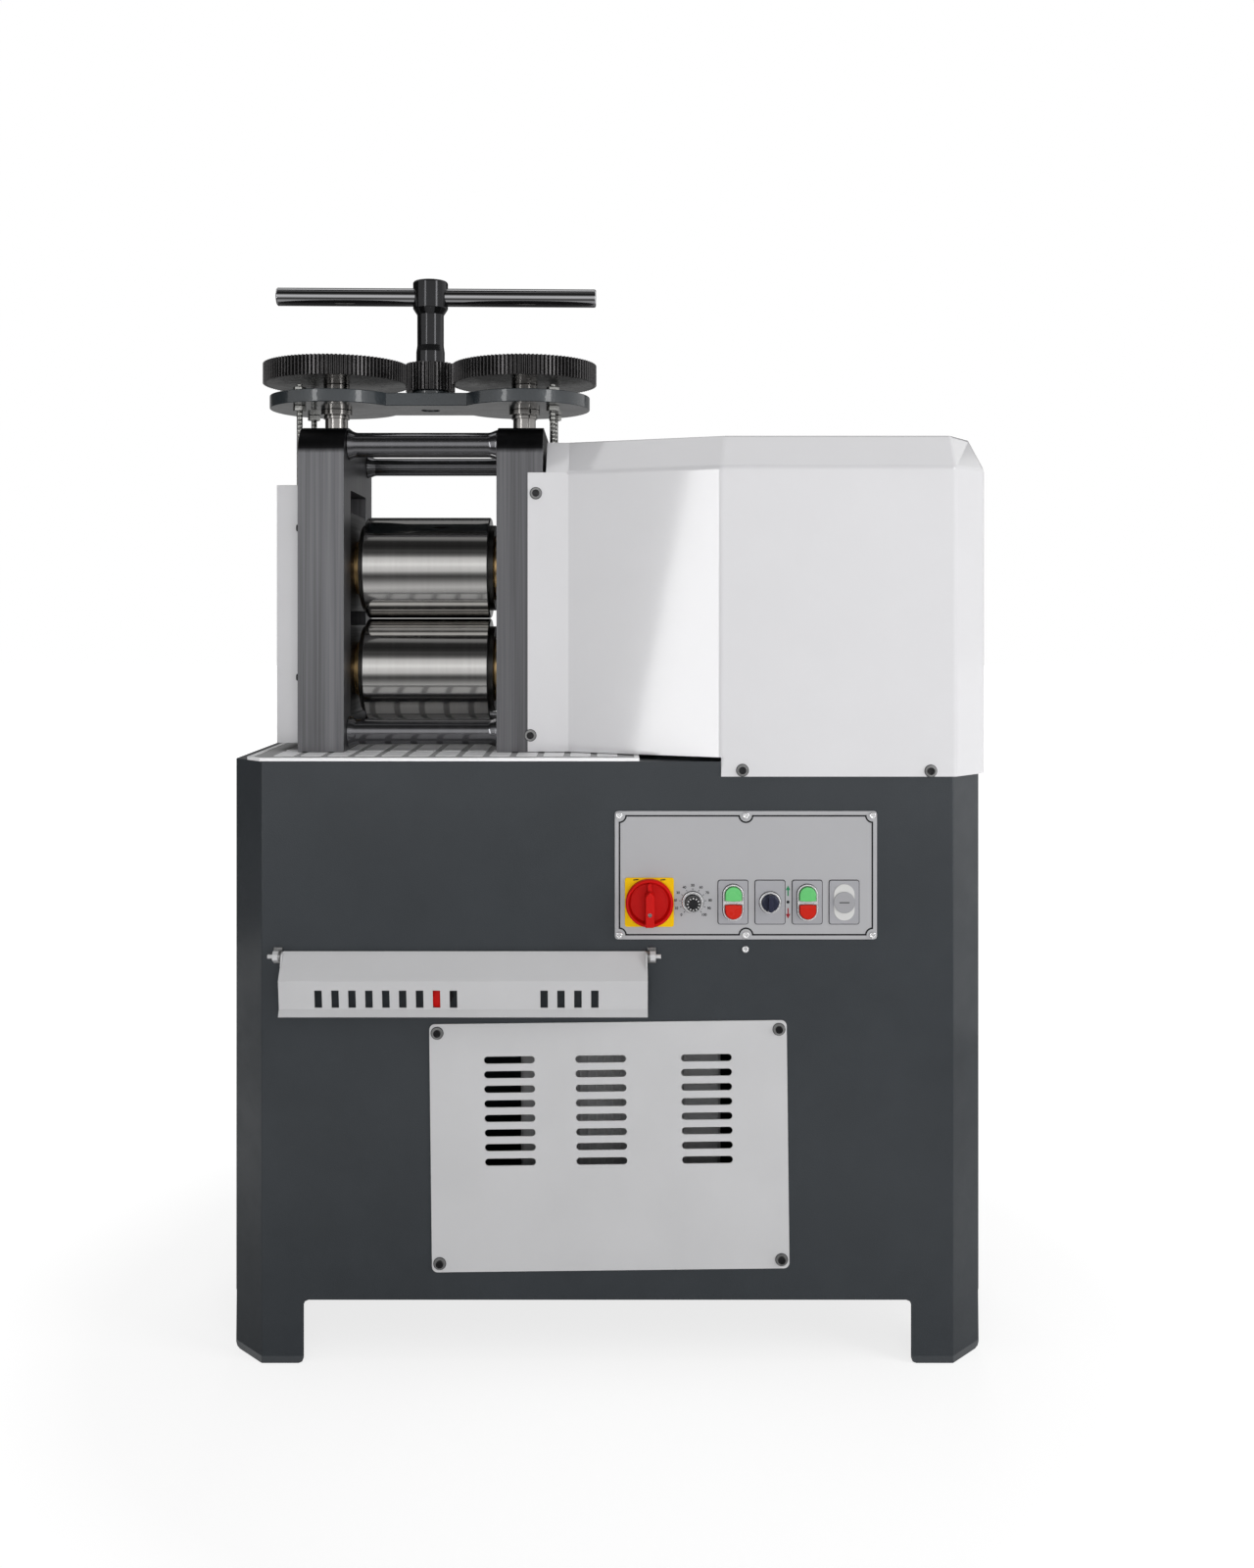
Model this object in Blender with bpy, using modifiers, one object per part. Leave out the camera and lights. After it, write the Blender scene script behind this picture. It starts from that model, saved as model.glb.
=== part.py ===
"""Motor-driven jewellers' rolling mill standing on a sheet-metal cabinet.

Metres, +Z up. In the machine frame X runs from the middle of the cabinet to the
right, Y from the cabinet's front face to the back, and Z from the floor. One
empty carries that frame, so that the world origin lies on the floor under the
middle of the whole mill.
"""
import math

import bmesh
import bpy
from mathutils import Matrix, Vector

# Fits and counts
FIT = 0.0003
CUT_OVERRUN = 0.010
FULL_ROUND_SHARE = 0.499
WELD_DISTANCE = 0.00001
LARGE_ROUND = 28
MEDIUM_ROUND = 20
SMALL_ROUND = 20
BUSH_ROUND = 16
TINY_ROUND = 12
ROD_ROUND = 8
HEX_SIDES = 6
ARC_STEPS = 2
FINE_ARC_STEPS = 4

# Cabinet
CABINET_WIDTH = 1.070
CABINET_DEPTH = 0.430
CABINET_HEIGHT = 0.847
CABINET_CHAMFER = 0.048
CABINET_SHEET = 0.0025
LEG_HEIGHT = 0.089
LEG_STRIP_WIDTH = 0.059
LEG_CORNER_RADIUS = 0.007
TOP_PLATE_THICKNESS = 0.005
SHELF_THICKNESS = 0.003
SHELF_RISE_ABOVE_ARCH = 0.012

# Drip tray on the cabinet
TRAY_THICKNESS = 0.005
TRAY_MARGIN = 0.022
TRAY_RIGHT_X = 0.045
TRAY_CORNER = 0.023

# Vent cover on the cabinet front
VENT_WIDTH = 0.503
VENT_BOTTOM_Z = 0.1315
VENT_BELOW_STOP_BAR = 0.0155
VENT_CENTRE_X = 0.0027
VENT_TILT = math.radians(0.66)
VENT_SHEET = 0.002
VENT_CORNER_RADIUS = 0.008
VENT_OPENING_MARGIN = 0.032
SLOT_LENGTH = 0.0715
SLOT_PITCH_SHARE_OF_VENT = 0.05874
SLOT_OPEN_SHARE = 0.5025
SLOT_ROWS = 8
SLOT_TOP_SHARE_OF_VENT = 0.1476
SLOT_COLUMN_XS = (-0.1366, -0.0080, 0.1406)

# Roll stand
STAND_CENTRE_X = -0.275
GEAR_MODULE = 0.002
SCREW_GEAR_TEETH = 110
PINION_TEETH = 36
HOUSING_WIDTH = 0.068
HOUSING_DEPTH = 0.255
HOUSING_HEIGHT = 0.481
HOUSING_TOP_RADIUS = 0.042
WINDOW_DEPTH = 0.140
WINDOW_CORNER_RADIUS = 0.004
WINDOW_SILL = 0.050
WINDOW_LINTEL = 0.092

# Rolls and their bearings
ROLL_SHARE_OF_WINDOW = 0.46
ROLL_FACE = 0.190
ROLL_REST_GAP = 0.0005
SHOULDER_STEP = 0.012
SHOULDER_LENGTH = 0.007
JOURNAL_RADIUS = 0.030
JOURNAL_CLEARANCE = 0.0006
JOURNAL_END = 0.006
BUSH_WALL = 0.010
BUSH_FLANGE_RADIUS = 0.050
BOTTOM_AXIS_SHARE_OF_ROLL = 0.436
LOWER_BLOCK_SHARE_OF_ROLL = 0.872
UPPER_BLOCK_BELOW_SHARE_OF_ROLL = 0.43
UPPER_BLOCK_ABOVE_SHARE_OF_ROLL = 0.52
LUG_REACH = 0.026

# Gears on the right-hand ends of the rolls
ROLL_GEAR_TEETH = 26
ROLL_GEAR_WIDTH = 0.044
ROLL_GEAR_STANDOFF = 0.004
ROLL_GEAR_BACKLASH = 0.0016
ROLL_GEAR_BORE_RADIUS = 0.023
PRESSURE_ANGLE = math.radians(20)
ADDENDUM_SHARE = 1.0
DEDENDUM_SHARE = 1.25

# Tie bars between the housings
UPPER_FRONT_BAR_RADIUS = 0.0185
UPPER_REAR_BAR_RADIUS = 0.014
LOWER_BAR_RADIUS = 0.019
BAR_FLARE = 0.004
BAR_FLARE_LENGTH = 0.012
BAR_DEPTH_OFFSET = 0.0875
UPPER_FRONT_BAR_DROP = 0.026
UPPER_REAR_BAR_DROP = 0.041
LOWER_BAR_RISE = 0.027

# Screw spindles, gears and bridge plate
SPINDLE_RADIUS = 0.0165
SPINDLE_THREAD_RADIUS = 0.0175
SPINDLE_HUB_RADIUS = 0.020
SPINDLE_COLLAR_RADIUS = 0.024
SPINDLE_COLLAR_HEIGHT = 0.0075
SPINDLE_RING_HEIGHT = 0.006
BRIDGE_ABOVE_HOUSING = 0.038
BRIDGE_THICKNESS = 0.0195
BRIDGE_LOBE_RADIUS = 0.1015
BRIDGE_WEB_HALF_WIDTH = 0.0555
BRIDGE_LOBE_STEPS = 16
GEAR_ABOVE_BRIDGE = 0.0195
SCREW_GEAR_THICKNESS = 0.030
SCREW_GEAR_BACKLASH = 0.0004
BOSS_RADIUS = 0.029
BOSS_HEIGHT = 0.0085
PINION_THICKNESS = 0.043

# Lift rods that hang the upper bearing blocks from the bridge plate
ROD_RADIUS = 0.0048
ROD_OUTSIDE_HOUSING = 0.012
ROD_DEPTH_OFFSET = 0.055
ROD_ENGAGEMENT = 0.029
ROD_ABOVE_NUT = 0.005
NUT_WIDTH = 0.017
NUT_HEIGHT = 0.008

# T-handle
HUB_RADIUS = 0.027
HUB_EDGE = 0.0015
HUB_HEIGHT = 0.042
HUB_CONE_HEIGHT = 0.010
NECK_RADIUS = 0.0205
NECK_FLARE_RADIUS = 0.0220
NECK_HEIGHT = 0.0475
NECK_FLARE_RUN = 0.010
NECK_FOOT_HEIGHT = 0.0185
STEM_RADIUS = 0.014
HANDLE_BAR_RADIUS = 0.014
HANDLE_BAR_LENGTH = 0.494
HANDLE_BAR_SLIP = 0.010
HANDLE_BAR_EDGE = 0.0015
HANDLE_BAR_BELOW_TOP = 0.024
HANDLE_REST_YAW = math.radians(1.5)

# Left guard over the rods
GUARD_SHEET = 0.002
GUARD_REACH = 0.040
GUARD_DEPTH = 0.170
GUARD_FLANGE = 0.025
GUARD_TOP_DROP = 0.0853
GUARD_ABOVE_TRAY = 0.010

# Gear cover on the right of the stand
COVER_SHEET = 0.002
COVER_SIDE_X = 0.543
COVER_CORNER_X = 0.491
COVER_CORNER_DEPTH = 0.049
COVER_BEND_X = 0.160
COVER_SLANT_X = -0.057
COVER_STRIP_X = -0.090
COVER_FLANGE_X = -0.117
COVER_SHOULDER_DROP = 0.0708
COVER_TOP_DROP = 0.0213
COVER_STRIP_RUN = 0.050
COVER_TOP_BEND_SHIFT = 0.010
COVER_TOP_CORNER_SHIFT = 0.004
COVER_TOP_SIDE_INSET = 0.008
COVER_TOP_SIDE_RUN = 0.109
COVER_ABOVE_TRAY = 0.001
COVER_OVERLAP = 0.021
ROD_SLOT_MARGIN = 0.010

# Drive under the gear cover
COUPLING_RADIUS = 0.045
COUPLING_LENGTH = 0.055
COUPLING_BORE_DEPTH = 0.030
COUPLING_STUB_RADIUS = 0.020
COUPLING_STUB_LENGTH = 0.015
COUPLING_NECK = 0.020
SHAFT_END_RADIUS = 0.020
SHAFT_END_LENGTH = 0.034
GEARBOX_LENGTH = 0.170
GEARBOX_DEPTH = 0.190
GEARBOX_ABOVE_AXIS = 0.120
GEARBOX_RADIUS = 0.030
GEARBOX_FOOT_DEPTH = 0.270
GEARBOX_FOOT_HEIGHT = 0.018
GEARBOX_BOSS_RADIUS = 0.055
GEARBOX_BOSS_LENGTH = 0.012
MOTOR_RADIUS = 0.078
MOTOR_LENGTH = 0.170
MOTOR_FIN_HEIGHT = 0.010
MOTOR_FINS = 12
MOTOR_FIN_SHARE = 0.4
MOTOR_COWL_RADIUS = 0.092
MOTOR_COWL_LENGTH = 0.050
TERMINAL_BOX_LENGTH = 0.090
TERMINAL_BOX_DEPTH = 0.080
TERMINAL_BOX_RISE = 0.045

# Electrical drive inside the cabinet
INVERTER_WIDTH = 0.300
INVERTER_DEPTH = 0.160
INVERTER_HEIGHT = 0.330
INVERTER_EDGE = 0.004
INVERTER_X = 0.020

# Control panel
PANEL_LEFT_X = 0.0104
PANEL_WIDTH = 0.369
PANEL_HEIGHT = 0.1805
PANEL_BOTTOM_DROP = 0.250
PANEL_SHEET = 0.002
PANEL_CORNER_RADIUS = 0.004
PANEL_OPENING_MARGIN = 0.018
PANEL_OPENING_HEIGHT = 0.078
PANEL_OPENING_RISE = 0.014
CONTROL_ROW_RISE = 0.0526
MAIN_SWITCH_X = 0.059
MAIN_SWITCH_PLATE = 0.069
MAIN_SWITCH_PLATE_THICKNESS = 0.002
MAIN_SWITCH_RADIUS = 0.0335
MAIN_SWITCH_RIM = 0.012
MAIN_SWITCH_DISH_RADIUS = 0.0275
MAIN_SWITCH_DISH_DEPTH = 0.006
MAIN_SWITCH_GRIP_LENGTH = 0.058
MAIN_SWITCH_GRIP_WIDTH = 0.014
MAIN_SWITCH_GRIP_RISE = 0.020
MAIN_SWITCH_GRIP_EDGE = 0.003
MAIN_SWITCH_SHAFT_RADIUS = 0.004
MAIN_SWITCH_SHAFT_LENGTH = 0.012
MAIN_SWITCH_BODY = 0.056
MAIN_SWITCH_BODY_DEPTH = 0.050
DIAL_X = 0.120
DIAL_RING_RADIUS = 0.015
DIAL_RING_HEIGHT = 0.003
DIAL_KNOB_RADIUS = 0.0115
DIAL_KNOB_HEIGHT = 0.015
DIAL_FLUTES = 18
DIAL_FLUTE_DEPTH = 0.0007
DIAL_SHAFT_RADIUS = 0.003
DIAL_BODY_RADIUS = 0.012
DIAL_BODY_DEPTH = 0.018
DIAL_BUSH_RADIUS = 0.005
UNIT_XS = (0.1767, 0.2287, 0.2810, 0.3329)
LEGEND_WIDTH = 0.0415
LEGEND_HEIGHT = 0.061
LEGEND_THICKNESS = 0.0015
LEGEND_CORNER_RADIUS = 0.003
UNIT_NECK_RADIUS = 0.011
UNIT_BODY_WIDTH = 0.030
UNIT_BODY_HEIGHT = 0.044
UNIT_BODY_DEPTH = 0.038
BEZEL_WIDTH = 0.029
BEZEL_HEIGHT = 0.051
BEZEL_RISE = 0.005
BEZEL_LIP = 0.0022
BEZEL_POCKET_DEPTH = 0.0055
BUTTON_THICKNESS = 0.0055
BUTTON_STROKE = 0.003
BUTTON_SPLIT = 0.0012
SELECTOR_RADIUS = 0.015
SELECTOR_KNOB_BASE = 0.006
SELECTOR_GRIP_WIDTH = 0.007
SELECTOR_GRIP_RISE = 0.009
SELECTOR_GRIP_EDGE = 0.0015
PLUG_RISE = 0.003
PLUG_OVAL_RISE = 0.0012

# Emergency stop bar below the control panel
BAR_LEFT_X = -0.457
BAR_RIGHT_X = 0.056
BAR_SHEET = 0.002
BAR_TOP_REACH = 0.005
BAR_TOP_DROP = 0.266
BAR_BROW_REACH = 0.032
BAR_BROW_DROP = 0.0355
BAR_WAIST_REACH = 0.0256
BAR_WAIST_DROP = 0.076
BAR_LIP_REACH = 0.032
BAR_LIP_DROP = 0.085
BAR_HINGE_REACH = 0.011
BAR_HINGE_DROP = 0.006
EAR_HEIGHT = 0.026
EAR_RADIUS = 0.006
SLIT_HEIGHT = 0.025
SLIT_WIDTH = 0.0105
SLIT_DROP = 0.0615
SLIT_PITCH = 0.0235
SLIT_FIRST_X = -0.402
SLIT_COUNT = 9
SECOND_SLIT_FIRST_X = -0.088
SECOND_SLIT_COUNT = 4
HINGE_STUD_RADIUS = 0.003
HINGE_STUD_REACH = 0.019
HINGE_NUT_WIDTH = 0.013
HINGE_NUT_HEIGHT = 0.008
BRACKET_SHEET = 0.003
BRACKET_RADIUS = 0.0075
BRACKET_FOOT_WIDTH = 0.012
BRACKET_FOOT_HEIGHT = 0.022
STOP_SWITCH_X = -0.235
STOP_SWITCH_DROP = 0.062
STOP_SWITCH_COLLAR_RADIUS = 0.018
STOP_SWITCH_COLLAR_REACH = 0.010
STOP_SWITCH_BODY = 0.036
STOP_SWITCH_BODY_DEPTH = 0.040
STOP_SWITCH_NECK_RADIUS = 0.011
STOP_PLUNGER_RADIUS = 0.014
STOP_PLUNGER_STEM_RADIUS = 0.006
STOP_PLUNGER_CAP = 0.007
STOP_PLUNGER_EDGE = 0.0006
STOP_PLUNGER_GAP = 0.0006
STOP_PLUNGER_STEM_LENGTH = 0.012

# Places worked out from the sizes above
SPINDLE_OFFSET = GEAR_MODULE * (SCREW_GEAR_TEETH + PINION_TEETH) / 2
STAND_Y = CABINET_DEPTH / 2
PANEL_BOTTOM_Z = CABINET_HEIGHT - PANEL_BOTTOM_DROP
CONTROL_ROW_Z = PANEL_BOTTOM_Z + CONTROL_ROW_RISE
BAR_TOP_Z = CABINET_HEIGHT - BAR_TOP_DROP
BAR_BROW_Z = BAR_TOP_Z - BAR_BROW_DROP
BAR_WAIST_Z = BAR_TOP_Z - BAR_WAIST_DROP
BAR_LIP_Z = BAR_TOP_Z - BAR_LIP_DROP
BAR_HINGE_Z = BAR_TOP_Z - BAR_HINGE_DROP
SLIT_Z = BAR_TOP_Z - SLIT_DROP
STOP_SWITCH_Z = BAR_TOP_Z - STOP_SWITCH_DROP
VENT_TOP_Z = BAR_LIP_Z - VENT_BELOW_STOP_BAR
VENT_HEIGHT = VENT_TOP_Z - VENT_BOTTOM_Z
VENT_CENTRE_Z = (VENT_TOP_Z + VENT_BOTTOM_Z) / 2
SLOT_PITCH = SLOT_PITCH_SHARE_OF_VENT * VENT_HEIGHT
SLOT_WIDTH = SLOT_OPEN_SHARE * SLOT_PITCH
SLOT_TOP_Z = VENT_TOP_Z - SLOT_TOP_SHARE_OF_VENT * VENT_HEIGHT
TRAY_TOP_Z = CABINET_HEIGHT + TRAY_THICKNESS
HOUSING_BOTTOM_Z = TRAY_TOP_Z + FIT
HOUSING_TOP_Z = HOUSING_BOTTOM_Z + HOUSING_HEIGHT
LEFT_HOUSING_X = STAND_CENTRE_X - SPINDLE_OFFSET
RIGHT_HOUSING_X = STAND_CENTRE_X + SPINDLE_OFFSET
HOUSING_FRONT_Y = STAND_Y - HOUSING_DEPTH / 2
SILL_Z = HOUSING_BOTTOM_Z + WINDOW_SILL
LINTEL_Z = HOUSING_TOP_Z - WINDOW_LINTEL
ROLL_DIAMETER = ROLL_SHARE_OF_WINDOW * (LINTEL_Z - SILL_Z)
SHOULDER_RADIUS = ROLL_DIAMETER / 2 - SHOULDER_STEP
LOWER_BLOCK_HEIGHT = LOWER_BLOCK_SHARE_OF_ROLL * ROLL_DIAMETER
UPPER_BLOCK_BELOW_AXIS = UPPER_BLOCK_BELOW_SHARE_OF_ROLL * ROLL_DIAMETER
UPPER_BLOCK_ABOVE_AXIS = UPPER_BLOCK_ABOVE_SHARE_OF_ROLL * ROLL_DIAMETER
BOTTOM_AXIS_Z = SILL_Z + BOTTOM_AXIS_SHARE_OF_ROLL * ROLL_DIAMETER
TOP_AXIS_Z = BOTTOM_AXIS_Z + ROLL_DIAMETER + ROLL_REST_GAP
BUSH_RADIUS = JOURNAL_RADIUS + JOURNAL_CLEARANCE + BUSH_WALL
UPPER_BLOCK_TOP_Z = TOP_AXIS_Z + UPPER_BLOCK_ABOVE_AXIS
INNER_FACE_OFFSET = SPINDLE_OFFSET - HOUSING_WIDTH / 2
OUTER_FACE_OFFSET = SPINDLE_OFFSET + HOUSING_WIDTH / 2
BRIDGE_BOTTOM_Z = HOUSING_TOP_Z + BRIDGE_ABOVE_HOUSING
BRIDGE_TOP_Z = BRIDGE_BOTTOM_Z + BRIDGE_THICKNESS
GEAR_BOTTOM_Z = BRIDGE_TOP_Z + GEAR_ABOVE_BRIDGE
PINION_BOTTOM_Z = BRIDGE_TOP_Z + BOSS_HEIGHT + FIT
PINION_TOP_Z = PINION_BOTTOM_Z + PINION_THICKNESS
NECK_BOTTOM_Z = PINION_TOP_Z + FIT
HANDLE_TOP_Z = (NECK_BOTTOM_Z + NECK_FOOT_HEIGHT + NECK_FLARE_RUN + NECK_HEIGHT
                + HUB_CONE_HEIGHT + HUB_HEIGHT)
HANDLE_BAR_Z = HANDLE_TOP_Z - HANDLE_BAR_BELOW_TOP
ROD_OFFSET = OUTER_FACE_OFFSET + ROD_OUTSIDE_HOUSING
ROD_TOP_Z = BRIDGE_TOP_Z + FIT + NUT_HEIGHT + ROD_ABOVE_NUT
ROD_BOTTOM_Z = UPPER_BLOCK_TOP_Z - ROD_ENGAGEMENT
ROLL_GEAR_MODULE = ROLL_DIAMETER / ROLL_GEAR_TEETH
ROLL_GEAR_LEFT_X = STAND_CENTRE_X + OUTER_FACE_OFFSET + LUG_REACH + ROLL_GEAR_STANDOFF
ROLL_GEAR_RIGHT_X = ROLL_GEAR_LEFT_X + ROLL_GEAR_WIDTH
COUPLING_LEFT_X = ROLL_GEAR_RIGHT_X + ROLL_GEAR_STANDOFF
COUPLING_RIGHT_X = COUPLING_LEFT_X + COUPLING_LENGTH
GEARBOX_FACE_X = COUPLING_RIGHT_X + COUPLING_NECK
MOTOR_LEFT_X = GEARBOX_FACE_X + GEARBOX_BOSS_LENGTH + GEARBOX_LENGTH
COVER_FRONT_Y = -FIT - COVER_SHEET
COVER_FLANGE_Y = HOUSING_FRONT_Y - FIT - COVER_SHEET
COVER_BOTTOM_Z = TRAY_TOP_Z + COVER_ABOVE_TRAY
GUARD_TOP_Z = HOUSING_TOP_Z - GUARD_TOP_DROP
COVER_SHOULDER_Z = HOUSING_TOP_Z - COVER_SHOULDER_DROP
COVER_TOP_Z = HOUSING_TOP_Z - COVER_TOP_DROP
COVER_SKIRT_Z = CABINET_HEIGHT - COVER_OVERLAP
SHELF_TOP_Z = LEG_HEIGHT + SHELF_RISE_ABOVE_ARCH
PANEL_BACK_Y = -FIT
PANEL_FRONT_Y = PANEL_BACK_Y - PANEL_SHEET
UNIT_BACK_Y = PANEL_FRONT_Y - FIT
LEGEND_FRONT_Y = UNIT_BACK_Y - LEGEND_THICKNESS
BEZEL_FRONT_Y = LEGEND_FRONT_Y - BEZEL_RISE
POCKET_FLOOR_Y = BEZEL_FRONT_Y + BEZEL_POCKET_DEPTH
SWITCH_PLATE_FRONT_Y = UNIT_BACK_Y - MAIN_SWITCH_PLATE_THICKNESS
SWITCH_HANDLE_BACK_Y = SWITCH_PLATE_FRONT_Y - FIT
SWITCH_RIM_FRONT_Y = SWITCH_HANDLE_BACK_Y - MAIN_SWITCH_RIM
SWITCH_GRIP_FRONT_Y = SWITCH_RIM_FRONT_Y - MAIN_SWITCH_GRIP_RISE
FRAME_CENTRE_X = (COVER_SIDE_X - CABINET_WIDTH / 2) / 2
FRAME_CENTRE_Y = (CABINET_DEPTH - COVER_FRONT_Y + SWITCH_GRIP_FRONT_Y) / 2

# Colour, metallic and roughness of each finish
FINISHES = {
    "cabinet_paint": ((0.045, 0.051, 0.058), 0.0, 0.45),
    "white_paint": ((0.80, 0.80, 0.81), 0.0, 0.25),
    "blackened_steel": ((0.050, 0.052, 0.055), 0.7, 0.45),
    "black_steel": ((0.020, 0.021, 0.022), 0.8, 0.30),
    "ground_steel": ((0.55, 0.56, 0.57), 1.0, 0.22),
    "bronze": ((0.48, 0.30, 0.13), 1.0, 0.35),
    "zinc": ((0.62, 0.62, 0.60), 1.0, 0.35),
    "grey_paint": ((0.052, 0.060, 0.066), 0.1, 0.35),
    "motor_paint": ((0.16, 0.18, 0.20), 0.0, 0.50),
    "panel_film": ((0.82, 0.82, 0.82), 0.0, 0.35),
    "yellow_plastic": ((0.85, 0.62, 0.02), 0.0, 0.40),
    "red_plastic": ((0.65, 0.02, 0.015), 0.0, 0.35),
    "green_lens": ((0.02, 0.45, 0.12), 0.0, 0.25),
    "black_plastic": ((0.015, 0.015, 0.017), 0.0, 0.40),
    "chrome": ((0.75, 0.75, 0.76), 1.0, 0.12),
}

# Rotations that turn a flat outline, drawn in local X and Y, to face an axis
FACING = {
    "X": Matrix(((0, 0, 1), (1, 0, 0), (0, 1, 0))).to_4x4(),
    "Y": Matrix(((1, 0, 0), (0, 0, -1), (0, 1, 0))).to_4x4(),
    "Z": Matrix.Identity(4),
}


def clear_scene():
    """Remove every object, so that the script starts from an empty scene."""
    for item in list(bpy.data.objects):
        bpy.data.objects.remove(item, do_unlink=True)


def make_collection(name):
    """Return a new collection linked to the scene."""
    group = bpy.data.collections.new(name)
    bpy.context.scene.collection.children.link(group)
    return group


def make_material(piece_name, finish_name):
    """Return a Principled material for one piece in one of the finishes."""
    colour, metallic, roughness = FINISHES[finish_name]
    material = bpy.data.materials.new(piece_name + "_" + finish_name)
    material.use_nodes = True
    shader = material.node_tree.nodes["Principled BSDF"]
    shader.inputs["Base Color"].default_value = (*colour, 1.0)
    shader.inputs["Metallic"].default_value = metallic
    shader.inputs["Roughness"].default_value = roughness
    material.diffuse_color = (*colour, 1.0)
    return material


class Workshop:
    """The collections and the frame that every piece of the mill goes into."""

    def __init__(self):
        self.pieces = make_collection("rolling_mill")
        self.cutters = make_collection("cutters")
        self.frame = bpy.data.objects.new("machine_frame", None)
        self.frame.location = (-FRAME_CENTRE_X, -FRAME_CENTRE_Y, 0)
        self.pieces.objects.link(self.frame)

    def machine_place(self, item):
        """Return where an object or empty lies in the machine frame."""
        place = Vector((0, 0, 0))
        while item is not None and item != self.frame:
            place += item.location
            item = item.parent
        return place

    def pivot(self, name, place, parent=None):
        """Return an empty on a joint's axis, which carries the moving pieces."""
        parent = parent or self.frame
        empty = bpy.data.objects.new(name, None)
        empty.location = Vector(place) - self.machine_place(parent)
        empty.parent = parent
        self.pieces.objects.link(empty)
        return empty

    def add(self, item, finish_name, parent=None):
        """Put a finished piece into the mill, on the frame or on a pivot."""
        parent = parent or self.frame
        item.location = item.location - self.machine_place(parent)
        item.parent = parent
        self.pieces.objects.link(item)
        item.data.materials.clear()
        item.data.materials.append(make_material(item.name, finish_name))
        return item

    def helper(self, item):
        """Put an object aside that only cuts or joins another one."""
        item.parent = self.frame
        item.hide_render = True
        item.display_type = "WIRE"
        self.cutters.objects.link(item)
        return item

    def combine(self, item, other, operation):
        """Add a Boolean modifier to a piece and put its operand aside."""
        self.helper(other)
        modifier = item.modifiers.new(operation.lower(), "BOOLEAN")
        modifier.operation = operation
        modifier.object = other
        return item

    def cut(self, item, *others):
        """Cut every other object out of the piece."""
        for other in others:
            self.combine(item, other, "DIFFERENCE")
        return item

    def join(self, item, *others):
        """Join every other object to the piece."""
        for other in others:
            self.combine(item, other, "UNION")
        return item


def object_from_bmesh(name, shape, place=(0, 0, 0)):
    """Turn a bmesh into an object that no collection holds yet."""
    mesh = bpy.data.meshes.new(name)
    shape.to_mesh(mesh)
    shape.free()
    item = bpy.data.objects.new(name, mesh)
    item.location = place
    return item


def shade_round(item, angle=math.radians(35)):
    """Shade an object smooth, with edges sharper than the angle kept crisp."""
    item.data.shade_smooth()
    item.data.set_sharp_from_angle(angle=angle)
    return item


def soften(item, width, segments=2, angle=math.radians(40)):
    """Round the edges that are sharper than the angle."""
    modifier = item.modifiers.new("edge_round", "BEVEL")
    modifier.width = width
    modifier.segments = segments
    modifier.limit_method = "ANGLE"
    modifier.angle_limit = angle
    return item


def block(name, size, centre):
    """Return a box of a size about its centre."""
    shape = bmesh.new()
    bmesh.ops.create_cube(shape, size=1.0)
    bmesh.ops.scale(shape, vec=size, verts=shape.verts)
    return object_from_bmesh(name, shape, centre)


def box_between(name, low, high):
    """Return a box between two corners."""
    size = [b - a for a, b in zip(low, high)]
    centre = [(a + b) / 2 for a, b in zip(low, high)]
    return block(name, size, centre)


def cylinder(name, radius, length, centre, axis="Z", sides=MEDIUM_ROUND, turn=0.0):
    """Return a cylinder or prism about its centre, along one axis."""
    shape = bmesh.new()
    bmesh.ops.create_cone(shape, cap_ends=True, segments=sides, radius1=radius,
                          radius2=radius, depth=length,
                          matrix=FACING[axis] @ Matrix.Rotation(turn, 4, "Z"))
    return shade_round(object_from_bmesh(name, shape, centre))


def hex_prism(name, width, height, centre, axis="Z"):
    """Return a hexagonal nut body from its width across flats."""
    return cylinder(name, width / (2 * math.cos(math.pi / HEX_SIDES)), height, centre,
                    axis, HEX_SIDES)


def turned(name, profile, place, axis="Z", sides=MEDIUM_ROUND, closed=False):
    """Revolve (radius, height) points, listed down the outer side."""
    mesh = bpy.data.meshes.new(name)
    links = [(i, i + 1) for i in range(len(profile) - 1)]
    if closed:
        links.append((len(profile) - 1, 0))
    mesh.from_pydata([(r, 0, h) for r, h in profile], links, [])
    item = bpy.data.objects.new(name, mesh)
    item.location = place
    item.rotation_euler = FACING[axis].to_euler()
    modifier = item.modifiers.new("revolve", "SCREW")
    modifier.steps = modifier.render_steps = sides
    modifier.use_merge_vertices = True
    modifier.merge_threshold = WELD_DISTANCE
    modifier.use_smooth_shade = False
    return item


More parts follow.
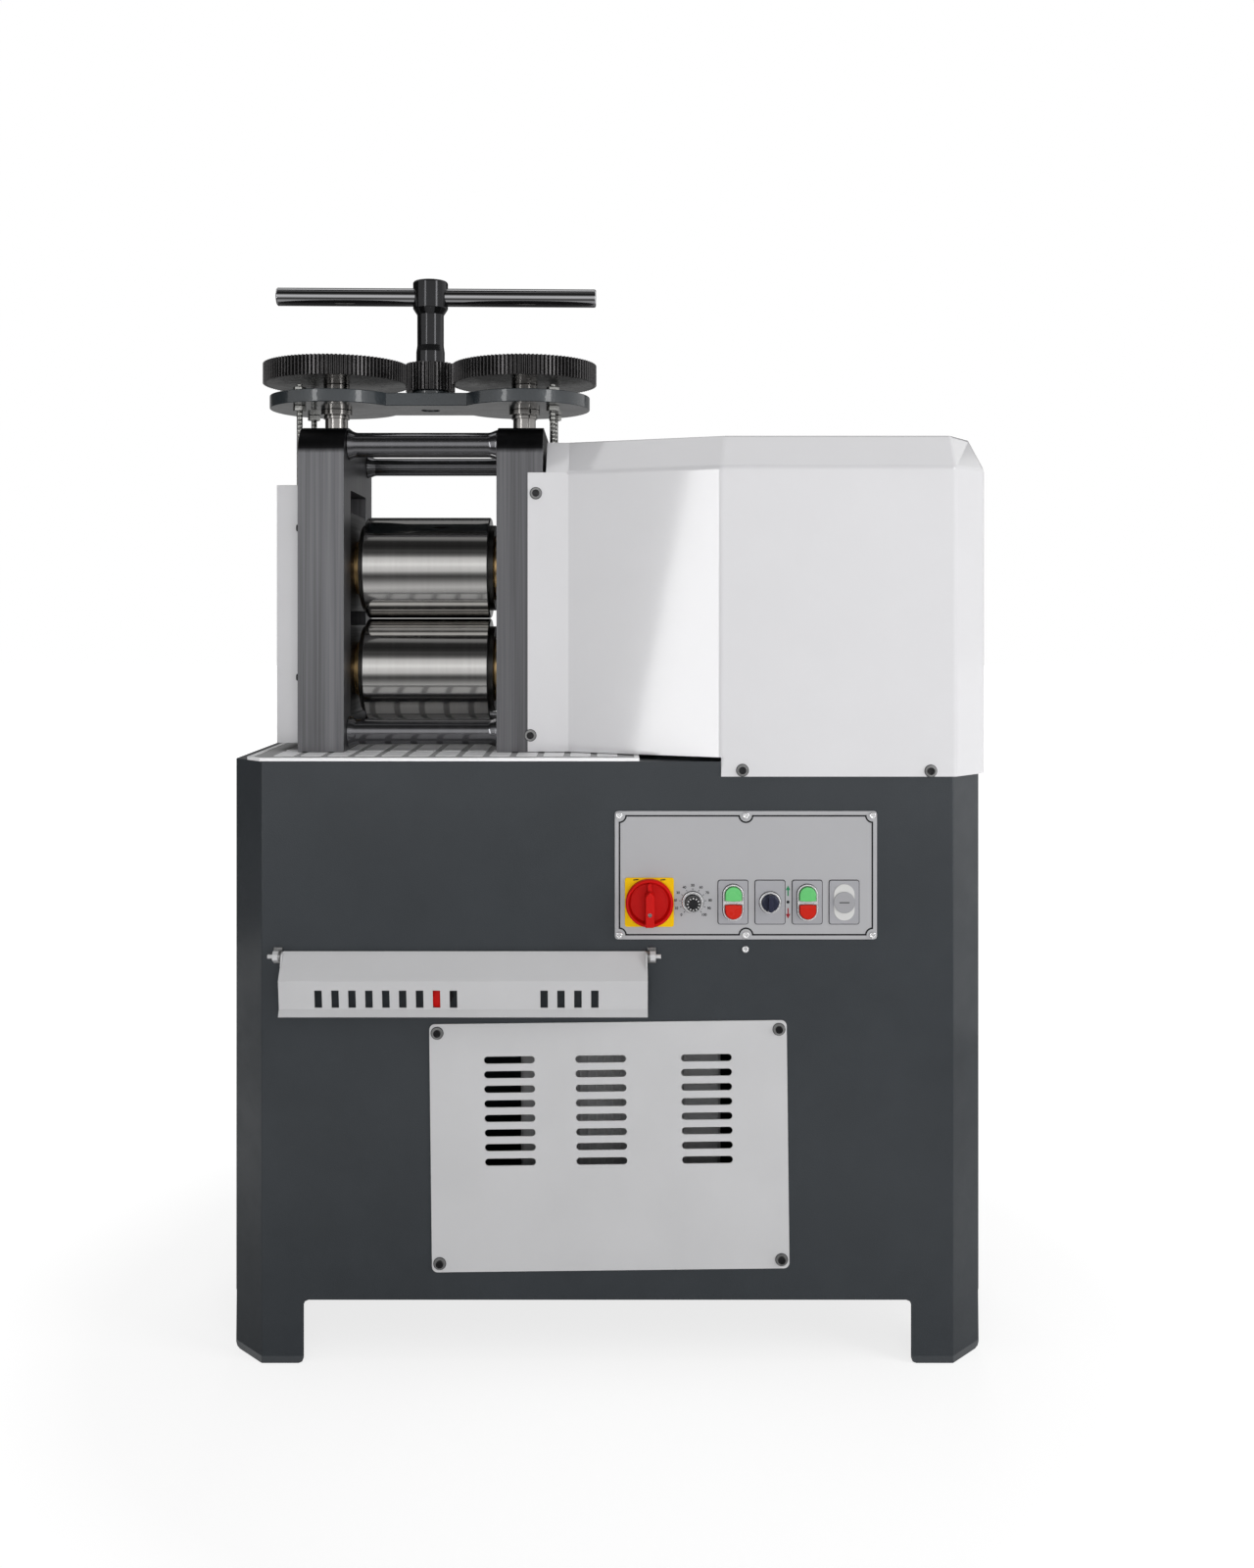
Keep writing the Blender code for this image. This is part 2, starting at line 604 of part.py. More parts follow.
def outline_solid(name, loops, thickness, place, facing="Z"):
    """Return a plate with the outline and holes of closed loops of points."""
    curve = bpy.data.curves.new(name, "CURVE")
    curve.dimensions = "2D"
    curve.fill_mode = "BOTH"
    curve.extrude = thickness / 2
    for loop in loops:
        spline = curve.splines.new("POLY")
        spline.points.add(len(loop) - 1)
        for point, (x, y) in zip(spline.points, loop):
            point.co = (x, y, 0, 1)
        spline.use_cyclic_u = True
    flat = bpy.data.objects.new(name + "_outline", curve)
    bpy.context.scene.collection.objects.link(flat)
    graph = bpy.context.evaluated_depsgraph_get()
    mesh = bpy.data.meshes.new_from_object(flat.evaluated_get(graph))
    bpy.data.objects.remove(flat, do_unlink=True)
    bpy.data.curves.remove(curve)
    shape = bmesh.new()
    shape.from_mesh(mesh)
    bpy.data.meshes.remove(mesh)
    bmesh.ops.remove_doubles(shape, verts=shape.verts, dist=WELD_DISTANCE)
    bmesh.ops.recalc_face_normals(shape, faces=shape.faces)
    bmesh.ops.transform(shape, matrix=FACING[facing], verts=shape.verts)
    return object_from_bmesh(name, shape, place)


def sheet_from_rows(name, rows, spans, caps, sheet):
    """Loft a sheet-metal hood through rows of points, then give it its thickness.

    A span says which columns of points join one row to the next, and a cap
    closes all columns of its row with one face.
    """
    shape = bmesh.new()
    grid = [[shape.verts.new(point) if point else None for point in row] for row in rows]
    for level, (first, last) in enumerate(spans):
        lower, upper = grid[level], grid[level + 1]
        for i in range(first, last):
            shape.faces.new((lower[i], lower[i + 1], upper[i + 1], upper[i]))
    for level in caps:
        shape.faces.new([vert for vert in grid[level] if vert])
    item = object_from_bmesh(name, shape)
    modifier = item.modifiers.new("sheet", "SOLIDIFY")
    modifier.thickness = sheet
    modifier.offset = -1.0
    modifier.use_even_offset = True
    return item


def extruded_sheet(name, points, low, high, axis, sheet):
    """Return a bent sheet: an open line of points drawn along an axis."""
    shape = bmesh.new()
    turn = FACING[axis]
    ends = [[shape.verts.new(turn @ Vector((x, y, end))) for x, y in points]
            for end in (low, high)]
    for i in range(len(points) - 1):
        shape.faces.new((ends[0][i], ends[0][i + 1], ends[1][i + 1], ends[1][i]))
    item = object_from_bmesh(name, shape)
    modifier = item.modifiers.new("sheet", "SOLIDIFY")
    modifier.thickness = sheet
    modifier.offset = -1.0
    modifier.use_even_offset = True
    return item


def arc(centre, radius, start, end, steps):
    """Return points along an arc, both ends included."""
    return [(centre[0] + radius * math.cos(start + (end - start) * i / steps),
             centre[1] + radius * math.sin(start + (end - start) * i / steps))
            for i in range(steps + 1)]


def circle(radius, sides=MEDIUM_ROUND, centre=(0, 0)):
    """Return a closed loop of points on a circle."""
    return arc(centre, radius, 0, 2 * math.pi, sides)[:-1]


def round_corner(before, corner, after, radius, steps=ARC_STEPS):
    """Return the points of a fillet at one corner of an outline."""
    corner = Vector(corner)
    to_before = (Vector(before) - corner).normalized()
    to_after = (Vector(after) - corner).normalized()
    half_angle = to_before.angle(to_after) / 2
    centre = corner + (to_before + to_after).normalized() * radius / math.sin(half_angle)
    start = corner + to_before * radius / math.tan(half_angle) - centre
    end = corner + to_after * radius / math.tan(half_angle) - centre
    swing = start.angle_signed(end)
    return [tuple(centre + Matrix.Rotation(-swing * i / steps, 2) @ start)
            for i in range(steps + 1)]


def rounded_outline(corners, radii, steps=ARC_STEPS):
    """Return a closed loop with a fillet at each corner that has a radius."""
    loop = []
    for i, (corner, radius) in enumerate(zip(corners, radii)):
        if radius:
            loop += round_corner(corners[i - 1], corner, corners[(i + 1) % len(corners)],
                                 radius, steps)
        else:
            loop.append(corner)
    return loop


def rectangle(width, height, radius=0.0, centre=(0, 0), steps=ARC_STEPS):
    """Return the closed loop of a rectangle with rounded corners."""
    x, y = width / 2, height / 2
    corners = [(centre[0] + a * x, centre[1] + b * y)
               for a, b in ((-1, -1), (1, -1), (1, 1), (-1, 1))]
    return rounded_outline(corners, [radius] * len(corners), steps)


def turn_loop(loop, angle):
    """Return a loop turned about its origin."""
    c, s = math.cos(angle), math.sin(angle)
    return [(x * c - y * s, x * s + y * c) for x, y in loop]


def cabinet_outline(inset):
    """Return the cabinet's eight-cornered plan, inset evenly from the outside."""
    x = CABINET_WIDTH / 2 - inset
    low, high = inset, CABINET_DEPTH - inset
    chamfer = CABINET_CHAMFER - inset * (2 - math.sqrt(2))
    return [(-x + chamfer, low), (x - chamfer, low), (x, low + chamfer),
            (x, high - chamfer), (x - chamfer, high), (-x + chamfer, high),
            (-x, high - chamfer), (-x, low + chamfer)]


def involute(angle):
    """Return the involute function of a pressure angle."""
    return math.tan(angle) - angle


def gear_outline(teeth, module, backlash, first_tooth_angle, flank_shares):
    """Return the closed outline of a spur gear with involute flanks.

    The flank shares say how far from root to tip each point of a flank lies.
    """
    pitch_radius = module * teeth / 2
    base_radius = pitch_radius * math.cos(PRESSURE_ANGLE)
    tip_radius = pitch_radius + module * ADDENDUM_SHARE
    root_radius = pitch_radius - module * DEDENDUM_SHARE
    pitch_half_angle = math.pi / (2 * teeth) - backlash / (4 * pitch_radius)
    flank = []
    for share in flank_shares:
        radius = root_radius + (tip_radius - root_radius) * share
        pressure = math.acos(min(1.0, base_radius / radius))
        half_angle = pitch_half_angle + involute(PRESSURE_ANGLE) - involute(pressure)
        flank.append((radius, half_angle))
    loop = []
    for tooth in range(teeth):
        middle = first_tooth_angle + 2 * math.pi * tooth / teeth
        sides = [(radius, middle - half) for radius, half in flank]
        sides += [(radius, middle + half) for radius, half in reversed(flank)]
        loop += [(r * math.cos(a), r * math.sin(a)) for r, a in sides]
    return loop


def arch_outline(half_width, height, corner_radius, foot_radius):
    """Return the cutter outline between two legs, which also rounds their feet."""
    below = -CUT_OVERRUN
    right = arc((half_width + foot_radius, foot_radius), foot_radius,
                1.5 * math.pi, math.pi, ARC_STEPS)
    loop = [(half_width + foot_radius, below)] + right
    loop += arc((half_width - corner_radius, height - corner_radius), corner_radius,
                0, 0.5 * math.pi, ARC_STEPS)
    return loop + [(-x, y) for x, y in reversed(loop)]


def build_cabinet(shop):
    """Folded cabinet shell with four corner legs, its top plate and shelf."""
    shell = outline_solid("cabinet_shell",
                          [cabinet_outline(0), cabinet_outline(CABINET_SHEET)],
                          CABINET_HEIGHT, (0, 0, CABINET_HEIGHT / 2))
    front_half = CABINET_WIDTH / 2 - CABINET_CHAMFER - LEG_STRIP_WIDTH
    side_half = CABINET_DEPTH / 2 - CABINET_CHAMFER
    shop.cut(
        shell,
        outline_solid("front_arch_cutter",
                      [arch_outline(front_half, LEG_HEIGHT, LEG_CORNER_RADIUS,
                                    LEG_CORNER_RADIUS)],
                      CABINET_DEPTH + 2 * CUT_OVERRUN, (0, CABINET_DEPTH / 2, 0), "Y"),
        outline_solid("side_arch_cutter",
                      [arch_outline(side_half, LEG_HEIGHT, LEG_CORNER_RADIUS,
                                    LEG_CORNER_RADIUS)],
                      CABINET_WIDTH + 2 * CUT_OVERRUN, (0, CABINET_DEPTH / 2, 0), "X"),
        block("vent_opening_cutter",
              (VENT_WIDTH - 2 * VENT_OPENING_MARGIN, 2 * CUT_OVERRUN,
               VENT_HEIGHT - 2 * VENT_OPENING_MARGIN), (VENT_CENTRE_X, 0, VENT_CENTRE_Z)),
        box_between("panel_opening_cutter",
                    (PANEL_LEFT_X + PANEL_OPENING_MARGIN, -CUT_OVERRUN,
                     PANEL_BOTTOM_Z + PANEL_OPENING_RISE),
                    (PANEL_LEFT_X + PANEL_WIDTH - PANEL_OPENING_MARGIN, CUT_OVERRUN,
                     PANEL_BOTTOM_Z + PANEL_OPENING_RISE + PANEL_OPENING_HEIGHT)),
        cylinder("stop_switch_hole_cutter", STOP_SWITCH_NECK_RADIUS + FIT,
                 2 * CUT_OVERRUN, (STOP_SWITCH_X, 0, STOP_SWITCH_Z), "Y", TINY_ROUND))
    shop.add(shell, "cabinet_paint")
    inner = cabinet_outline(CABINET_SHEET + FIT)
    shop.add(outline_solid("cabinet_top_plate", [inner], TOP_PLATE_THICKNESS,
                           (0, 0, CABINET_HEIGHT - TOP_PLATE_THICKNESS / 2)),
             "cabinet_paint")
    shop.add(outline_solid("base_shelf", [inner], SHELF_THICKNESS,
                           (0, 0, SHELF_TOP_Z - SHELF_THICKNESS / 2)),
             "cabinet_paint")


def build_tray(shop):
    """White drip tray under the stand, cut to the cabinet's chamfers."""
    left = -CABINET_WIDTH / 2 + TRAY_MARGIN
    corners = [(left + TRAY_CORNER, 0), (TRAY_RIGHT_X, 0), (TRAY_RIGHT_X, CABINET_DEPTH),
               (left + TRAY_CORNER, CABINET_DEPTH), (left, CABINET_DEPTH - TRAY_CORNER),
               (left, TRAY_CORNER)]
    tray = outline_solid("drip_tray", [corners], TRAY_THICKNESS - FIT,
                         (0, 0, CABINET_HEIGHT + FIT + (TRAY_THICKNESS - FIT) / 2))
    shop.add(tray, "white_paint")


def build_vent_cover(shop):
    """Screwed sheet with three columns of louvre slots, a little out of level."""
    place = (VENT_CENTRE_X, -FIT - VENT_SHEET / 2, VENT_CENTRE_Z)
    outline = turn_loop(rectangle(VENT_WIDTH, VENT_HEIGHT, VENT_CORNER_RADIUS), VENT_TILT)
    cover = outline_solid("vent_cover", [outline], VENT_SHEET, place, "Y")
    slots = []
    for column_x in SLOT_COLUMN_XS:
        for row in range(SLOT_ROWS):
            centre = (column_x - VENT_CENTRE_X,
                      SLOT_TOP_Z - row * SLOT_PITCH - VENT_CENTRE_Z)
            slot = rectangle(SLOT_LENGTH, SLOT_WIDTH, SLOT_WIDTH * FULL_ROUND_SHARE,
                             centre, 1)
            slots.append(turn_loop(slot, VENT_TILT))
    shop.add(cover, "white_paint")
    shop.cut(cover, outline_solid("vent_slot_cutter", slots, VENT_SHEET + CUT_OVERRUN,
                                  place, "Y"))


def build_housing(shop, name, centre_x):
    """One window housing of the stand, bored for its screw spindle."""
    half_depth, half_height = HOUSING_DEPTH / 2, HOUSING_HEIGHT / 2
    outside = rounded_outline(
        [(-half_depth, -half_height), (half_depth, -half_height),
         (half_depth, half_height), (-half_depth, half_height)],
        [0, 0, HOUSING_TOP_RADIUS, HOUSING_TOP_RADIUS], FINE_ARC_STEPS)
    window_height = LINTEL_Z - SILL_Z
    centre_z = HOUSING_BOTTOM_Z + half_height
    window = rectangle(WINDOW_DEPTH, window_height, WINDOW_CORNER_RADIUS,
                       (0, (LINTEL_Z + SILL_Z) / 2 - centre_z), 2)
    housing = outline_solid(name, [outside, window], HOUSING_WIDTH,
                            (centre_x, STAND_Y, centre_z), "X")
    shop.cut(housing, cylinder(name + "_bore_cutter", SPINDLE_THREAD_RADIUS + FIT,
                               WINDOW_LINTEL + 2 * CUT_OVERRUN,
                               (centre_x, STAND_Y, HOUSING_TOP_Z - WINDOW_LINTEL / 2)))
    shop.add(housing, "blackened_steel")


def build_tie_bar(shop, name, radius, y, z):
    """Turned bar between the housings, with a flared foot at each end."""
    half = INNER_FACE_OFFSET - FIT
    profile = [(0, half), (radius + BAR_FLARE, half), (radius, half - BAR_FLARE_LENGTH),
               (radius, -half + BAR_FLARE_LENGTH), (radius + BAR_FLARE, -half), (0, -half)]
    shop.add(turned(name, profile, (STAND_CENTRE_X, y, z), "X", BUSH_ROUND),
             "black_steel")


def build_tie_bars(shop):
    """Four bars that hold the two housings apart."""
    front, rear = STAND_Y - BAR_DEPTH_OFFSET, STAND_Y + BAR_DEPTH_OFFSET
    build_tie_bar(shop, "front_upper_tie_bar", UPPER_FRONT_BAR_RADIUS, front,
                  HOUSING_TOP_Z - UPPER_FRONT_BAR_DROP)
    build_tie_bar(shop, "rear_upper_tie_bar", UPPER_REAR_BAR_RADIUS, rear,
                  HOUSING_TOP_Z - UPPER_REAR_BAR_DROP)
    build_tie_bar(shop, "front_lower_tie_bar", LOWER_BAR_RADIUS, front,
                  HOUSING_BOTTOM_Z + LOWER_BAR_RISE)
    build_tie_bar(shop, "rear_lower_tie_bar", LOWER_BAR_RADIUS, rear,
                  HOUSING_BOTTOM_Z + LOWER_BAR_RISE)


def bearing_block(name, side, bottom_z, top_z, axis_z, outer_reach):
    """Return a bored bearing block that slides in one housing's window."""
    width = HOUSING_WIDTH + outer_reach
    half_depth = WINDOW_DEPTH / 2 - FIT
    corners = [(-half_depth, bottom_z - axis_z), (half_depth, bottom_z - axis_z),
               (half_depth, top_z - axis_z), (-half_depth, top_z - axis_z)]
    outside = rounded_outline(corners, [WINDOW_CORNER_RADIUS + FIT] * len(corners), 1)
    centre_x = STAND_CENTRE_X + side * (SPINDLE_OFFSET + outer_reach / 2)
    return outline_solid(name, [outside, circle(BUSH_RADIUS + FIT, BUSH_ROUND)], width,
                         (centre_x, STAND_Y, axis_z), "X")


def bearing_bush(name, side, axis_z):
    """Return a flanged bronze bush, flange towards the roll, along X."""
    bore = JOURNAL_RADIUS + JOURNAL_CLEARANCE
    flange_start = ROLL_FACE / 2 + SHOULDER_LENGTH + FIT
    flange_end = INNER_FACE_OFFSET - FIT
    tail = OUTER_FACE_OFFSET
    outside = [(BUSH_RADIUS, tail), (BUSH_RADIUS, flange_end),
               (BUSH_FLANGE_RADIUS, flange_end), (BUSH_FLANGE_RADIUS, flange_start)]
    profile = outside + [(bore, flange_start), (bore, tail)]
    if side < 0:
        profile = [(radius, -height) for radius, height in reversed(profile)]
    return turned(name, profile, (STAND_CENTRE_X, STAND_Y, axis_z), "X",
                  BUSH_ROUND, closed=True)


def roll_profile(right_end, with_shaft_end):
    """Return a roll's half section, from its right-hand end to its left one."""
    face, shoulder = ROLL_FACE / 2, ROLL_FACE / 2 + SHOULDER_LENGTH
    radius = ROLL_DIAMETER / 2
    seat = ROLL_GEAR_LEFT_X - STAND_CENTRE_X
    points = [(0, right_end)]
    if with_shaft_end:
        shaft_start = ROLL_GEAR_RIGHT_X - STAND_CENTRE_X
        points += [(SHAFT_END_RADIUS, right_end), (SHAFT_END_RADIUS, shaft_start)]
        points.append((ROLL_GEAR_BORE_RADIUS, shaft_start))
    else:
        points.append((ROLL_GEAR_BORE_RADIUS, right_end))
    points += [(ROLL_GEAR_BORE_RADIUS, seat - FIT), (JOURNAL_RADIUS, seat - FIT),
               (JOURNAL_RADIUS, shoulder), (SHOULDER_RADIUS, shoulder),
               (SHOULDER_RADIUS, face), (radius, face)]
    left_end = -OUTER_FACE_OFFSET - JOURNAL_END
    points += [(radius, -face), (SHOULDER_RADIUS, -face), (SHOULDER_RADIUS, -shoulder),
               (JOURNAL_RADIUS, -shoulder), (JOURNAL_RADIUS, left_end), (0, left_end)]
    return points


def build_roll(shop, level, axis_z, tooth_angle, carrier, right_end, with_shaft_end):
    """One roll with its gear, on a pivot on its own axis."""
    spot = shop.pivot(level + "_roll_pivot", (STAND_CENTRE_X, STAND_Y, axis_z), carrier)
    shop.add(turned(level + "_roll", roll_profile(right_end, with_shaft_end),
                    (STAND_CENTRE_X, STAND_Y, axis_z), "X", LARGE_ROUND),
             "ground_steel", spot)
    loops = [gear_outline(ROLL_GEAR_TEETH, ROLL_GEAR_MODULE, ROLL_GEAR_BACKLASH,
                          tooth_angle, (0.0, 1.0)),
             circle(ROLL_GEAR_BORE_RADIUS + FIT, SMALL_ROUND)]
    gear = outline_solid(level + "_roll_gear", loops, ROLL_GEAR_WIDTH,
                         ((ROLL_GEAR_LEFT_X + ROLL_GEAR_RIGHT_X) / 2, STAND_Y, axis_z), "X")
    shop.add(gear, "black_steel", spot)
    return spot


def build_lower_roll_group(shop):
    """Fixed lower blocks and bushes, and the driven bottom roll in them."""
    for name, side in (("left", -1), ("right", 1)):
        shop.add(bearing_block(name + "_lower_block", side, SILL_Z + FIT,
                               SILL_Z + LOWER_BLOCK_HEIGHT, BOTTOM_AXIS_Z, 0.0),
                 "blackened_steel")
        shop.add(bearing_bush(name + "_lower_bush", side, BOTTOM_AXIS_Z), "bronze")
    right_end = ROLL_GEAR_RIGHT_X + SHAFT_END_LENGTH - STAND_CENTRE_X
    return build_roll(shop, "bottom", BOTTOM_AXIS_Z, math.pi / 2, None, right_end, True)


def build_upper_roll_group(shop, carriage):
    """Upper blocks and bushes, hung on the lift rods, and the top roll."""
    for name, side in (("left", -1), ("right", 1)):
        upper = bearing_block(name + "_upper_block", side,
                              TOP_AXIS_Z - UPPER_BLOCK_BELOW_AXIS, UPPER_BLOCK_TOP_Z,
                              TOP_AXIS_Z, LUG_REACH)
        for end in (-1, 1):
            hole_x = STAND_CENTRE_X + side * ROD_OFFSET
            hole_y = STAND_Y + end * ROD_DEPTH_OFFSET
            depth = ROD_ENGAGEMENT + FIT + CUT_OVERRUN
            hole_z = UPPER_BLOCK_TOP_Z + CUT_OVERRUN - depth / 2
            shop.cut(upper, cylinder("rod_hole_cutter", ROD_RADIUS + FIT, depth,
                                     (hole_x, hole_y, hole_z), "Z", ROD_ROUND))
        shop.add(upper, "blackened_steel", carriage)
        shop.add(bearing_bush(name + "_upper_bush", side, TOP_AXIS_Z), "bronze", carriage)
    gap_angle = -math.pi / 2 + math.pi / ROLL_GEAR_TEETH
    build_roll(shop, "top", TOP_AXIS_Z, gap_angle, carriage,
               ROLL_GEAR_RIGHT_X - STAND_CENTRE_X, False)


def bridge_outline():
    """Return the plan of the bridge plate: two lobes and the web between them."""
    crease = math.asin(BRIDGE_WEB_HALF_WIDTH / BRIDGE_LOBE_RADIUS)
    right = arc((SPINDLE_OFFSET, 0), BRIDGE_LOBE_RADIUS, crease - math.pi,
                math.pi - crease, BRIDGE_LOBE_STEPS)
    return right + [(-x, -y) for x, y in right]


def build_bridge_plate(shop, carriage):
    """Plate that rides on the spindle collars and carries rods and handle."""
    plate = outline_solid("bridge_plate", [bridge_outline()], BRIDGE_THICKNESS,
                          (STAND_CENTRE_X, STAND_Y,
                           BRIDGE_BOTTOM_Z + BRIDGE_THICKNESS / 2))
    boss_height = BOSS_HEIGHT + BRIDGE_THICKNESS / 2
    shop.join(plate, cylinder("boss_joiner", BOSS_RADIUS, boss_height,
                              (STAND_CENTRE_X, STAND_Y,
                               BRIDGE_TOP_Z + BOSS_HEIGHT - boss_height / 2)))
    holes = [(0, 0, STEM_RADIUS, SMALL_ROUND)]
    for side in (-1, 1):
        holes.append((side * SPINDLE_OFFSET, 0, SPINDLE_HUB_RADIUS, SMALL_ROUND))
        for end in (-1, 1):
            holes.append((side * ROD_OFFSET, end * ROD_DEPTH_OFFSET, ROD_RADIUS, ROD_ROUND))
    depth = 2 * (BRIDGE_THICKNESS + BOSS_HEIGHT) + CUT_OVERRUN
    for x, y, radius, sides in holes:
        shop.cut(plate, cylinder("plate_hole_cutter", radius + FIT, depth,
                                 (STAND_CENTRE_X + x, STAND_Y + y,
                                  BRIDGE_BOTTOM_Z + BRIDGE_THICKNESS / 2), "Z", sides))
    shop.add(plate, "grey_paint", carriage)


def build_lift_rods(shop, carriage):
    """Four threaded rods, each clamped to the bridge plate by two nuts."""
    for name, side, end in (("front_left", -1, -1), ("rear_left", -1, 1),
                            ("front_right", 1, -1), ("rear_right", 1, 1)):
        x = STAND_CENTRE_X + side * ROD_OFFSET
        y = STAND_Y + end * ROD_DEPTH_OFFSET
        length = ROD_TOP_Z - ROD_BOTTOM_Z
        rod = cylinder(name + "_lift_rod", ROD_RADIUS, length,
                       (x, y, ROD_BOTTOM_Z + length / 2), "Z", ROD_ROUND)
        upper_z = BRIDGE_TOP_Z + FIT + NUT_HEIGHT / 2
        lower_z = BRIDGE_BOTTOM_Z - FIT - NUT_HEIGHT / 2
        shop.join(rod, hex_prism("upper_nut_joiner", NUT_WIDTH, NUT_HEIGHT, (x, y, upper_z)),
                  hex_prism("lower_nut_joiner", NUT_WIDTH, NUT_HEIGHT, (x, y, lower_z)))
        shop.add(rod, "zinc", carriage)


def build_screw(shop, name, side, carriage):
    """One screw spindle with its spur gear, on a pivot on its own axis."""
    x = STAND_CENTRE_X + side * SPINDLE_OFFSET
    spot = shop.pivot(name + "_screw_pivot", (x, STAND_Y, BRIDGE_BOTTOM_Z), carriage)
    top = GEAR_BOTTOM_Z + SCREW_GEAR_THICKNESS
    hub_top = GEAR_BOTTOM_Z - FIT
    collar_top = BRIDGE_BOTTOM_Z - FIT
    collar_low = collar_top - SPINDLE_COLLAR_HEIGHT
    ring_low = collar_low - SPINDLE_RING_HEIGHT
    foot = UPPER_BLOCK_TOP_Z + FIT
    profile = [(0, top), (SPINDLE_RADIUS, top), (SPINDLE_RADIUS, hub_top),
               (SPINDLE_HUB_RADIUS, hub_top), (SPINDLE_HUB_RADIUS, collar_top),
               (SPINDLE_COLLAR_RADIUS, collar_top), (SPINDLE_COLLAR_RADIUS, collar_low),
               (SPINDLE_HUB_RADIUS, collar_low), (SPINDLE_HUB_RADIUS, ring_low),
               (SPINDLE_THREAD_RADIUS, ring_low), (SPINDLE_THREAD_RADIUS, foot), (0, foot)]
    shop.add(turned(name + "_spindle", profile, (x, STAND_Y, 0), "Z", SMALL_ROUND),
             "ground_steel", spot)
    half_pitch = math.pi / SCREW_GEAR_TEETH
    loops = [gear_outline(SCREW_GEAR_TEETH, GEAR_MODULE, SCREW_GEAR_BACKLASH, half_pitch,
                          (0.0, 1.0)),
             circle(SPINDLE_RADIUS + FIT, SMALL_ROUND)]
    gear = outline_solid(name + "_screw_gear", loops, SCREW_GEAR_THICKNESS,
                         (x, STAND_Y, GEAR_BOTTOM_Z + SCREW_GEAR_THICKNESS / 2))
    shop.add(gear, "black_steel", spot)


def build_handle(shop, carriage):
    """T-handle: hub with its stem, cross bar and the pinion between the gears."""
    spot = shop.pivot("handle_pivot", (STAND_CENTRE_X, STAND_Y, BRIDGE_TOP_Z), carriage)
    foot_top = NECK_BOTTOM_Z + NECK_FOOT_HEIGHT
    neck_low = foot_top + NECK_FLARE_RUN
    neck_top = neck_low + NECK_HEIGHT
    hub_low = neck_top + HUB_CONE_HEIGHT
    stem_low = BRIDGE_BOTTOM_Z + HUB_EDGE
    profile = [(0, HANDLE_TOP_Z), (HUB_RADIUS - HUB_EDGE, HANDLE_TOP_Z),
               (HUB_RADIUS, HANDLE_TOP_Z - HUB_EDGE), (HUB_RADIUS, hub_low),
               (NECK_RADIUS, neck_top), (NECK_RADIUS, neck_low),
               (NECK_FLARE_RADIUS, foot_top), (NECK_FLARE_RADIUS, NECK_BOTTOM_Z),
               (STEM_RADIUS, NECK_BOTTOM_Z), (STEM_RADIUS, stem_low), (0, stem_low)]
    hub = turned("handle_hub", profile, (STAND_CENTRE_X, STAND_Y, 0), "Z", MEDIUM_ROUND)
    bar_centre = (STAND_CENTRE_X, STAND_Y, HANDLE_BAR_Z)
    hole = cylinder("bar_hole_cutter", HANDLE_BAR_RADIUS + FIT,
                    2 * (HUB_RADIUS + CUT_OVERRUN), bar_centre, "X", SMALL_ROUND)
    hole.rotation_euler.z = HANDLE_REST_YAW
    shop.add(shop.cut(hub, hole), "black_steel", spot)
    half = HANDLE_BAR_LENGTH / 2
    edge = HANDLE_BAR_RADIUS - HANDLE_BAR_EDGE
    bar_profile = [(0, half), (edge, half), (HANDLE_BAR_RADIUS, half - HANDLE_BAR_EDGE),
                   (HANDLE_BAR_RADIUS, HANDLE_BAR_EDGE - half), (edge, -half), (0, -half)]
    bar_middle = (STAND_CENTRE_X + HANDLE_BAR_SLIP * math.cos(HANDLE_REST_YAW),
                  STAND_Y + HANDLE_BAR_SLIP * math.sin(HANDLE_REST_YAW), HANDLE_BAR_Z)
    bar = turned("handle_bar", bar_profile, bar_middle, "X", SMALL_ROUND)
    bar.rotation_euler = (Matrix.Rotation(HANDLE_REST_YAW, 4, "Z") @ FACING["X"]).to_euler()
    shop.add(bar, "black_steel", spot)
    loops = [gear_outline(PINION_TEETH, GEAR_MODULE, SCREW_GEAR_BACKLASH, 0.0, (0.0, 1.0)),
             circle(STEM_RADIUS + FIT, SMALL_ROUND)]
    pinion = outline_solid("handle_pinion", loops, PINION_THICKNESS,
                           (STAND_CENTRE_X, STAND_Y, PINION_BOTTOM_Z + PINION_THICKNESS / 2))
    shop.add(pinion, "black_steel", spot)


def build_left_guard(shop):
    """Bent channel on the left housing that covers its lift rods."""
    face_x = STAND_CENTRE_X - OUTER_FACE_OFFSET - FIT - GUARD_SHEET
    outer_x = STAND_CENTRE_X - OUTER_FACE_OFFSET - GUARD_REACH
    front, rear = STAND_Y - GUARD_DEPTH / 2, STAND_Y + GUARD_DEPTH / 2
    points = [(face_x, rear + GUARD_FLANGE), (face_x, rear), (outer_x, rear),
              (outer_x, front), (face_x, front), (face_x, front - GUARD_FLANGE)]
    low = TRAY_TOP_Z + GUARD_ABOVE_TRAY
    guard = extruded_sheet("left_guard", points, low, GUARD_TOP_Z, "Z", GUARD_SHEET)
    shop.add(guard, "white_paint")


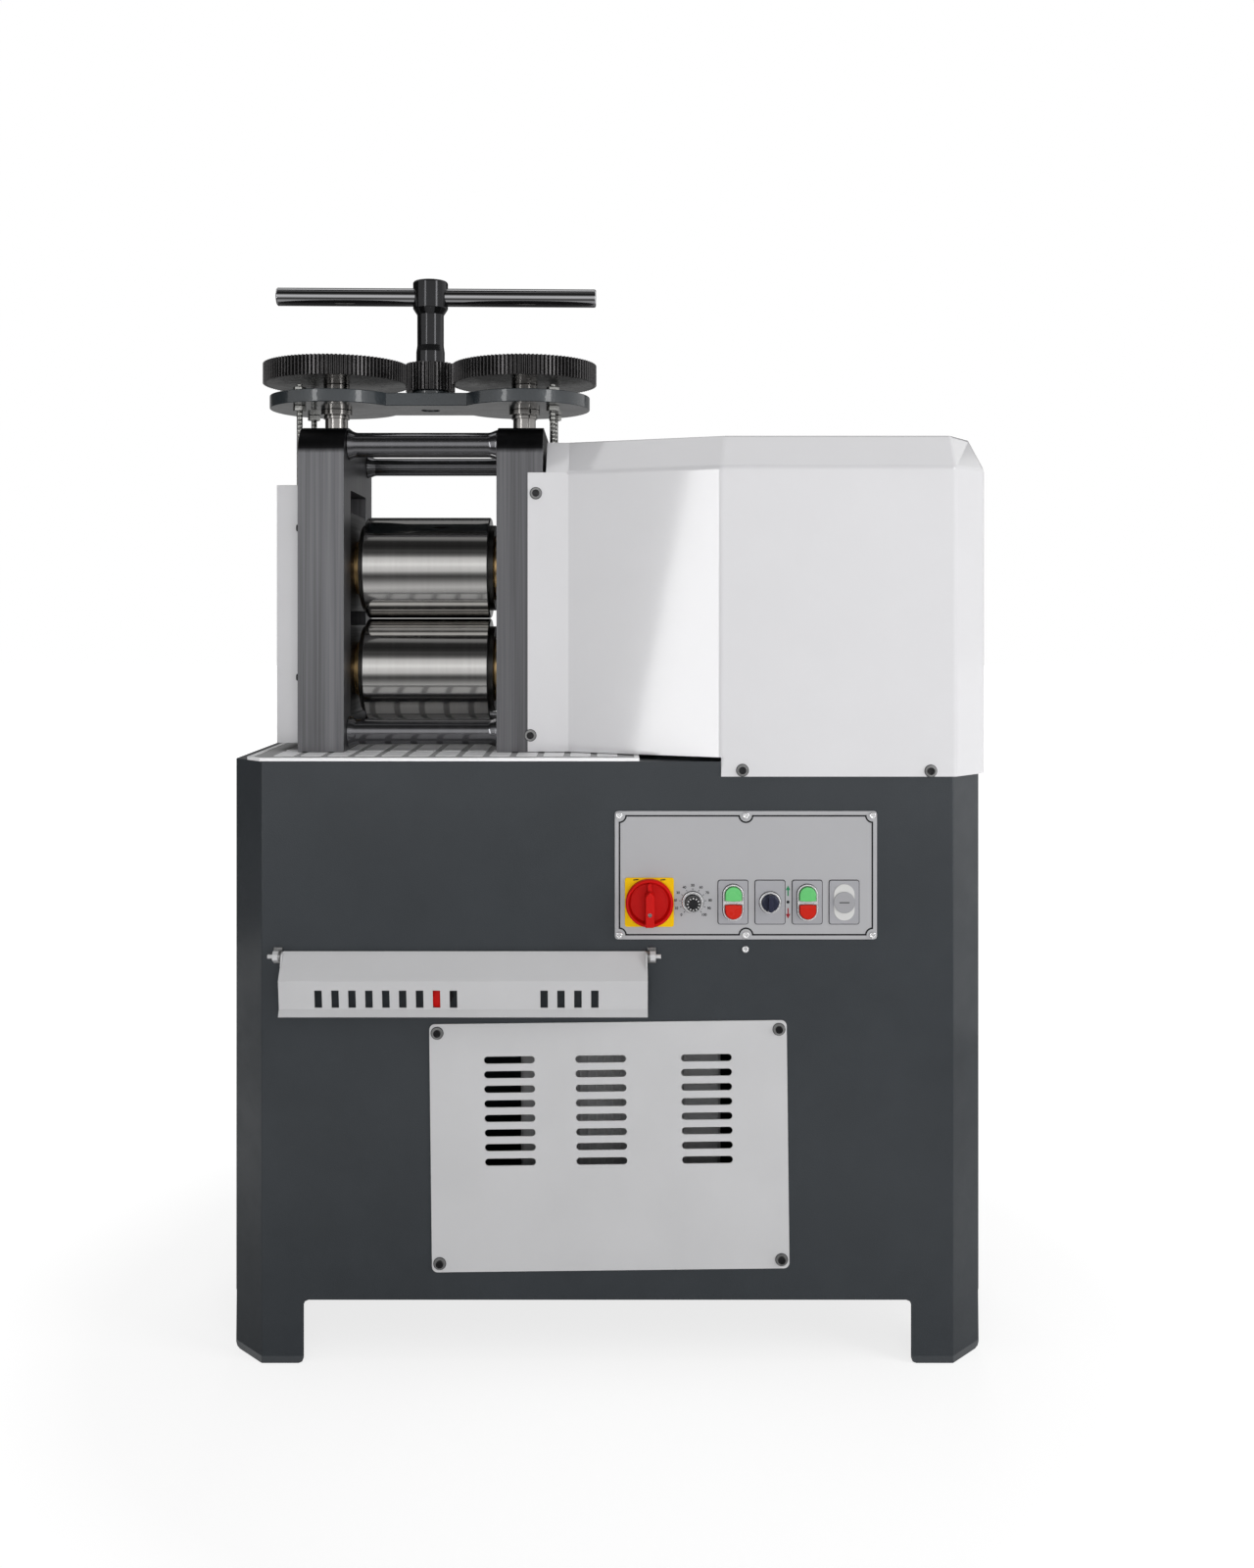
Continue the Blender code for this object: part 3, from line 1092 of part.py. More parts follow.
def cover_plan():
    """Return the front half of the gear cover's plan, at its walls and its top."""
    walls = [(COVER_FLANGE_X, COVER_FLANGE_Y), (COVER_STRIP_X, COVER_FLANGE_Y),
             (COVER_SLANT_X, COVER_FLANGE_Y), (COVER_BEND_X, COVER_FRONT_Y),
             (COVER_CORNER_X, COVER_FRONT_Y),
             (COVER_SIDE_X, COVER_FRONT_Y + COVER_CORNER_DEPTH)]
    top = [None, (COVER_STRIP_X, COVER_FLANGE_Y + COVER_STRIP_RUN),
           (COVER_SLANT_X, COVER_FLANGE_Y + COVER_STRIP_RUN),
           (COVER_BEND_X + COVER_TOP_BEND_SHIFT, COVER_FRONT_Y + COVER_STRIP_RUN),
           (COVER_CORNER_X + COVER_TOP_CORNER_SHIFT, COVER_FRONT_Y + COVER_STRIP_RUN),
           (COVER_SIDE_X - COVER_TOP_SIDE_INSET, COVER_FRONT_Y + COVER_TOP_SIDE_RUN)]
    return walls, top


def build_gear_cover(shop):
    """Bent-sheet hood over the roll gears, gearbox and motor, open to the left."""
    def both_halves(points):
        return points + [(p[0], CABINET_DEPTH - p[1]) if p else None
                         for p in reversed(points)]

    def at_height(points, z):
        return [(p[0], p[1], z) if p else None for p in points]

    walls, top = (both_halves(points) for points in cover_plan())
    skirt = [None] * 3 + walls[3:9] + [None] * 3
    rows = [at_height(skirt, COVER_SKIRT_Z), at_height(walls, COVER_BOTTOM_Z),
            at_height(walls, COVER_SHOULDER_Z), at_height(top, COVER_TOP_Z)]
    last = len(walls) - 1
    cover = sheet_from_rows("gear_cover", rows, [(3, 8), (0, last), (1, last - 1)], [3],
                            COVER_SHEET)
    rod_x = STAND_CENTRE_X + ROD_OFFSET
    reach = ROD_DEPTH_OFFSET + ROD_RADIUS + ROD_SLOT_MARGIN
    slot = box_between("rod_slot_cutter",
                       (COVER_STRIP_X - CUT_OVERRUN, STAND_Y - reach,
                        COVER_TOP_Z - CUT_OVERRUN),
                       (rod_x + ROD_RADIUS + ROD_SLOT_MARGIN, STAND_Y + reach,
                        COVER_TOP_Z + CUT_OVERRUN))
    shop.add(shop.cut(cover, slot), "white_paint")


def build_drive(shop, bottom_roll_pivot):
    """Coupling on the bottom roll, reduction gearbox and its flanged motor."""
    right = COUPLING_RIGHT_X - STAND_CENTRE_X
    left = COUPLING_LEFT_X - STAND_CENTRE_X
    stub_end = GEARBOX_FACE_X + COUPLING_STUB_LENGTH - STAND_CENTRE_X
    bore = SHAFT_END_RADIUS + FIT
    floor = left + COUPLING_BORE_DEPTH + FIT
    profile = [(0, stub_end), (COUPLING_STUB_RADIUS, stub_end),
               (COUPLING_STUB_RADIUS, right), (COUPLING_RADIUS, right),
               (COUPLING_RADIUS, left), (bore, left), (bore, floor), (0, floor)]
    shop.add(turned("drive_coupling", profile, (STAND_CENTRE_X, STAND_Y, BOTTOM_AXIS_Z),
                    "X", MEDIUM_ROUND), "blackened_steel", bottom_roll_pivot)
    floor_z = CABINET_HEIGHT + FIT
    top_z = BOTTOM_AXIS_Z + GEARBOX_ABOVE_AXIS
    body_x = GEARBOX_FACE_X + GEARBOX_BOSS_LENGTH + GEARBOX_LENGTH / 2
    outside = rectangle(GEARBOX_DEPTH, top_z - floor_z, GEARBOX_RADIUS)
    gearbox = outline_solid("gearbox", [outside], GEARBOX_LENGTH,
                            (body_x, STAND_Y, (floor_z + top_z) / 2), "X")
    foot = box_between("gearbox_foot_joiner",
                       (body_x - GEARBOX_LENGTH / 2, STAND_Y - GEARBOX_FOOT_DEPTH / 2,
                        floor_z),
                       (body_x + GEARBOX_LENGTH / 2, STAND_Y + GEARBOX_FOOT_DEPTH / 2,
                        floor_z + GEARBOX_FOOT_HEIGHT))
    boss = cylinder("gearbox_boss_joiner", GEARBOX_BOSS_RADIUS,
                    GEARBOX_BOSS_LENGTH + CUT_OVERRUN,
                    (GEARBOX_FACE_X + (GEARBOX_BOSS_LENGTH + CUT_OVERRUN) / 2, STAND_Y,
                     BOTTOM_AXIS_Z), "X")
    shaft_bore = cylinder("gearbox_bore_cutter", COUPLING_STUB_RADIUS + FIT,
                          2 * (COUPLING_STUB_LENGTH + FIT),
                          (GEARBOX_FACE_X, STAND_Y, BOTTOM_AXIS_Z), "X", SMALL_ROUND)
    shop.cut(shop.join(gearbox, foot, boss), shaft_bore)
    shop.add(gearbox, "motor_paint")
    build_motor(shop)


def motor_outline():
    """Return the section of the motor: a round body with square cooling fins."""
    loop = []
    pitch = 2 * math.pi / MOTOR_FINS
    half_fin = pitch * MOTOR_FIN_SHARE / 2
    for fin in range(MOTOR_FINS):
        middle = fin * pitch
        for radius, angle in ((MOTOR_RADIUS, middle - half_fin),
                              (MOTOR_RADIUS + MOTOR_FIN_HEIGHT, middle - half_fin),
                              (MOTOR_RADIUS + MOTOR_FIN_HEIGHT, middle + half_fin),
                              (MOTOR_RADIUS, middle + half_fin)):
            loop.append((radius * math.cos(angle), radius * math.sin(angle)))
    return loop


def build_motor(shop):
    """Finned motor on the gearbox, with a fan cowl and a terminal box."""
    start = MOTOR_LEFT_X + FIT
    motor = outline_solid("drive_motor", [motor_outline()], MOTOR_LENGTH,
                          (start + MOTOR_LENGTH / 2, STAND_Y, BOTTOM_AXIS_Z), "X")
    cowl_x = start + MOTOR_LENGTH + (MOTOR_COWL_LENGTH - CUT_OVERRUN) / 2
    cowl = cylinder("motor_cowl_joiner", MOTOR_COWL_RADIUS,
                    MOTOR_COWL_LENGTH + CUT_OVERRUN, (cowl_x, STAND_Y, BOTTOM_AXIS_Z), "X")
    box_x = start + MOTOR_LENGTH / 2
    box_low = BOTTOM_AXIS_Z + MOTOR_RADIUS - CUT_OVERRUN
    terminal = box_between("terminal_box_joiner",
                           (box_x - TERMINAL_BOX_LENGTH / 2,
                            STAND_Y - TERMINAL_BOX_DEPTH / 2, box_low),
                           (box_x + TERMINAL_BOX_LENGTH / 2,
                            STAND_Y + TERMINAL_BOX_DEPTH / 2,
                            BOTTOM_AXIS_Z + MOTOR_RADIUS + TERMINAL_BOX_RISE))
    shop.add(shop.join(motor, cowl, terminal), "motor_paint")


def build_inverter(shop):
    """Electrical drive box that stands on the shelf behind the vent cover."""
    box = block("inverter_box", (INVERTER_WIDTH, INVERTER_DEPTH, INVERTER_HEIGHT),
                (INVERTER_X, CABINET_DEPTH / 2, SHELF_TOP_Z + FIT + INVERTER_HEIGHT / 2))
    shop.add(soften(box, INVERTER_EDGE, 1), "motor_paint")


def build_control_panel(shop):
    """Printed panel plate with a hole for each control."""
    centre_x = PANEL_LEFT_X + PANEL_WIDTH / 2
    centre_z = PANEL_BOTTOM_Z + PANEL_HEIGHT / 2
    row = CONTROL_ROW_Z - centre_z
    loops = [rectangle(PANEL_WIDTH, PANEL_HEIGHT, PANEL_CORNER_RADIUS)]
    for x, radius in ((MAIN_SWITCH_X, UNIT_NECK_RADIUS), (DIAL_X, DIAL_BUSH_RADIUS),
                      *((x, UNIT_NECK_RADIUS) for x in UNIT_XS)):
        loops.append(circle(radius + FIT, TINY_ROUND, (x - centre_x, row)))
    panel = outline_solid("control_panel", loops, PANEL_SHEET,
                          (centre_x, PANEL_BACK_Y - PANEL_SHEET / 2, centre_z), "Y")
    shop.add(panel, "panel_film")


def neck_and_body(name, x, neck_radius, size, depth):
    """Return the neck through the panel and the contact block behind it."""
    width, height = size
    neck_back = PANEL_BACK_Y + FIT
    neck_length = neck_back - UNIT_BACK_Y + 2 * PANEL_SHEET
    neck = cylinder(name + "_neck_joiner", neck_radius, neck_length,
                    (x, (neck_back + UNIT_BACK_Y) / 2, CONTROL_ROW_Z), "Y", TINY_ROUND)
    body = box_between(name + "_body_joiner",
                       (x - width / 2, neck_back, CONTROL_ROW_Z - height / 2),
                       (x + width / 2, neck_back + depth, CONTROL_ROW_Z + height / 2))
    return neck, body


def build_main_switch(shop):
    """Rotary main switch: yellow plate with its body, and the red handle."""
    thickness = MAIN_SWITCH_PLATE_THICKNESS
    base = outline_solid("main_switch_base",
                         [rectangle(MAIN_SWITCH_PLATE, MAIN_SWITCH_PLATE,
                                    LEGEND_CORNER_RADIUS)],
                         thickness, (MAIN_SWITCH_X, UNIT_BACK_Y - thickness / 2,
                                     CONTROL_ROW_Z), "Y")
    shop.join(base, *neck_and_body("main_switch", MAIN_SWITCH_X, UNIT_NECK_RADIUS,
                                   (MAIN_SWITCH_BODY, MAIN_SWITCH_BODY),
                                   MAIN_SWITCH_BODY_DEPTH))
    shaft_hole = cylinder("switch_shaft_cutter", MAIN_SWITCH_SHAFT_RADIUS + FIT,
                          2 * (MAIN_SWITCH_SHAFT_LENGTH + CUT_OVERRUN),
                          (MAIN_SWITCH_X, UNIT_BACK_Y, CONTROL_ROW_Z), "Y", TINY_ROUND)
    shop.add(shop.cut(base, shaft_hole), "yellow_plastic")
    spot = shop.pivot("main_switch_pivot", (MAIN_SWITCH_X, SWITCH_HANDLE_BACK_Y,
                                            CONTROL_ROW_Z))
    front = -SWITCH_RIM_FRONT_Y
    back = -SWITCH_HANDLE_BACK_Y
    dish = front - MAIN_SWITCH_DISH_DEPTH
    shaft_end = back - MAIN_SWITCH_SHAFT_LENGTH
    profile = [(0, dish), (MAIN_SWITCH_DISH_RADIUS, dish),
               (MAIN_SWITCH_DISH_RADIUS + MAIN_SWITCH_GRIP_EDGE, front),
               (MAIN_SWITCH_RADIUS, front), (MAIN_SWITCH_RADIUS, back),
               (MAIN_SWITCH_SHAFT_RADIUS, back), (MAIN_SWITCH_SHAFT_RADIUS, shaft_end),
               (0, shaft_end)]
    handle = turned("main_switch_handle", profile, (MAIN_SWITCH_X, 0, CONTROL_ROW_Z), "Y",
                    MEDIUM_ROUND)
    grip_low, grip_high = SWITCH_GRIP_FRONT_Y, -dish + MAIN_SWITCH_GRIP_EDGE
    grip = outline_solid("switch_grip_joiner",
                         [rectangle(MAIN_SWITCH_GRIP_WIDTH, MAIN_SWITCH_GRIP_LENGTH,
                                    MAIN_SWITCH_GRIP_EDGE)],
                         grip_high - grip_low,
                         (MAIN_SWITCH_X, (grip_low + grip_high) / 2, CONTROL_ROW_Z), "Y")
    shop.add(shop.join(handle, grip), "red_plastic", spot)


def build_speed_dial(shop):
    """Speed potentiometer: plain ring with its body, and the fluted knob."""
    front = UNIT_BACK_Y - DIAL_RING_HEIGHT
    ring = cylinder("speed_dial_ring", DIAL_RING_RADIUS, DIAL_RING_HEIGHT,
                    (DIAL_X, (front + UNIT_BACK_Y) / 2, CONTROL_ROW_Z), "Y", MEDIUM_ROUND)
    neck_back = PANEL_BACK_Y + FIT
    neck_length = neck_back - front + 2 * PANEL_SHEET
    neck = cylinder("dial_neck_joiner", DIAL_BUSH_RADIUS, neck_length - DIAL_RING_HEIGHT,
                    (DIAL_X, (neck_back + UNIT_BACK_Y) / 2, CONTROL_ROW_Z), "Y", TINY_ROUND)
    body = cylinder("dial_body_joiner", DIAL_BODY_RADIUS, DIAL_BODY_DEPTH,
                    (DIAL_X, neck_back + DIAL_BODY_DEPTH / 2, CONTROL_ROW_Z), "Y",
                    TINY_ROUND)
    hole = cylinder("dial_shaft_cutter", DIAL_SHAFT_RADIUS + FIT,
                    2 * (DIAL_RING_HEIGHT + CUT_OVERRUN),
                    (DIAL_X, UNIT_BACK_Y, CONTROL_ROW_Z), "Y", TINY_ROUND)
    shop.add(shop.cut(shop.join(ring, neck, body), hole), "chrome")
    spot = shop.pivot("speed_knob_pivot", (DIAL_X, front - FIT, CONTROL_ROW_Z))
    points = []
    for i in range(2 * DIAL_FLUTES):
        radius = DIAL_KNOB_RADIUS - DIAL_FLUTE_DEPTH * (i % 2)
        angle = math.pi / 2 + math.pi * i / DIAL_FLUTES
        points.append((radius * math.cos(angle), radius * math.sin(angle)))
    knob = outline_solid("speed_knob", [points], DIAL_KNOB_HEIGHT,
                         (DIAL_X, front - FIT - DIAL_KNOB_HEIGHT / 2, CONTROL_ROW_Z), "Y")
    shaft_length = DIAL_RING_HEIGHT + PANEL_SHEET
    shaft = cylinder("dial_shaft_joiner", DIAL_SHAFT_RADIUS, 2 * shaft_length,
                     (DIAL_X, front, CONTROL_ROW_Z), "Y", TINY_ROUND)
    shop.add(shop.join(knob, shaft), "black_plastic", spot)


def control_unit(shop, name, x, bezel_loop, rise):
    """Return a legend plate with a raised bezel, its neck and contact block."""
    legend = outline_solid(name, [rectangle(LEGEND_WIDTH, LEGEND_HEIGHT,
                                            LEGEND_CORNER_RADIUS)],
                           LEGEND_THICKNESS,
                           (x, UNIT_BACK_Y - LEGEND_THICKNESS / 2, CONTROL_ROW_Z), "Y")
    thickness = rise + LEGEND_THICKNESS / 2
    front = LEGEND_FRONT_Y - rise
    bezel = outline_solid(name + "_bezel_joiner", [bezel_loop], thickness,
                          (x, front + thickness / 2, CONTROL_ROW_Z), "Y")
    shop.join(legend, bezel,
              *neck_and_body(name, x, UNIT_NECK_RADIUS, (UNIT_BODY_WIDTH, UNIT_BODY_HEIGHT),
                             UNIT_BODY_DEPTH))
    return legend


def stadium(width, height):
    """Return the closed loop of an upright oval with round ends."""
    return rectangle(width, height, width * FULL_ROUND_SHARE, steps=ARC_STEPS + 1)


def lens_outline(upper):
    """Return the outline of the upper or lower push-button of a double unit."""
    width = BEZEL_WIDTH - 2 * BEZEL_LIP - 2 * FIT
    height = BEZEL_HEIGHT - 2 * BEZEL_LIP - 2 * FIT
    radius = width / 2
    loop = arc((0, height / 2 - radius), radius, 0, math.pi, 2 * (ARC_STEPS + 1))
    loop += [(-radius, BUTTON_SPLIT / 2), (radius, BUTTON_SPLIT / 2)]
    return loop if upper else [(-x, -y) for x, y in loop]


def build_double_button(shop, name, x):
    """Double push-button: a chrome oval with a green and a red lens."""
    unit = control_unit(shop, name + "_button_unit", x, stadium(BEZEL_WIDTH, BEZEL_HEIGHT),
                        BEZEL_RISE)
    pocket = outline_solid(name + "_pocket_cutter",
                           [stadium(BEZEL_WIDTH - 2 * BEZEL_LIP,
                                    BEZEL_HEIGHT - 2 * BEZEL_LIP)],
                           2 * BEZEL_POCKET_DEPTH, (x, BEZEL_FRONT_Y, CONTROL_ROW_Z), "Y")
    shop.add(shop.cut(unit, pocket), "chrome")
    back = POCKET_FLOOR_Y - BUTTON_STROKE - FIT
    for label, upper, finish_name in (("start", True, "green_lens"),
                                      ("stop", False, "red_plastic")):
        lens = outline_solid(name + "_" + label + "_button", [lens_outline(upper)],
                             BUTTON_THICKNESS, (x, back - BUTTON_THICKNESS / 2,
                                                CONTROL_ROW_Z), "Y")
        shop.add(lens, finish_name)


def build_selector(shop, x):
    """Rotary direction selector in a chrome ring."""
    unit = control_unit(shop, "selector_unit", x, circle(SELECTOR_RADIUS), BEZEL_RISE)
    pocket_radius = SELECTOR_RADIUS - BEZEL_LIP
    shop.cut(unit, cylinder("selector_pocket_cutter", pocket_radius,
                            2 * BEZEL_POCKET_DEPTH, (x, BEZEL_FRONT_Y, CONTROL_ROW_Z), "Y"))
    shop.add(unit, "chrome")
    spot = shop.pivot("selector_pivot", (x, BEZEL_FRONT_Y, CONTROL_ROW_Z))
    back = POCKET_FLOOR_Y - FIT
    radius = pocket_radius - FIT
    knob = cylinder("selector_knob", radius, SELECTOR_KNOB_BASE,
                    (x, back - SELECTOR_KNOB_BASE / 2, CONTROL_ROW_Z), "Y")
    grip_length = SELECTOR_GRIP_RISE + SELECTOR_KNOB_BASE / 2
    front = back - SELECTOR_KNOB_BASE - SELECTOR_GRIP_RISE
    grip = outline_solid("selector_grip_joiner",
                         [rectangle(SELECTOR_GRIP_WIDTH,
                                    2 * radius - SELECTOR_GRIP_EDGE, SELECTOR_GRIP_EDGE)],
                         grip_length, (x, front + grip_length / 2, CONTROL_ROW_Z), "Y")
    shop.add(shop.join(knob, grip), "black_plastic", spot)


def build_blank_plug(shop, x):
    """Blanking plug in the last hole of the control row."""
    unit = control_unit(shop, "blank_plug_unit", x, stadium(BEZEL_WIDTH, BEZEL_HEIGHT),
                        PLUG_OVAL_RISE)
    thickness = PLUG_RISE + LEGEND_THICKNESS / 2
    disc = cylinder("plug_disc_joiner", SELECTOR_RADIUS, thickness,
                    (x, LEGEND_FRONT_Y - PLUG_RISE + thickness / 2, CONTROL_ROW_Z), "Y")
    shop.add(shop.join(unit, disc), "panel_film")


def bar_profile():
    """Return the stop bar's bent section as (reach behind the face, height)."""
    return [(-BAR_TOP_REACH, BAR_TOP_Z), (-BAR_BROW_REACH, BAR_BROW_Z),
            (-BAR_WAIST_REACH, BAR_WAIST_Z), (-BAR_LIP_REACH, BAR_LIP_Z)]


def ear_outline(radius):
    """Return a stop bar ear in (reach, height): a triangle round its hinge stud."""
    low_z = BAR_TOP_Z - EAR_HEIGHT
    slope = (BAR_BROW_REACH - BAR_TOP_REACH) / (BAR_TOP_Z - BAR_BROW_Z)
    low_reach = BAR_TOP_REACH + slope * EAR_HEIGHT - BAR_SHEET / 2
    return [(-BAR_TOP_REACH, low_z), (-low_reach, low_z),
            *arc((-BAR_HINGE_REACH, BAR_HINGE_Z), radius, math.pi, math.pi / 2, ARC_STEPS),
            (-BAR_TOP_REACH, BAR_HINGE_Z + radius)]


def build_stop_bar(shop):
    """Hinged stop bar: bent sheet with slits, and an ear and stud at each end."""
    spot = shop.pivot("stop_bar_pivot", (BAR_LEFT_X, -BAR_HINGE_REACH, BAR_HINGE_Z))
    bar = extruded_sheet("stop_bar", bar_profile(), BAR_LEFT_X, BAR_RIGHT_X, "X", BAR_SHEET)
    for label, end_x, outward in (("left", BAR_LEFT_X, -1), ("right", BAR_RIGHT_X, 1)):
        ear_x = end_x - outward * (FIT + BAR_SHEET / 2)
        nut_x = end_x + outward * (BRACKET_SHEET + 2 * FIT + HINGE_NUT_HEIGHT / 2)
        stud_length = HINGE_STUD_REACH + BAR_SHEET
        stud_x = end_x + outward * (HINGE_STUD_REACH - stud_length / 2)
        hinge = (-BAR_HINGE_REACH, BAR_HINGE_Z)
        shop.join(bar,
                  outline_solid(label + "_ear_joiner", [ear_outline(EAR_RADIUS)], BAR_SHEET,
                                (ear_x, 0, 0), "X"),
                  cylinder(label + "_stud_joiner", HINGE_STUD_RADIUS, stud_length,
                           (stud_x, *hinge), "X", TINY_ROUND),
                  hex_prism(label + "_nut_joiner", HINGE_NUT_WIDTH, HINGE_NUT_HEIGHT,
                            (nut_x, *hinge), "X"))
    for first, count in ((SLIT_FIRST_X, SLIT_COUNT),
                         (SECOND_SLIT_FIRST_X, SECOND_SLIT_COUNT)):
        for i in range(count):
            slit = rectangle(SLIT_WIDTH, SLIT_HEIGHT)
            shop.cut(bar, outline_solid("slit_cutter", [slit], 2 * BAR_LIP_REACH,
                                        (first + i * SLIT_PITCH, -BAR_LIP_REACH, SLIT_Z),
                                        "Y"))
    shop.add(bar, "white_paint", spot)


def build_hinge_brackets(shop):
    """A bracket on the cabinet at each end of the stop bar, bored for its stud."""
    for label, end_x, outward in (("left", BAR_LEFT_X, -1), ("right", BAR_RIGHT_X, 1)):
        tab_x = end_x + outward * (FIT + BRACKET_SHEET / 2)
        tab = arc((-BAR_HINGE_REACH, BAR_HINGE_Z), BRACKET_RADIUS, 1.5 * math.pi,
                  0.5 * math.pi, 2 * FINE_ARC_STEPS)
        tab += [(-FIT, BAR_HINGE_Z + BRACKET_RADIUS), (-FIT, BAR_HINGE_Z - BRACKET_RADIUS)]
        bracket = outline_solid(label + "_hinge_bracket",
                                [tab, circle(HINGE_STUD_RADIUS + FIT, TINY_ROUND,
                                             (-BAR_HINGE_REACH, BAR_HINGE_Z))],
                                BRACKET_SHEET, (tab_x, 0, 0), "X")
        inner_x = end_x + outward * FIT
        outer_x = inner_x + outward * BRACKET_FOOT_WIDTH
        foot = box_between(label + "_foot_joiner",
                           (min(inner_x, outer_x), -FIT - BRACKET_SHEET,
                            BAR_HINGE_Z - BRACKET_FOOT_HEIGHT / 2),
                           (max(inner_x, outer_x), -FIT,
                            BAR_HINGE_Z + BRACKET_FOOT_HEIGHT / 2))
        shop.add(shop.join(bracket, foot), "zinc")


def build_stop_switch(shop):
    """Stop switch in the cabinet front, with the plunger that the bar presses."""
    collar = cylinder("stop_switch", STOP_SWITCH_COLLAR_RADIUS, STOP_SWITCH_COLLAR_REACH,
                      (STOP_SWITCH_X, -FIT - STOP_SWITCH_COLLAR_REACH / 2, STOP_SWITCH_Z),
                      "Y", SMALL_ROUND)
    behind = CABINET_SHEET + FIT
    neck_length = behind + STOP_SWITCH_COLLAR_REACH
    neck = cylinder("stop_neck_joiner", STOP_SWITCH_NECK_RADIUS, neck_length,
                    (STOP_SWITCH_X, behind + CUT_OVERRUN / 2 - neck_length / 2,
                     STOP_SWITCH_Z), "Y", TINY_ROUND)
    body = box_between("stop_body_joiner",
                       (STOP_SWITCH_X - STOP_SWITCH_BODY / 2, behind,
                        STOP_SWITCH_Z - STOP_SWITCH_BODY / 2),
                       (STOP_SWITCH_X + STOP_SWITCH_BODY / 2,
                        behind + STOP_SWITCH_BODY_DEPTH,
                        STOP_SWITCH_Z + STOP_SWITCH_BODY / 2))
    bore_depth = STOP_PLUNGER_STEM_LENGTH + BUTTON_STROKE + CUT_OVERRUN
    bore = cylinder("stop_bore_cutter", STOP_PLUNGER_STEM_RADIUS + FIT, 2 * bore_depth,
                    (STOP_SWITCH_X, -FIT - STOP_SWITCH_COLLAR_REACH, STOP_SWITCH_Z),
                    "Y", TINY_ROUND)
    shop.add(shop.cut(shop.join(collar, neck, body), bore), "black_plastic")
    spot = shop.pivot("stop_plunger_pivot", (STOP_SWITCH_X, -FIT - STOP_SWITCH_COLLAR_REACH,
                                             STOP_SWITCH_Z))
    front = BAR_WAIST_REACH - BAR_SHEET - STOP_PLUNGER_GAP
    cap_back = front - STOP_PLUNGER_CAP
    stem_end = STOP_SWITCH_COLLAR_REACH - STOP_PLUNGER_STEM_LENGTH
    edge = STOP_PLUNGER_EDGE
    profile = [(0, front), (STOP_PLUNGER_RADIUS - edge, front),
               (STOP_PLUNGER_RADIUS, front - edge), (STOP_PLUNGER_RADIUS, cap_back),
               (STOP_PLUNGER_STEM_RADIUS, cap_back), (STOP_PLUNGER_STEM_RADIUS, stem_end),
               (0, stem_end)]
    shop.add(turned("stop_plunger", profile, (STOP_SWITCH_X, 0, STOP_SWITCH_Z), "Y",
                    TINY_ROUND), "red_plastic", spot)


def build_mill():
    """Build every sub-part of the mill."""
    clear_scene()
    shop = Workshop()
    build_cabinet(shop)
    build_tray(shop)
    build_vent_cover(shop)
    build_housing(shop, "left_housing", LEFT_HOUSING_X)
    build_housing(shop, "right_housing", RIGHT_HOUSING_X)
    build_tie_bars(shop)
    bottom_roll_pivot = build_lower_roll_group(shop)
    carriage = shop.pivot("carriage_pivot", (STAND_CENTRE_X, STAND_Y, BRIDGE_BOTTOM_Z))
    build_upper_roll_group(shop, carriage)
    build_bridge_plate(shop, carriage)
    build_lift_rods(shop, carriage)
    build_screw(shop, "left", -1, carriage)
    build_screw(shop, "right", 1, carriage)
    build_handle(shop, carriage)
    build_left_guard(shop)
    build_gear_cover(shop)
    build_drive(shop, bottom_roll_pivot)
    build_inverter(shop)
    build_control_panel(shop)
    build_main_switch(shop)
    build_speed_dial(shop)
    build_double_button(shop, "left", UNIT_XS[0])
    build_selector(shop, UNIT_XS[1])
    build_double_button(shop, "right", UNIT_XS[2])
    build_blank_plug(shop, UNIT_XS[3])
    build_stop_bar(shop)
    build_hinge_brackets(shop)
    build_stop_switch(shop)


build_mill()
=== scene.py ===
"""Looks of a motor-driven jewellers' rolling mill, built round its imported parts.

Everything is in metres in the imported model's frame: +X to the operator's right, +Y
away from the operator, +Z up, with the origin on the floor under the mill.
"""

import logging
import math
from collections.abc import Iterable, Sequence
from dataclasses import dataclass, field
from enum import Enum

import bmesh
import bpy
from mathutils import Matrix, Vector


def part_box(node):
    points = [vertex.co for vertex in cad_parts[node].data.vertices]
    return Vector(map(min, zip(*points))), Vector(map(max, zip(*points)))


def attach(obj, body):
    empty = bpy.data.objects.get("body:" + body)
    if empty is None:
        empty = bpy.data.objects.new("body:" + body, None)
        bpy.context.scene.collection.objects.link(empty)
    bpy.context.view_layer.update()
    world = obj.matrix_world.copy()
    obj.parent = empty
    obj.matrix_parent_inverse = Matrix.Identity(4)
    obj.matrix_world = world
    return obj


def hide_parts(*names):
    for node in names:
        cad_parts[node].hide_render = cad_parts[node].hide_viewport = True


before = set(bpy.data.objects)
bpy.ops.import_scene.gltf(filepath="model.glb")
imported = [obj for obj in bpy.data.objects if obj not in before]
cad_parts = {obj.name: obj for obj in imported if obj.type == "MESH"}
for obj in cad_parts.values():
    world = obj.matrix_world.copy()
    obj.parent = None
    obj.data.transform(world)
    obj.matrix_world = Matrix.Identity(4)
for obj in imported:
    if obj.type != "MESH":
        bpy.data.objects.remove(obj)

LOG = logging.getLogger("rolling_mill")

Point = tuple[float, float, float]
Flat = tuple[float, float]
Colour = tuple[float, float, float]
Item = bpy.types.Object
Mesh = bpy.types.Mesh
Shape = bmesh.types.BMesh
Socket = bpy.types.NodeSocket

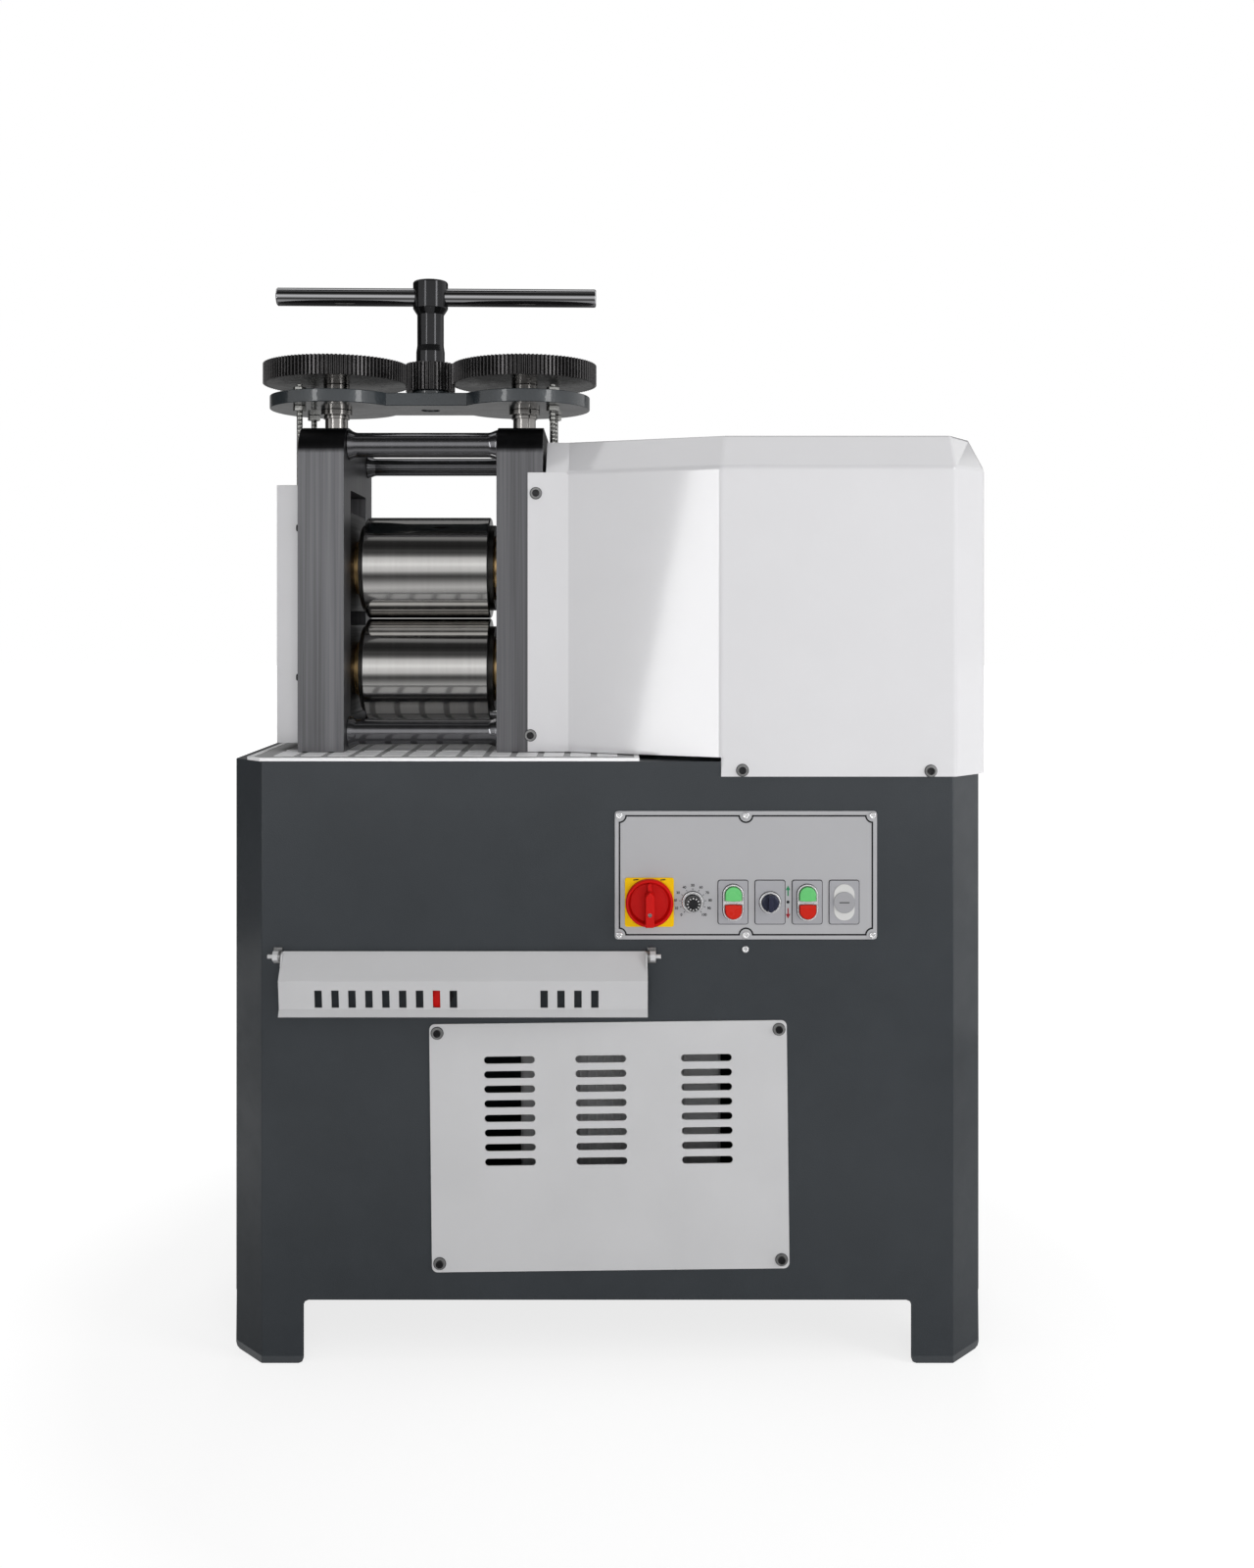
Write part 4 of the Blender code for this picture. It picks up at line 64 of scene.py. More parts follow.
MERGE = 0.00001
FLAT_WITHIN = math.radians(0.5)
SMOOTH_BELOW = math.radians(32.0)
FULL_TURN = 2 * math.pi
DRAWN_LARGER = 1000.0
CLEARANCE = 0.0003
COAT_ROUGHNESS = 0.06

FRONTWARD = (0.0, -1.0, 0.0)
BACKWARD = (0.0, 1.0, 0.0)
LEFTWARD = (-1.0, 0.0, 0.0)
UPWARD = (0.0, 0.0, 1.0)


class Axis(Enum):
    """Direction that a turned or flat piece faces, as a rotation from local Z."""

    X = ((0, 0, 1), (1, 0, 0), (0, 1, 0))
    FRONT = ((1, 0, 0), (0, 0, -1), (0, 1, 0))
    Z = ((1, 0, 0), (0, 1, 0), (0, 0, 1))

    def at(self, place: Sequence[float]) -> Matrix:
        """Return the matrix that turns a local piece to this axis and places it."""
        return Matrix.Translation(Vector(place)) @ Matrix(self.value).to_4x4()


class Body(Enum):
    """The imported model's moving bodies."""

    MACHINE = "machine"
    CARRIAGE = "screw_carriage"
    TOP_ROLL = "top_roll_set"
    BOTTOM_ROLL = "bottom_roll_set"
    LEFT_SCREW = "left_screw"
    RIGHT_SCREW = "right_screw"
    HANDLE = "gap_handle"
    STOP_BAR = "stop_bar_body"
    STOP_PLUNGER = "stop_plunger_body"
    MAIN_SWITCH = "main_switch_body"
    SPEED_KNOB = "speed_knob_body"
    SELECTOR = "selector_body"
    LEFT_START = "left_start_body"
    LEFT_STOP = "left_stop_body"
    RIGHT_START = "right_start_body"
    RIGHT_STOP = "right_stop_body"


@dataclass(frozen=True)
class Box:
    """The space that one CAD node holds.

    Attributes:
        low: Its lowest corner.
        high: Its highest corner.
    """

    low: Vector
    high: Vector

    @classmethod
    def of(cls, node: str) -> "Box":
        """Return the box of a node."""
        return cls(*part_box(node))

    @property
    def centre(self) -> Vector:
        """Return the middle of the box."""
        return (self.low + self.high) / 2

    @property
    def size(self) -> Vector:
        """Return the box's length along each axis."""
        return self.high - self.low

    def over(self, height: float) -> Point:
        """Return the point at a height on the upright line through the middle."""
        return (self.centre.x, self.centre.y, height)


class Wiring:
    """Adds nodes and links to one node tree."""

    def __init__(self, tree: bpy.types.NodeTree) -> None:
        """Take the tree that is added to."""
        self.tree = tree
        self.nodes = tree.nodes

    def link(self, source: Socket, target: Socket) -> None:
        """Link an output to an input."""
        self.tree.links.new(source, target)

    def add(self, kind: str, output: str, links: dict[int | str, Socket] | None = None,
            values: dict[int | str, object] | None = None, **settings: object) -> Socket:
        """Add a node.

        Args:
            kind: The node's type; a geometry node's goes without its prefix.
            output: The output that is wanted.
            links: What feeds each of its inputs.
            values: Fixed values of its inputs.
            settings: The node's own properties.

        Returns:
            The wanted output.
        """
        prefix = "" if kind.startswith(("Function", "Shader")) else "GeometryNode"
        node = self.nodes.new(prefix + kind)
        for key, value in settings.items():
            setattr(node, key, value)
        for key, value in (values or {}).items():
            node.inputs[key].default_value = value
        for key, socket in (links or {}).items():
            self.link(socket, node.inputs[key])
        return node.outputs[output]

    def reach(self, source: Socket, low: float, high: float, window: Flat) -> Socket:
        """Map a value onto a range.

        Args:
            source: The value to map.
            low: The result at the window's low end.
            high: The result at the window's high end.
            window: The stretch of the value that is used.

        Returns:
            The mapped value.
        """
        return self.add("ShaderNodeMapRange", "Result", {"Value": source},
                        {"From Min": window[0], "From Max": window[1], "To Min": low,
                         "To Max": high})


class Graph(Wiring):
    """The nodes of one material, patterned on Object coordinates."""

    def __init__(self, name: str) -> None:
        """Start a material of this name that holds a Principled shader."""
        self.material = bpy.data.materials.new(name)
        self.material.use_nodes = True
        super().__init__(self.material.node_tree)
        self.shader = self.nodes["Principled BSDF"].inputs
        self.coordinates = self.add("ShaderNodeTexCoord", "Object")

    def noise(self, scale: float, detail: float = 2.0, stretch: Point = (1.0, 1.0, 1.0)
              ) -> Socket:
        """Add a noise pattern.

        Args:
            scale: Features per metre, before the stretch.
            detail: Octaves of finer noise.
            stretch: How many times denser the pattern is along each axis.

        Returns:
            The pattern, about 0.5 on average.
        """
        mapped = self.add("ShaderNodeMapping", "Vector", {"Vector": self.coordinates},
                          {"Scale": stretch})
        return self.add("ShaderNodeTexNoise", "Fac", {"Vector": mapped},
                        {"Scale": scale, "Detail": detail})

    def blend(self, factor: Socket, first: Colour | Socket, second: Colour) -> Socket:
        """Mix two colours by a pattern.

        Args:
            factor: The share of the second colour.
            first: A colour, or the output that carries one.
            second: The other colour.

        Returns:
            The mixed colour.
        """
        node = self.nodes.new("ShaderNodeMix")
        node.data_type = "RGBA"
        self.link(factor, node.inputs["Factor"])
        colours = [socket for socket in node.inputs if socket.type == "RGBA"]
        if isinstance(first, Socket):
            self.link(first, colours[0])
        else:
            colours[0].default_value = (*first, 1.0)
        colours[1].default_value = (*second, 1.0)
        return next(socket for socket in node.outputs if socket.type == "RGBA")

    def bump(self, height: Socket, strength: float, distance: float,
             under: Socket | None = None) -> Socket:
        """Add a bump.

        Args:
            height: The pattern that gives the height.
            strength: The share of the bump that shows.
            distance: The bump's height in metres.
            under: The normal of a coarser bump beneath this one.

        Returns:
            The bumped normal.
        """
        links = {"Height": height}
        if under:
            links["Normal"] = under
        return self.add("ShaderNodeBump", "Normal", links,
                        {"Strength": strength, "Distance": distance})


def scaled(colour: Colour, factor: float) -> Colour:
    """Return a colour made lighter or darker by a factor."""
    return tuple(min(1.0, channel * factor) for channel in colour)


@dataclass(frozen=True)
class Finish:
    """One finish of the mill.

    Attributes:
        name: The finish's name.
        slot: The material slot that it belongs to; not used.
        colour: Its linear base colour.
        roughness: Its middle roughness.
        metallic: 1 for bare metal.
        mottle: How far the colour drifts from its middle.
        grain: Fine bumps per metre.
        depth: Height of those bumps in metres.
        coat: Weight of a clear gloss layer.
        gleam: Strength of the plain surface reflection; 0.5 is usual.
    """

    name: str
    slot: str
    colour: Colour
    roughness: float
    metallic: float = 0.0
    mottle: float = 0.05
    grain: float = 800.0
    depth: float = 0.0001
    coat: float = 0.0
    gleam: float = 0.5

    def material(self) -> bpy.types.Material:
        """Return the finish's material, which is built once."""
        name = "finish_" + self.name
        found = bpy.data.materials.get(name)
        if found:
            return found
        graph = Graph(name)
        for key, value in (("Metallic", self.metallic), ("Specular IOR Level", self.gleam),
                           ("Coat Weight", self.coat), ("Coat Roughness", COAT_ROUGHNESS)):
            graph.shader[key].default_value = value
        graph.material.diffuse_color = (*self.colour, 1.0)
        self.pattern(graph)
        return graph.material

    def tone(self, graph: Graph, drift: Socket, contrast: float, smear: Socket, swing: float,
             window: Flat) -> None:
        """Let patterns move the colour and the roughness about their middle.

        Args:
            graph: The material's nodes.
            drift: The pattern behind the colour.
            contrast: How far the colour moves.
            smear: The pattern behind the roughness.
            swing: How far the roughness moves.
            window: The stretch of both patterns that is used.
        """
        graph.link(graph.blend(graph.reach(drift, 0.0, 1.0, window),
                               scaled(self.colour, 1 - contrast),
                               scaled(self.colour, 1 + contrast)), graph.shader["Base Color"])
        graph.link(graph.reach(smear, self.roughness * (1 - swing),
                               self.roughness * (1 + swing), window), graph.shader["Roughness"])

    def pattern(self, graph: Graph) -> None:
        """Add the colour drift, roughness and bump of the finish."""
        self.tone(graph, graph.noise(9.0, 4.0), self.mottle, graph.noise(30.0, 3.0), 0.1,
                  (0.35, 0.65))
        graph.link(graph.bump(graph.noise(self.grain), 0.5, self.depth), graph.shader["Normal"])


@dataclass(frozen=True)
class PowderCoat(Finish):
    """Baked powder paint: orange peel under a finer grain.

    Attributes:
        peel: Orange peel bumps per metre.
        peel_depth: Height of those bumps in metres.
    """

    peel: float = 260.0
    peel_depth: float = 0.00008

    def pattern(self, graph: Graph) -> None:
        """Add the drift, then orange peel beneath the grain."""
        super().pattern(graph)
        peel = graph.bump(graph.noise(self.peel, 1.0), 0.4, self.peel_depth)
        fine = graph.bump(graph.noise(self.grain), 0.5, self.depth, peel)
        graph.link(fine, graph.shader["Normal"])
        graph.link(peel, graph.shader["Coat Normal"])


@dataclass(frozen=True)
class WorkedSteel(Finish):
    """Steel with the marks of its last cut, drawn out along one direction.

    Attributes:
        lay: How dense the marks are along each axis; low is along the cut.
        marks: Marks per metre across the cut.
        contrast: How far the marks change the colour.
    """

    lay: Point = (1.0, 1.0, 0.01)
    marks: float = 300.0
    contrast: float = 0.2

    def pattern(self, graph: Graph) -> None:
        """Add drawn-out marks in colour, roughness and bump."""
        fine = graph.noise(self.marks, 3.0, self.lay)
        broad = graph.noise(self.marks / 8, 2.0, self.lay)
        both = graph.add("ShaderNodeMath", "Value", {0: fine, 1: broad}, operation="ADD")
        self.tone(graph, both, self.contrast, both, 0.2, (0.75, 1.25))
        stains = graph.bump(graph.noise(self.grain), 0.2, self.depth)
        graph.link(graph.bump(fine, 0.35, self.depth, stains), graph.shader["Normal"])


@dataclass(frozen=True)
class MilledHousing(WorkedSteel):
    """Milled steel with a painted reflection: its top rounding, above where it starts, is painted
    dark.

    Attributes:
        line: Height of the border between the milled face and the painted dark reflection on top.
        border: How far the border spreads below and above that height.
        painted_reflection: Colour painted on the top rounding, a painted reflection of the dark
            surroundings that it mirrors.
    """

    line: float = 1.2945
    border: Flat = (0.003, 0.005)
    painted_reflection: Colour = (0.012, 0.012, 0.013)

    def pattern(self, graph: Graph) -> None:
        """Add the milling marks, and the painted dark reflection on the top above its border."""
        super().pattern(graph)
        milled = graph.shader["Base Color"].links[0].from_socket
        height = graph.add("ShaderNodeSeparateXYZ", "Z", {"Vector": graph.coordinates})
        above = graph.reach(height, 0.0, 1.0, (self.line - self.border[0],
                                               self.line + self.border[1]))
        graph.link(graph.blend(above, milled, self.painted_reflection), graph.shader["Base Color"])


@dataclass(frozen=True)
class Moulded(Finish):
    """Smooth moulded plastic."""

    mottle: float = 0.02
    grain: float = 1500.0
    depth: float = 0.00002


@dataclass(frozen=True)
class Print(Finish):
    """Matt ink."""

    gleam: float = 0.2


class Finishes(Enum):
    """Every finish on the mill."""

    CABINET = PowderCoat("cabinet_paint", "cabinet_paint", (0.0310, 0.0360, 0.0415), 0.42,
                         mottle=0.05, grain=900.0, depth=0.00030, peel=420.0,
                         peel_depth=0.0002, coat=0.18, gleam=0.28)
    COVER = PowderCoat("cover_paint", "white_paint", (0.70, 0.697, 0.714), 0.09, mottle=0.008,
                       grain=1500.0, depth=0.000001, peel=230.0, peel_depth=0.00004, coat=0.6)
    SHEET = PowderCoat("sheet_paint", "white_paint", (0.56, 0.56, 0.57), 0.34, mottle=0.02,
                       grain=1300.0, depth=0.00004, peel_depth=0.00008, coat=0.2)
    TRAY = PowderCoat("tray_pads", "white_paint", (0.94, 0.94, 0.95), 0.38, mottle=0.02,
                      grain=1000.0, depth=0.00005)
    TRAY_LINES = PowderCoat("tray_lines", "white_paint", (0.40, 0.40, 0.405), 0.5, mottle=0.05)
    BRIDGE = PowderCoat("bridge_paint", "grey_paint", (0.022, 0.028, 0.033), 0.30, mottle=0.10,
                        grain=500.0, depth=0.0002, peel=160.0, peel_depth=0.0003, coat=0.7,
                        gleam=0.4)
    # The housings' top rounding is painted dark as a painted reflection; see MilledHousing.
    HOUSING = MilledHousing("milled_steel", "blackened_steel", (0.152, 0.152, 0.160), 0.38,
                            0.85, lay=(1.0, 1.0, 0.012), marks=260.0, contrast=0.25,
                            depth=0.00004)
    # Dark steel, set darker still as painted shade: it stands in for the shade inside the housing
    # windows, between the housings and the rolls.
    BLOCK = WorkedSteel("block_steel", "blackened_steel", (0.05, 0.05, 0.052), 0.40, 0.9,
                        lay=(1.0, 0.02, 1.0), marks=300.0, contrast=0.25, depth=0.00005)
    GEAR = WorkedSteel("gear_steel", "black_steel", (0.062, 0.060, 0.061), 0.27, 0.85,
                       lay=(0.3, 0.3, 1.0), marks=400.0, contrast=0.25, depth=0.00004)
    OXIDE = WorkedSteel("black_oxide", "black_steel", (0.036, 0.036, 0.038), 0.13, 0.85,
                        lay=(0.02, 0.02, 1.0), marks=300.0, contrast=0.02, depth=0.000001)
    TIE_BAR = WorkedSteel("turned_bar", "black_steel", (0.19, 0.19, 0.20), 0.15, 0.95,
                          lay=(1.0, 0.02, 0.02), marks=600.0, contrast=0.05, depth=0.000003)
    HANDLE_BAR = WorkedSteel("drawn_bar", "black_steel", (0.42, 0.42, 0.43), 0.09, 1.0,
                             lay=(0.02, 1.0, 1.0), marks=400.0, contrast=0.03,
                             depth=0.000001)
    ROLL = WorkedSteel("ground_roll", "ground_steel", (0.60, 0.59, 0.575), 0.10, 1.0,
                       lay=(1.0, 0.02, 0.02), marks=900.0, contrast=0.03, depth=0.000002)
    JOURNAL = WorkedSteel("roll_journal", "ground_steel", (0.055, 0.053, 0.050), 0.30, 0.9,
                          lay=(1.0, 0.02, 0.02), marks=600.0, contrast=0.1, depth=0.00001)
    SPINDLE = WorkedSteel("turned_spindle", "ground_steel", (0.27, 0.26, 0.25), 0.17, 1.0,
                          lay=(0.05, 0.05, 1.0), marks=300.0, contrast=0.08,
                          depth=0.000001)
    BRONZE = WorkedSteel("bearing_bronze", "bronze", (0.66, 0.44, 0.20), 0.30, 1.0,
                         lay=(1.0, 0.1, 0.1), marks=400.0, contrast=0.2, depth=0.00003)
    ZINC = WorkedSteel("zinc_plate", "zinc", (0.40, 0.40, 0.385), 0.30, 1.0,
                       lay=(0.3, 0.3, 1.0), marks=600.0, contrast=0.12, depth=0.00002)
    WASHER = WorkedSteel("dull_zinc", "zinc", (0.30, 0.30, 0.30), 0.42, 0.9,
                         lay=(1.0, 1.0, 1.0), marks=500.0, contrast=0.15, depth=0.00003)
    MOTOR = PowderCoat("drive_paint", "motor_paint", (0.13, 0.15, 0.17), 0.5, mottle=0.1,
                       grain=350.0, depth=0.0006, peel_depth=0.0004)
    CASE = Finish("drive_case", "inverter_case", (0.42, 0.42, 0.43), 0.5, grain=1200.0)
    PANEL = Finish("panel_film", "panel_film", (0.395, 0.395, 0.41), 0.38, mottle=0.012,
                   grain=2000.0, depth=0.00001)
    LEGEND = Finish("legend_plate", "chrome", (0.40, 0.40, 0.425), 0.36, 0.4, mottle=0.03,
                    grain=1500.0, depth=0.00001)
    PALE = Moulded("pale_cap", "pale_plastic", (0.60, 0.60, 0.59), 0.42)
    PLUG = Moulded("plug_cap", "pale_plastic", (0.32, 0.32, 0.335), 0.40)
    YELLOW = Moulded("yellow_plate", "yellow_plastic", (0.86, 0.54, 0.010), 0.46, mottle=0.03,
                     depth=0.00003, gleam=0.0)
    RED = Moulded("red_handle", "red_plastic", (0.56, 0.006, 0.005), 0.42, mottle=0.04,
                  depth=0.00003, gleam=0.08)
    GREEN_LENS = Moulded("green_lens", "green_lens", (0.13, 0.56, 0.17), 0.26, mottle=0.05,
                         grain=1200.0, coat=0.2, gleam=0.3)
    RED_LENS = Moulded("red_lens", "red_plastic", (0.58, 0.015, 0.005), 0.26, mottle=0.05,
                       grain=1200.0, coat=0.1, gleam=0.15)
    BLACK = Moulded("black_plastic", "black_plastic", (0.010, 0.010, 0.012), 0.34, mottle=0.1,
                    grain=1400.0, depth=0.00004, gleam=0.35)
    NAVY = Moulded("navy_plastic", "black_plastic", (0.014, 0.017, 0.040), 0.34, mottle=0.1,
                   grain=1400.0, depth=0.00004, gleam=0.35)
    RUBBER = Finish("rubber_washer", "black_plastic", (0.05, 0.052, 0.055), 0.7, mottle=0.1,
                    grain=1000.0, depth=0.0001)
    CHROME = Finish("bright_chrome", "chrome", (0.92, 0.92, 0.93), 0.25, 0.75, mottle=0.02,
                    grain=900.0, depth=0.000003)
    INK = Print("black_print", "black_plastic", (0.010, 0.010, 0.011), 0.5, mottle=0.1)
    WHITE_INK = Print("white_print", "pale_plastic", (0.62, 0.62, 0.62), 0.5)
    GREEN_INK = Print("green_print", "green_lens", (0.02, 0.22, 0.09), 0.5)
    RED_INK = Print("red_print", "red_plastic", (0.30, 0.012, 0.02), 0.5)
    COPPER_TERMINAL = Finish("terminal_orange", "yellow_plastic", (0.60, 0.22, 0.03), 0.45)


def linked(name: str, data: bpy.types.ID) -> Item:
    """Return a new object of this data, linked to the scene."""
    item = bpy.data.objects.new(name, data)
    bpy.context.scene.collection.objects.link(item)
    return item


def discard(item: Item) -> None:
    """Remove an object from the file."""
    bpy.data.objects.remove(item, do_unlink=True)


def mesh_object(name: str, shape: Shape, matrix: Matrix | None = None) -> Item:
    """Turn a bmesh into an object at the origin, with its place in its mesh.

    Args:
        name: The object's name.
        shape: The bmesh, which is freed.
        matrix: Where the shape goes.

    Returns:
        The new object, linked to the scene.
    """
    mesh = bpy.data.meshes.new(name)
    shape.to_mesh(mesh)
    shape.free()
    if matrix:
        mesh.transform(matrix)
    mesh.shade_smooth()
    mesh.set_sharp_from_angle(angle=SMOOTH_BELOW)
    return linked(name, mesh)


def evaluated_mesh(item: Item) -> Mesh:
    """Apply an object's modifiers to a copy of its mesh.

    Args:
        item: The object, which stays as it is.

    Returns:
        The plain mesh.
    """
    bpy.context.view_layer.update()
    graph = bpy.context.evaluated_depsgraph_get()
    return bpy.data.meshes.new_from_object(item.evaluated_get(graph))


def settle(item: Item) -> Item:
    """Replace an object by a plain mesh of itself, under the same name.

    Args:
        item: The object, which is removed.

    Returns:
        The plain object, with the same materials.
    """
    name = item.name
    mesh = evaluated_mesh(item)
    discard(item)
    shape = bmesh.new()
    shape.from_mesh(mesh)
    settled = mesh_object(name, shape)
    for material in mesh.materials:
        settled.data.materials.append(material)
    bpy.data.meshes.remove(mesh)
    return settled


def welded(mesh: Mesh) -> Shape:
    """Copy a mesh and merge the points that fall together.

    Args:
        mesh: The mesh to copy.

    Returns:
        The copy, as a bmesh.
    """
    shape = bmesh.new()
    shape.from_mesh(mesh)
    bmesh.ops.remove_doubles(shape, verts=shape.verts, dist=MERGE)
    return shape


def eased(points: Sequence[Flat], radius: float, steps: int = 3) -> list[Flat]:
    """Round the inner corners of an open line of points.

    Args:
        points: The line's points.
        radius: How far from each corner the rounding starts.
        steps: Segments in each rounded corner.

    Returns:
        The rounded line.
    """
    line = [points[0]]
    for before, corner, after in zip(points, points[1:], points[2:]):
        middle = Vector(corner)
        back, ahead = Vector(before) - middle, Vector(after) - middle
        reach = min(radius, back.length * 0.45, ahead.length * 0.45)
        start = middle + back.normalized() * reach
        end = middle + ahead.normalized() * reach
        for i in range(steps + 1):
            t = i / steps
            point = start * (1 - t) ** 2 + middle * 2 * t * (1 - t) + end * t ** 2
            line.append((point.x, point.y))
    return line + [points[-1]]

def lathe(name: str, profile: Sequence[Flat], axis: Axis, place: Sequence[float],
          ease: float = 0.0004, sides: int = 72) -> Item:
    """Revolve a profile about an axis.

    Args:
        name: The piece's name.
        profile: Radius and height of each point, from one end to the other.
        axis: The axis that it turns about.
        place: Where the profile's zero height lies.
        ease: Rounding at each corner.
        sides: Facets round the piece.

    Returns:
        The turned piece.
    """
    shape = bmesh.new()
    line = eased(profile, ease) if ease else profile
    verts = [shape.verts.new((radius, 0, height)) for radius, height in line]
    edges = [shape.edges.new(pair) for pair in zip(verts, verts[1:])]
    bmesh.ops.spin(shape, geom=verts + edges, axis=UPWARD, cent=(0, 0, 0), steps=sides,
                   angle=FULL_TURN, use_merge=True)
    bmesh.ops.remove_doubles(shape, verts=shape.verts, dist=MERGE)
    bmesh.ops.recalc_face_normals(shape, faces=shape.faces)
    return mesh_object(name, shape, axis.at(place))


def plate(name: str, loops: Iterable[Sequence[Flat]], thickness: float,
          axis: Axis = Axis.Z, place: Sequence[float] = (0, 0, 0), edge: float = 0.0) -> Item:
    """Make a flat piece with holes and rounded rims from closed loops.

    Args:
        name: The piece's name.
        loops: The outline and its holes.
        thickness: The piece's full thickness.
        axis: The direction that its face looks along.
        place: The middle of its thickness.
        edge: Rounding along every rim.

    Returns:
        The flat piece.
    """
    curve = bpy.data.curves.new(name, "CURVE")
    curve.dimensions = "2D"
    curve.fill_mode = "BOTH"
    curve.extrude = thickness / 2 - edge
    curve.bevel_depth = edge
    curve.bevel_resolution = 2
    curve.offset = -edge
    for loop in loops:
        spline = curve.splines.new("POLY")
        spline.points.add(len(loop) - 1)
        for point, (x, y) in zip(spline.points, loop):
            point.co = (x, y, 0, 1)
        spline.use_cyclic_u = True
    return flat_to_piece(name, curve, axis.at(place))


def flat_to_piece(name: str, curve: bpy.types.Curve, matrix: Matrix) -> Item:
    """Turn a flat curve or text into a placed mesh piece.

    Args:
        name: The piece's name.
        curve: The curve or text, which is removed.
        matrix: Where the piece goes.

    Returns:
        The mesh piece.
    """
    item = linked(name + "_curve", curve)
    mesh = evaluated_mesh(item)
    discard(item)
    bpy.data.curves.remove(curve)
    shape = welded(mesh)
    bpy.data.meshes.remove(mesh)
    bmesh.ops.recalc_face_normals(shape, faces=shape.faces)
    return mesh_object(name, shape, matrix)


def lettering(name: str, text: str, height: float, weight: float, place: Sequence[float],
              thickness: float) -> Item:
    """Make a plain printed number that faces the front, centred on its place.

    It is drawn large and then shrunk, because the faces of tiny letters don't close.

    Args:
        name: The piece's name.
        text: What it says.
        height: Height of its line.
        weight: How much its strokes are widened on each side.
        place: The middle of its thickness.
        thickness: Thickness of the print.

    Returns:
        The print.
    """
    curve = bpy.data.curves.new(name, "FONT")
    curve.offset = weight * DRAWN_LARGER
    curve.body = text
    curve.size = height * DRAWN_LARGER
    curve.align_x = "CENTER"
    curve.align_y = "CENTER"
    curve.extrude = thickness / 2 * DRAWN_LARGER
    return flat_to_piece(name, curve, Axis.FRONT.at(place) @ Matrix.Scale(1 / DRAWN_LARGER, 4))


def circle(radius: float, sides: int = 64, centre: Flat = (0.0, 0.0)) -> list[Flat]:
    """Return the points of a circle or a regular polygon."""
    angles = [FULL_TURN * i / sides for i in range(sides)]
    return [(centre[0] + radius * math.cos(a), centre[1] + radius * math.sin(a)) for a in angles]


def arc(centre: Flat, radius: float, start: float, end: float, steps: int = 8) -> list[Flat]:
    """Return the points of an arc, both ends included, with angles in degrees."""
    angles = [math.radians(start + (end - start) * i / steps) for i in range(steps + 1)]
    return [(centre[0] + radius * math.cos(a), centre[1] + radius * math.sin(a)) for a in angles]


def rounded(width: float, height: float, radius: float, steps: int = 8) -> list[Flat]:
    """Draw a rectangle with rounded corners about the origin.

    Args:
        width: Its full width.
        height: Its full height.
        radius: Radius of its corners.
        steps: Segments in each corner.

    Returns:
        The outline.
    """
    x, y = width / 2 - radius, height / 2 - radius
    loop: list[Flat] = []
    for quarter, (a, b) in enumerate(((1, 1), (-1, 1), (-1, -1), (1, -1))):
        loop += arc((a * x, b * y), radius, quarter * 90, quarter * 90 + 90, steps)
    return loop


def pill(width: float, height: float) -> list[Flat]:
    """Return the outline of an upright oval with straight sides."""
    return rounded(width, height, width / 2 - MERGE, 20)


def joined(name: str, items: Sequence[Item]) -> Item:
    """Join several pieces of one finish into one object.

    Args:
        name: The joined piece's name.
        items: The pieces, which are removed.

    Returns:
        The joined piece.
    """
    shape = bmesh.new()
    for item in items:
        shape.from_mesh(item.data)
        discard(item)
    return mesh_object(name, shape)


def round_bends(shape: Shape, width: float, angle: float) -> None:
    """Round the convex bends of a sheet, which are its long edges below a right angle.

    Args:
        shape: The sheet.
        width: Width of each rounded bend.
        angle: Bends of fewer degrees than this are left.
    """
    low, high = math.radians(angle), math.radians(80)
    bends = [edge for edge in shape.edges if len(edge.link_faces) == 2
             and low < edge.calc_face_angle_signed() < high and edge.calc_length() > 0.05]
    bmesh.ops.bevel(shape, geom=bends, offset=width, offset_type="OFFSET", segments=3,
                    profile=0.5, affect="EDGES", clamp_overlap=True)


def flatten_faces(piece: Item) -> None:
    """Weight a piece's normals by face area, so that broad faces shade flat.

    Args:
        piece: The piece, which gets a new mesh.
    """
    modifier = piece.modifiers.new("flat_faces", "WEIGHTED_NORMAL")
    modifier.keep_sharp = True
    modifier.weight = 90
    mesh = evaluated_mesh(piece)
    piece.modifiers.clear()
    spare = piece.data
    piece.data = mesh
    bpy.data.meshes.remove(spare)


def dress(piece: Item, finish: Finishes, node: str = "",
          body: Body = Body.MACHINE) -> None:
    """Give a piece its finish and its body, and hide the CAD node that it stands for.

    Args:
        piece: The finished piece.
        finish: Its finish.
        node: The CAD node that it replaces, or nothing.
        body: The CAD body that it moves with.
    """
    piece.data.materials.clear()
    piece.data.materials.append(finish.value.material())
    flatten_faces(piece)
    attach(piece, body.value)
    if node:
        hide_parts(node)
    LOG.info("%s: %s, %d faces", piece.name, finish.value.name, len(piece.data.polygons))


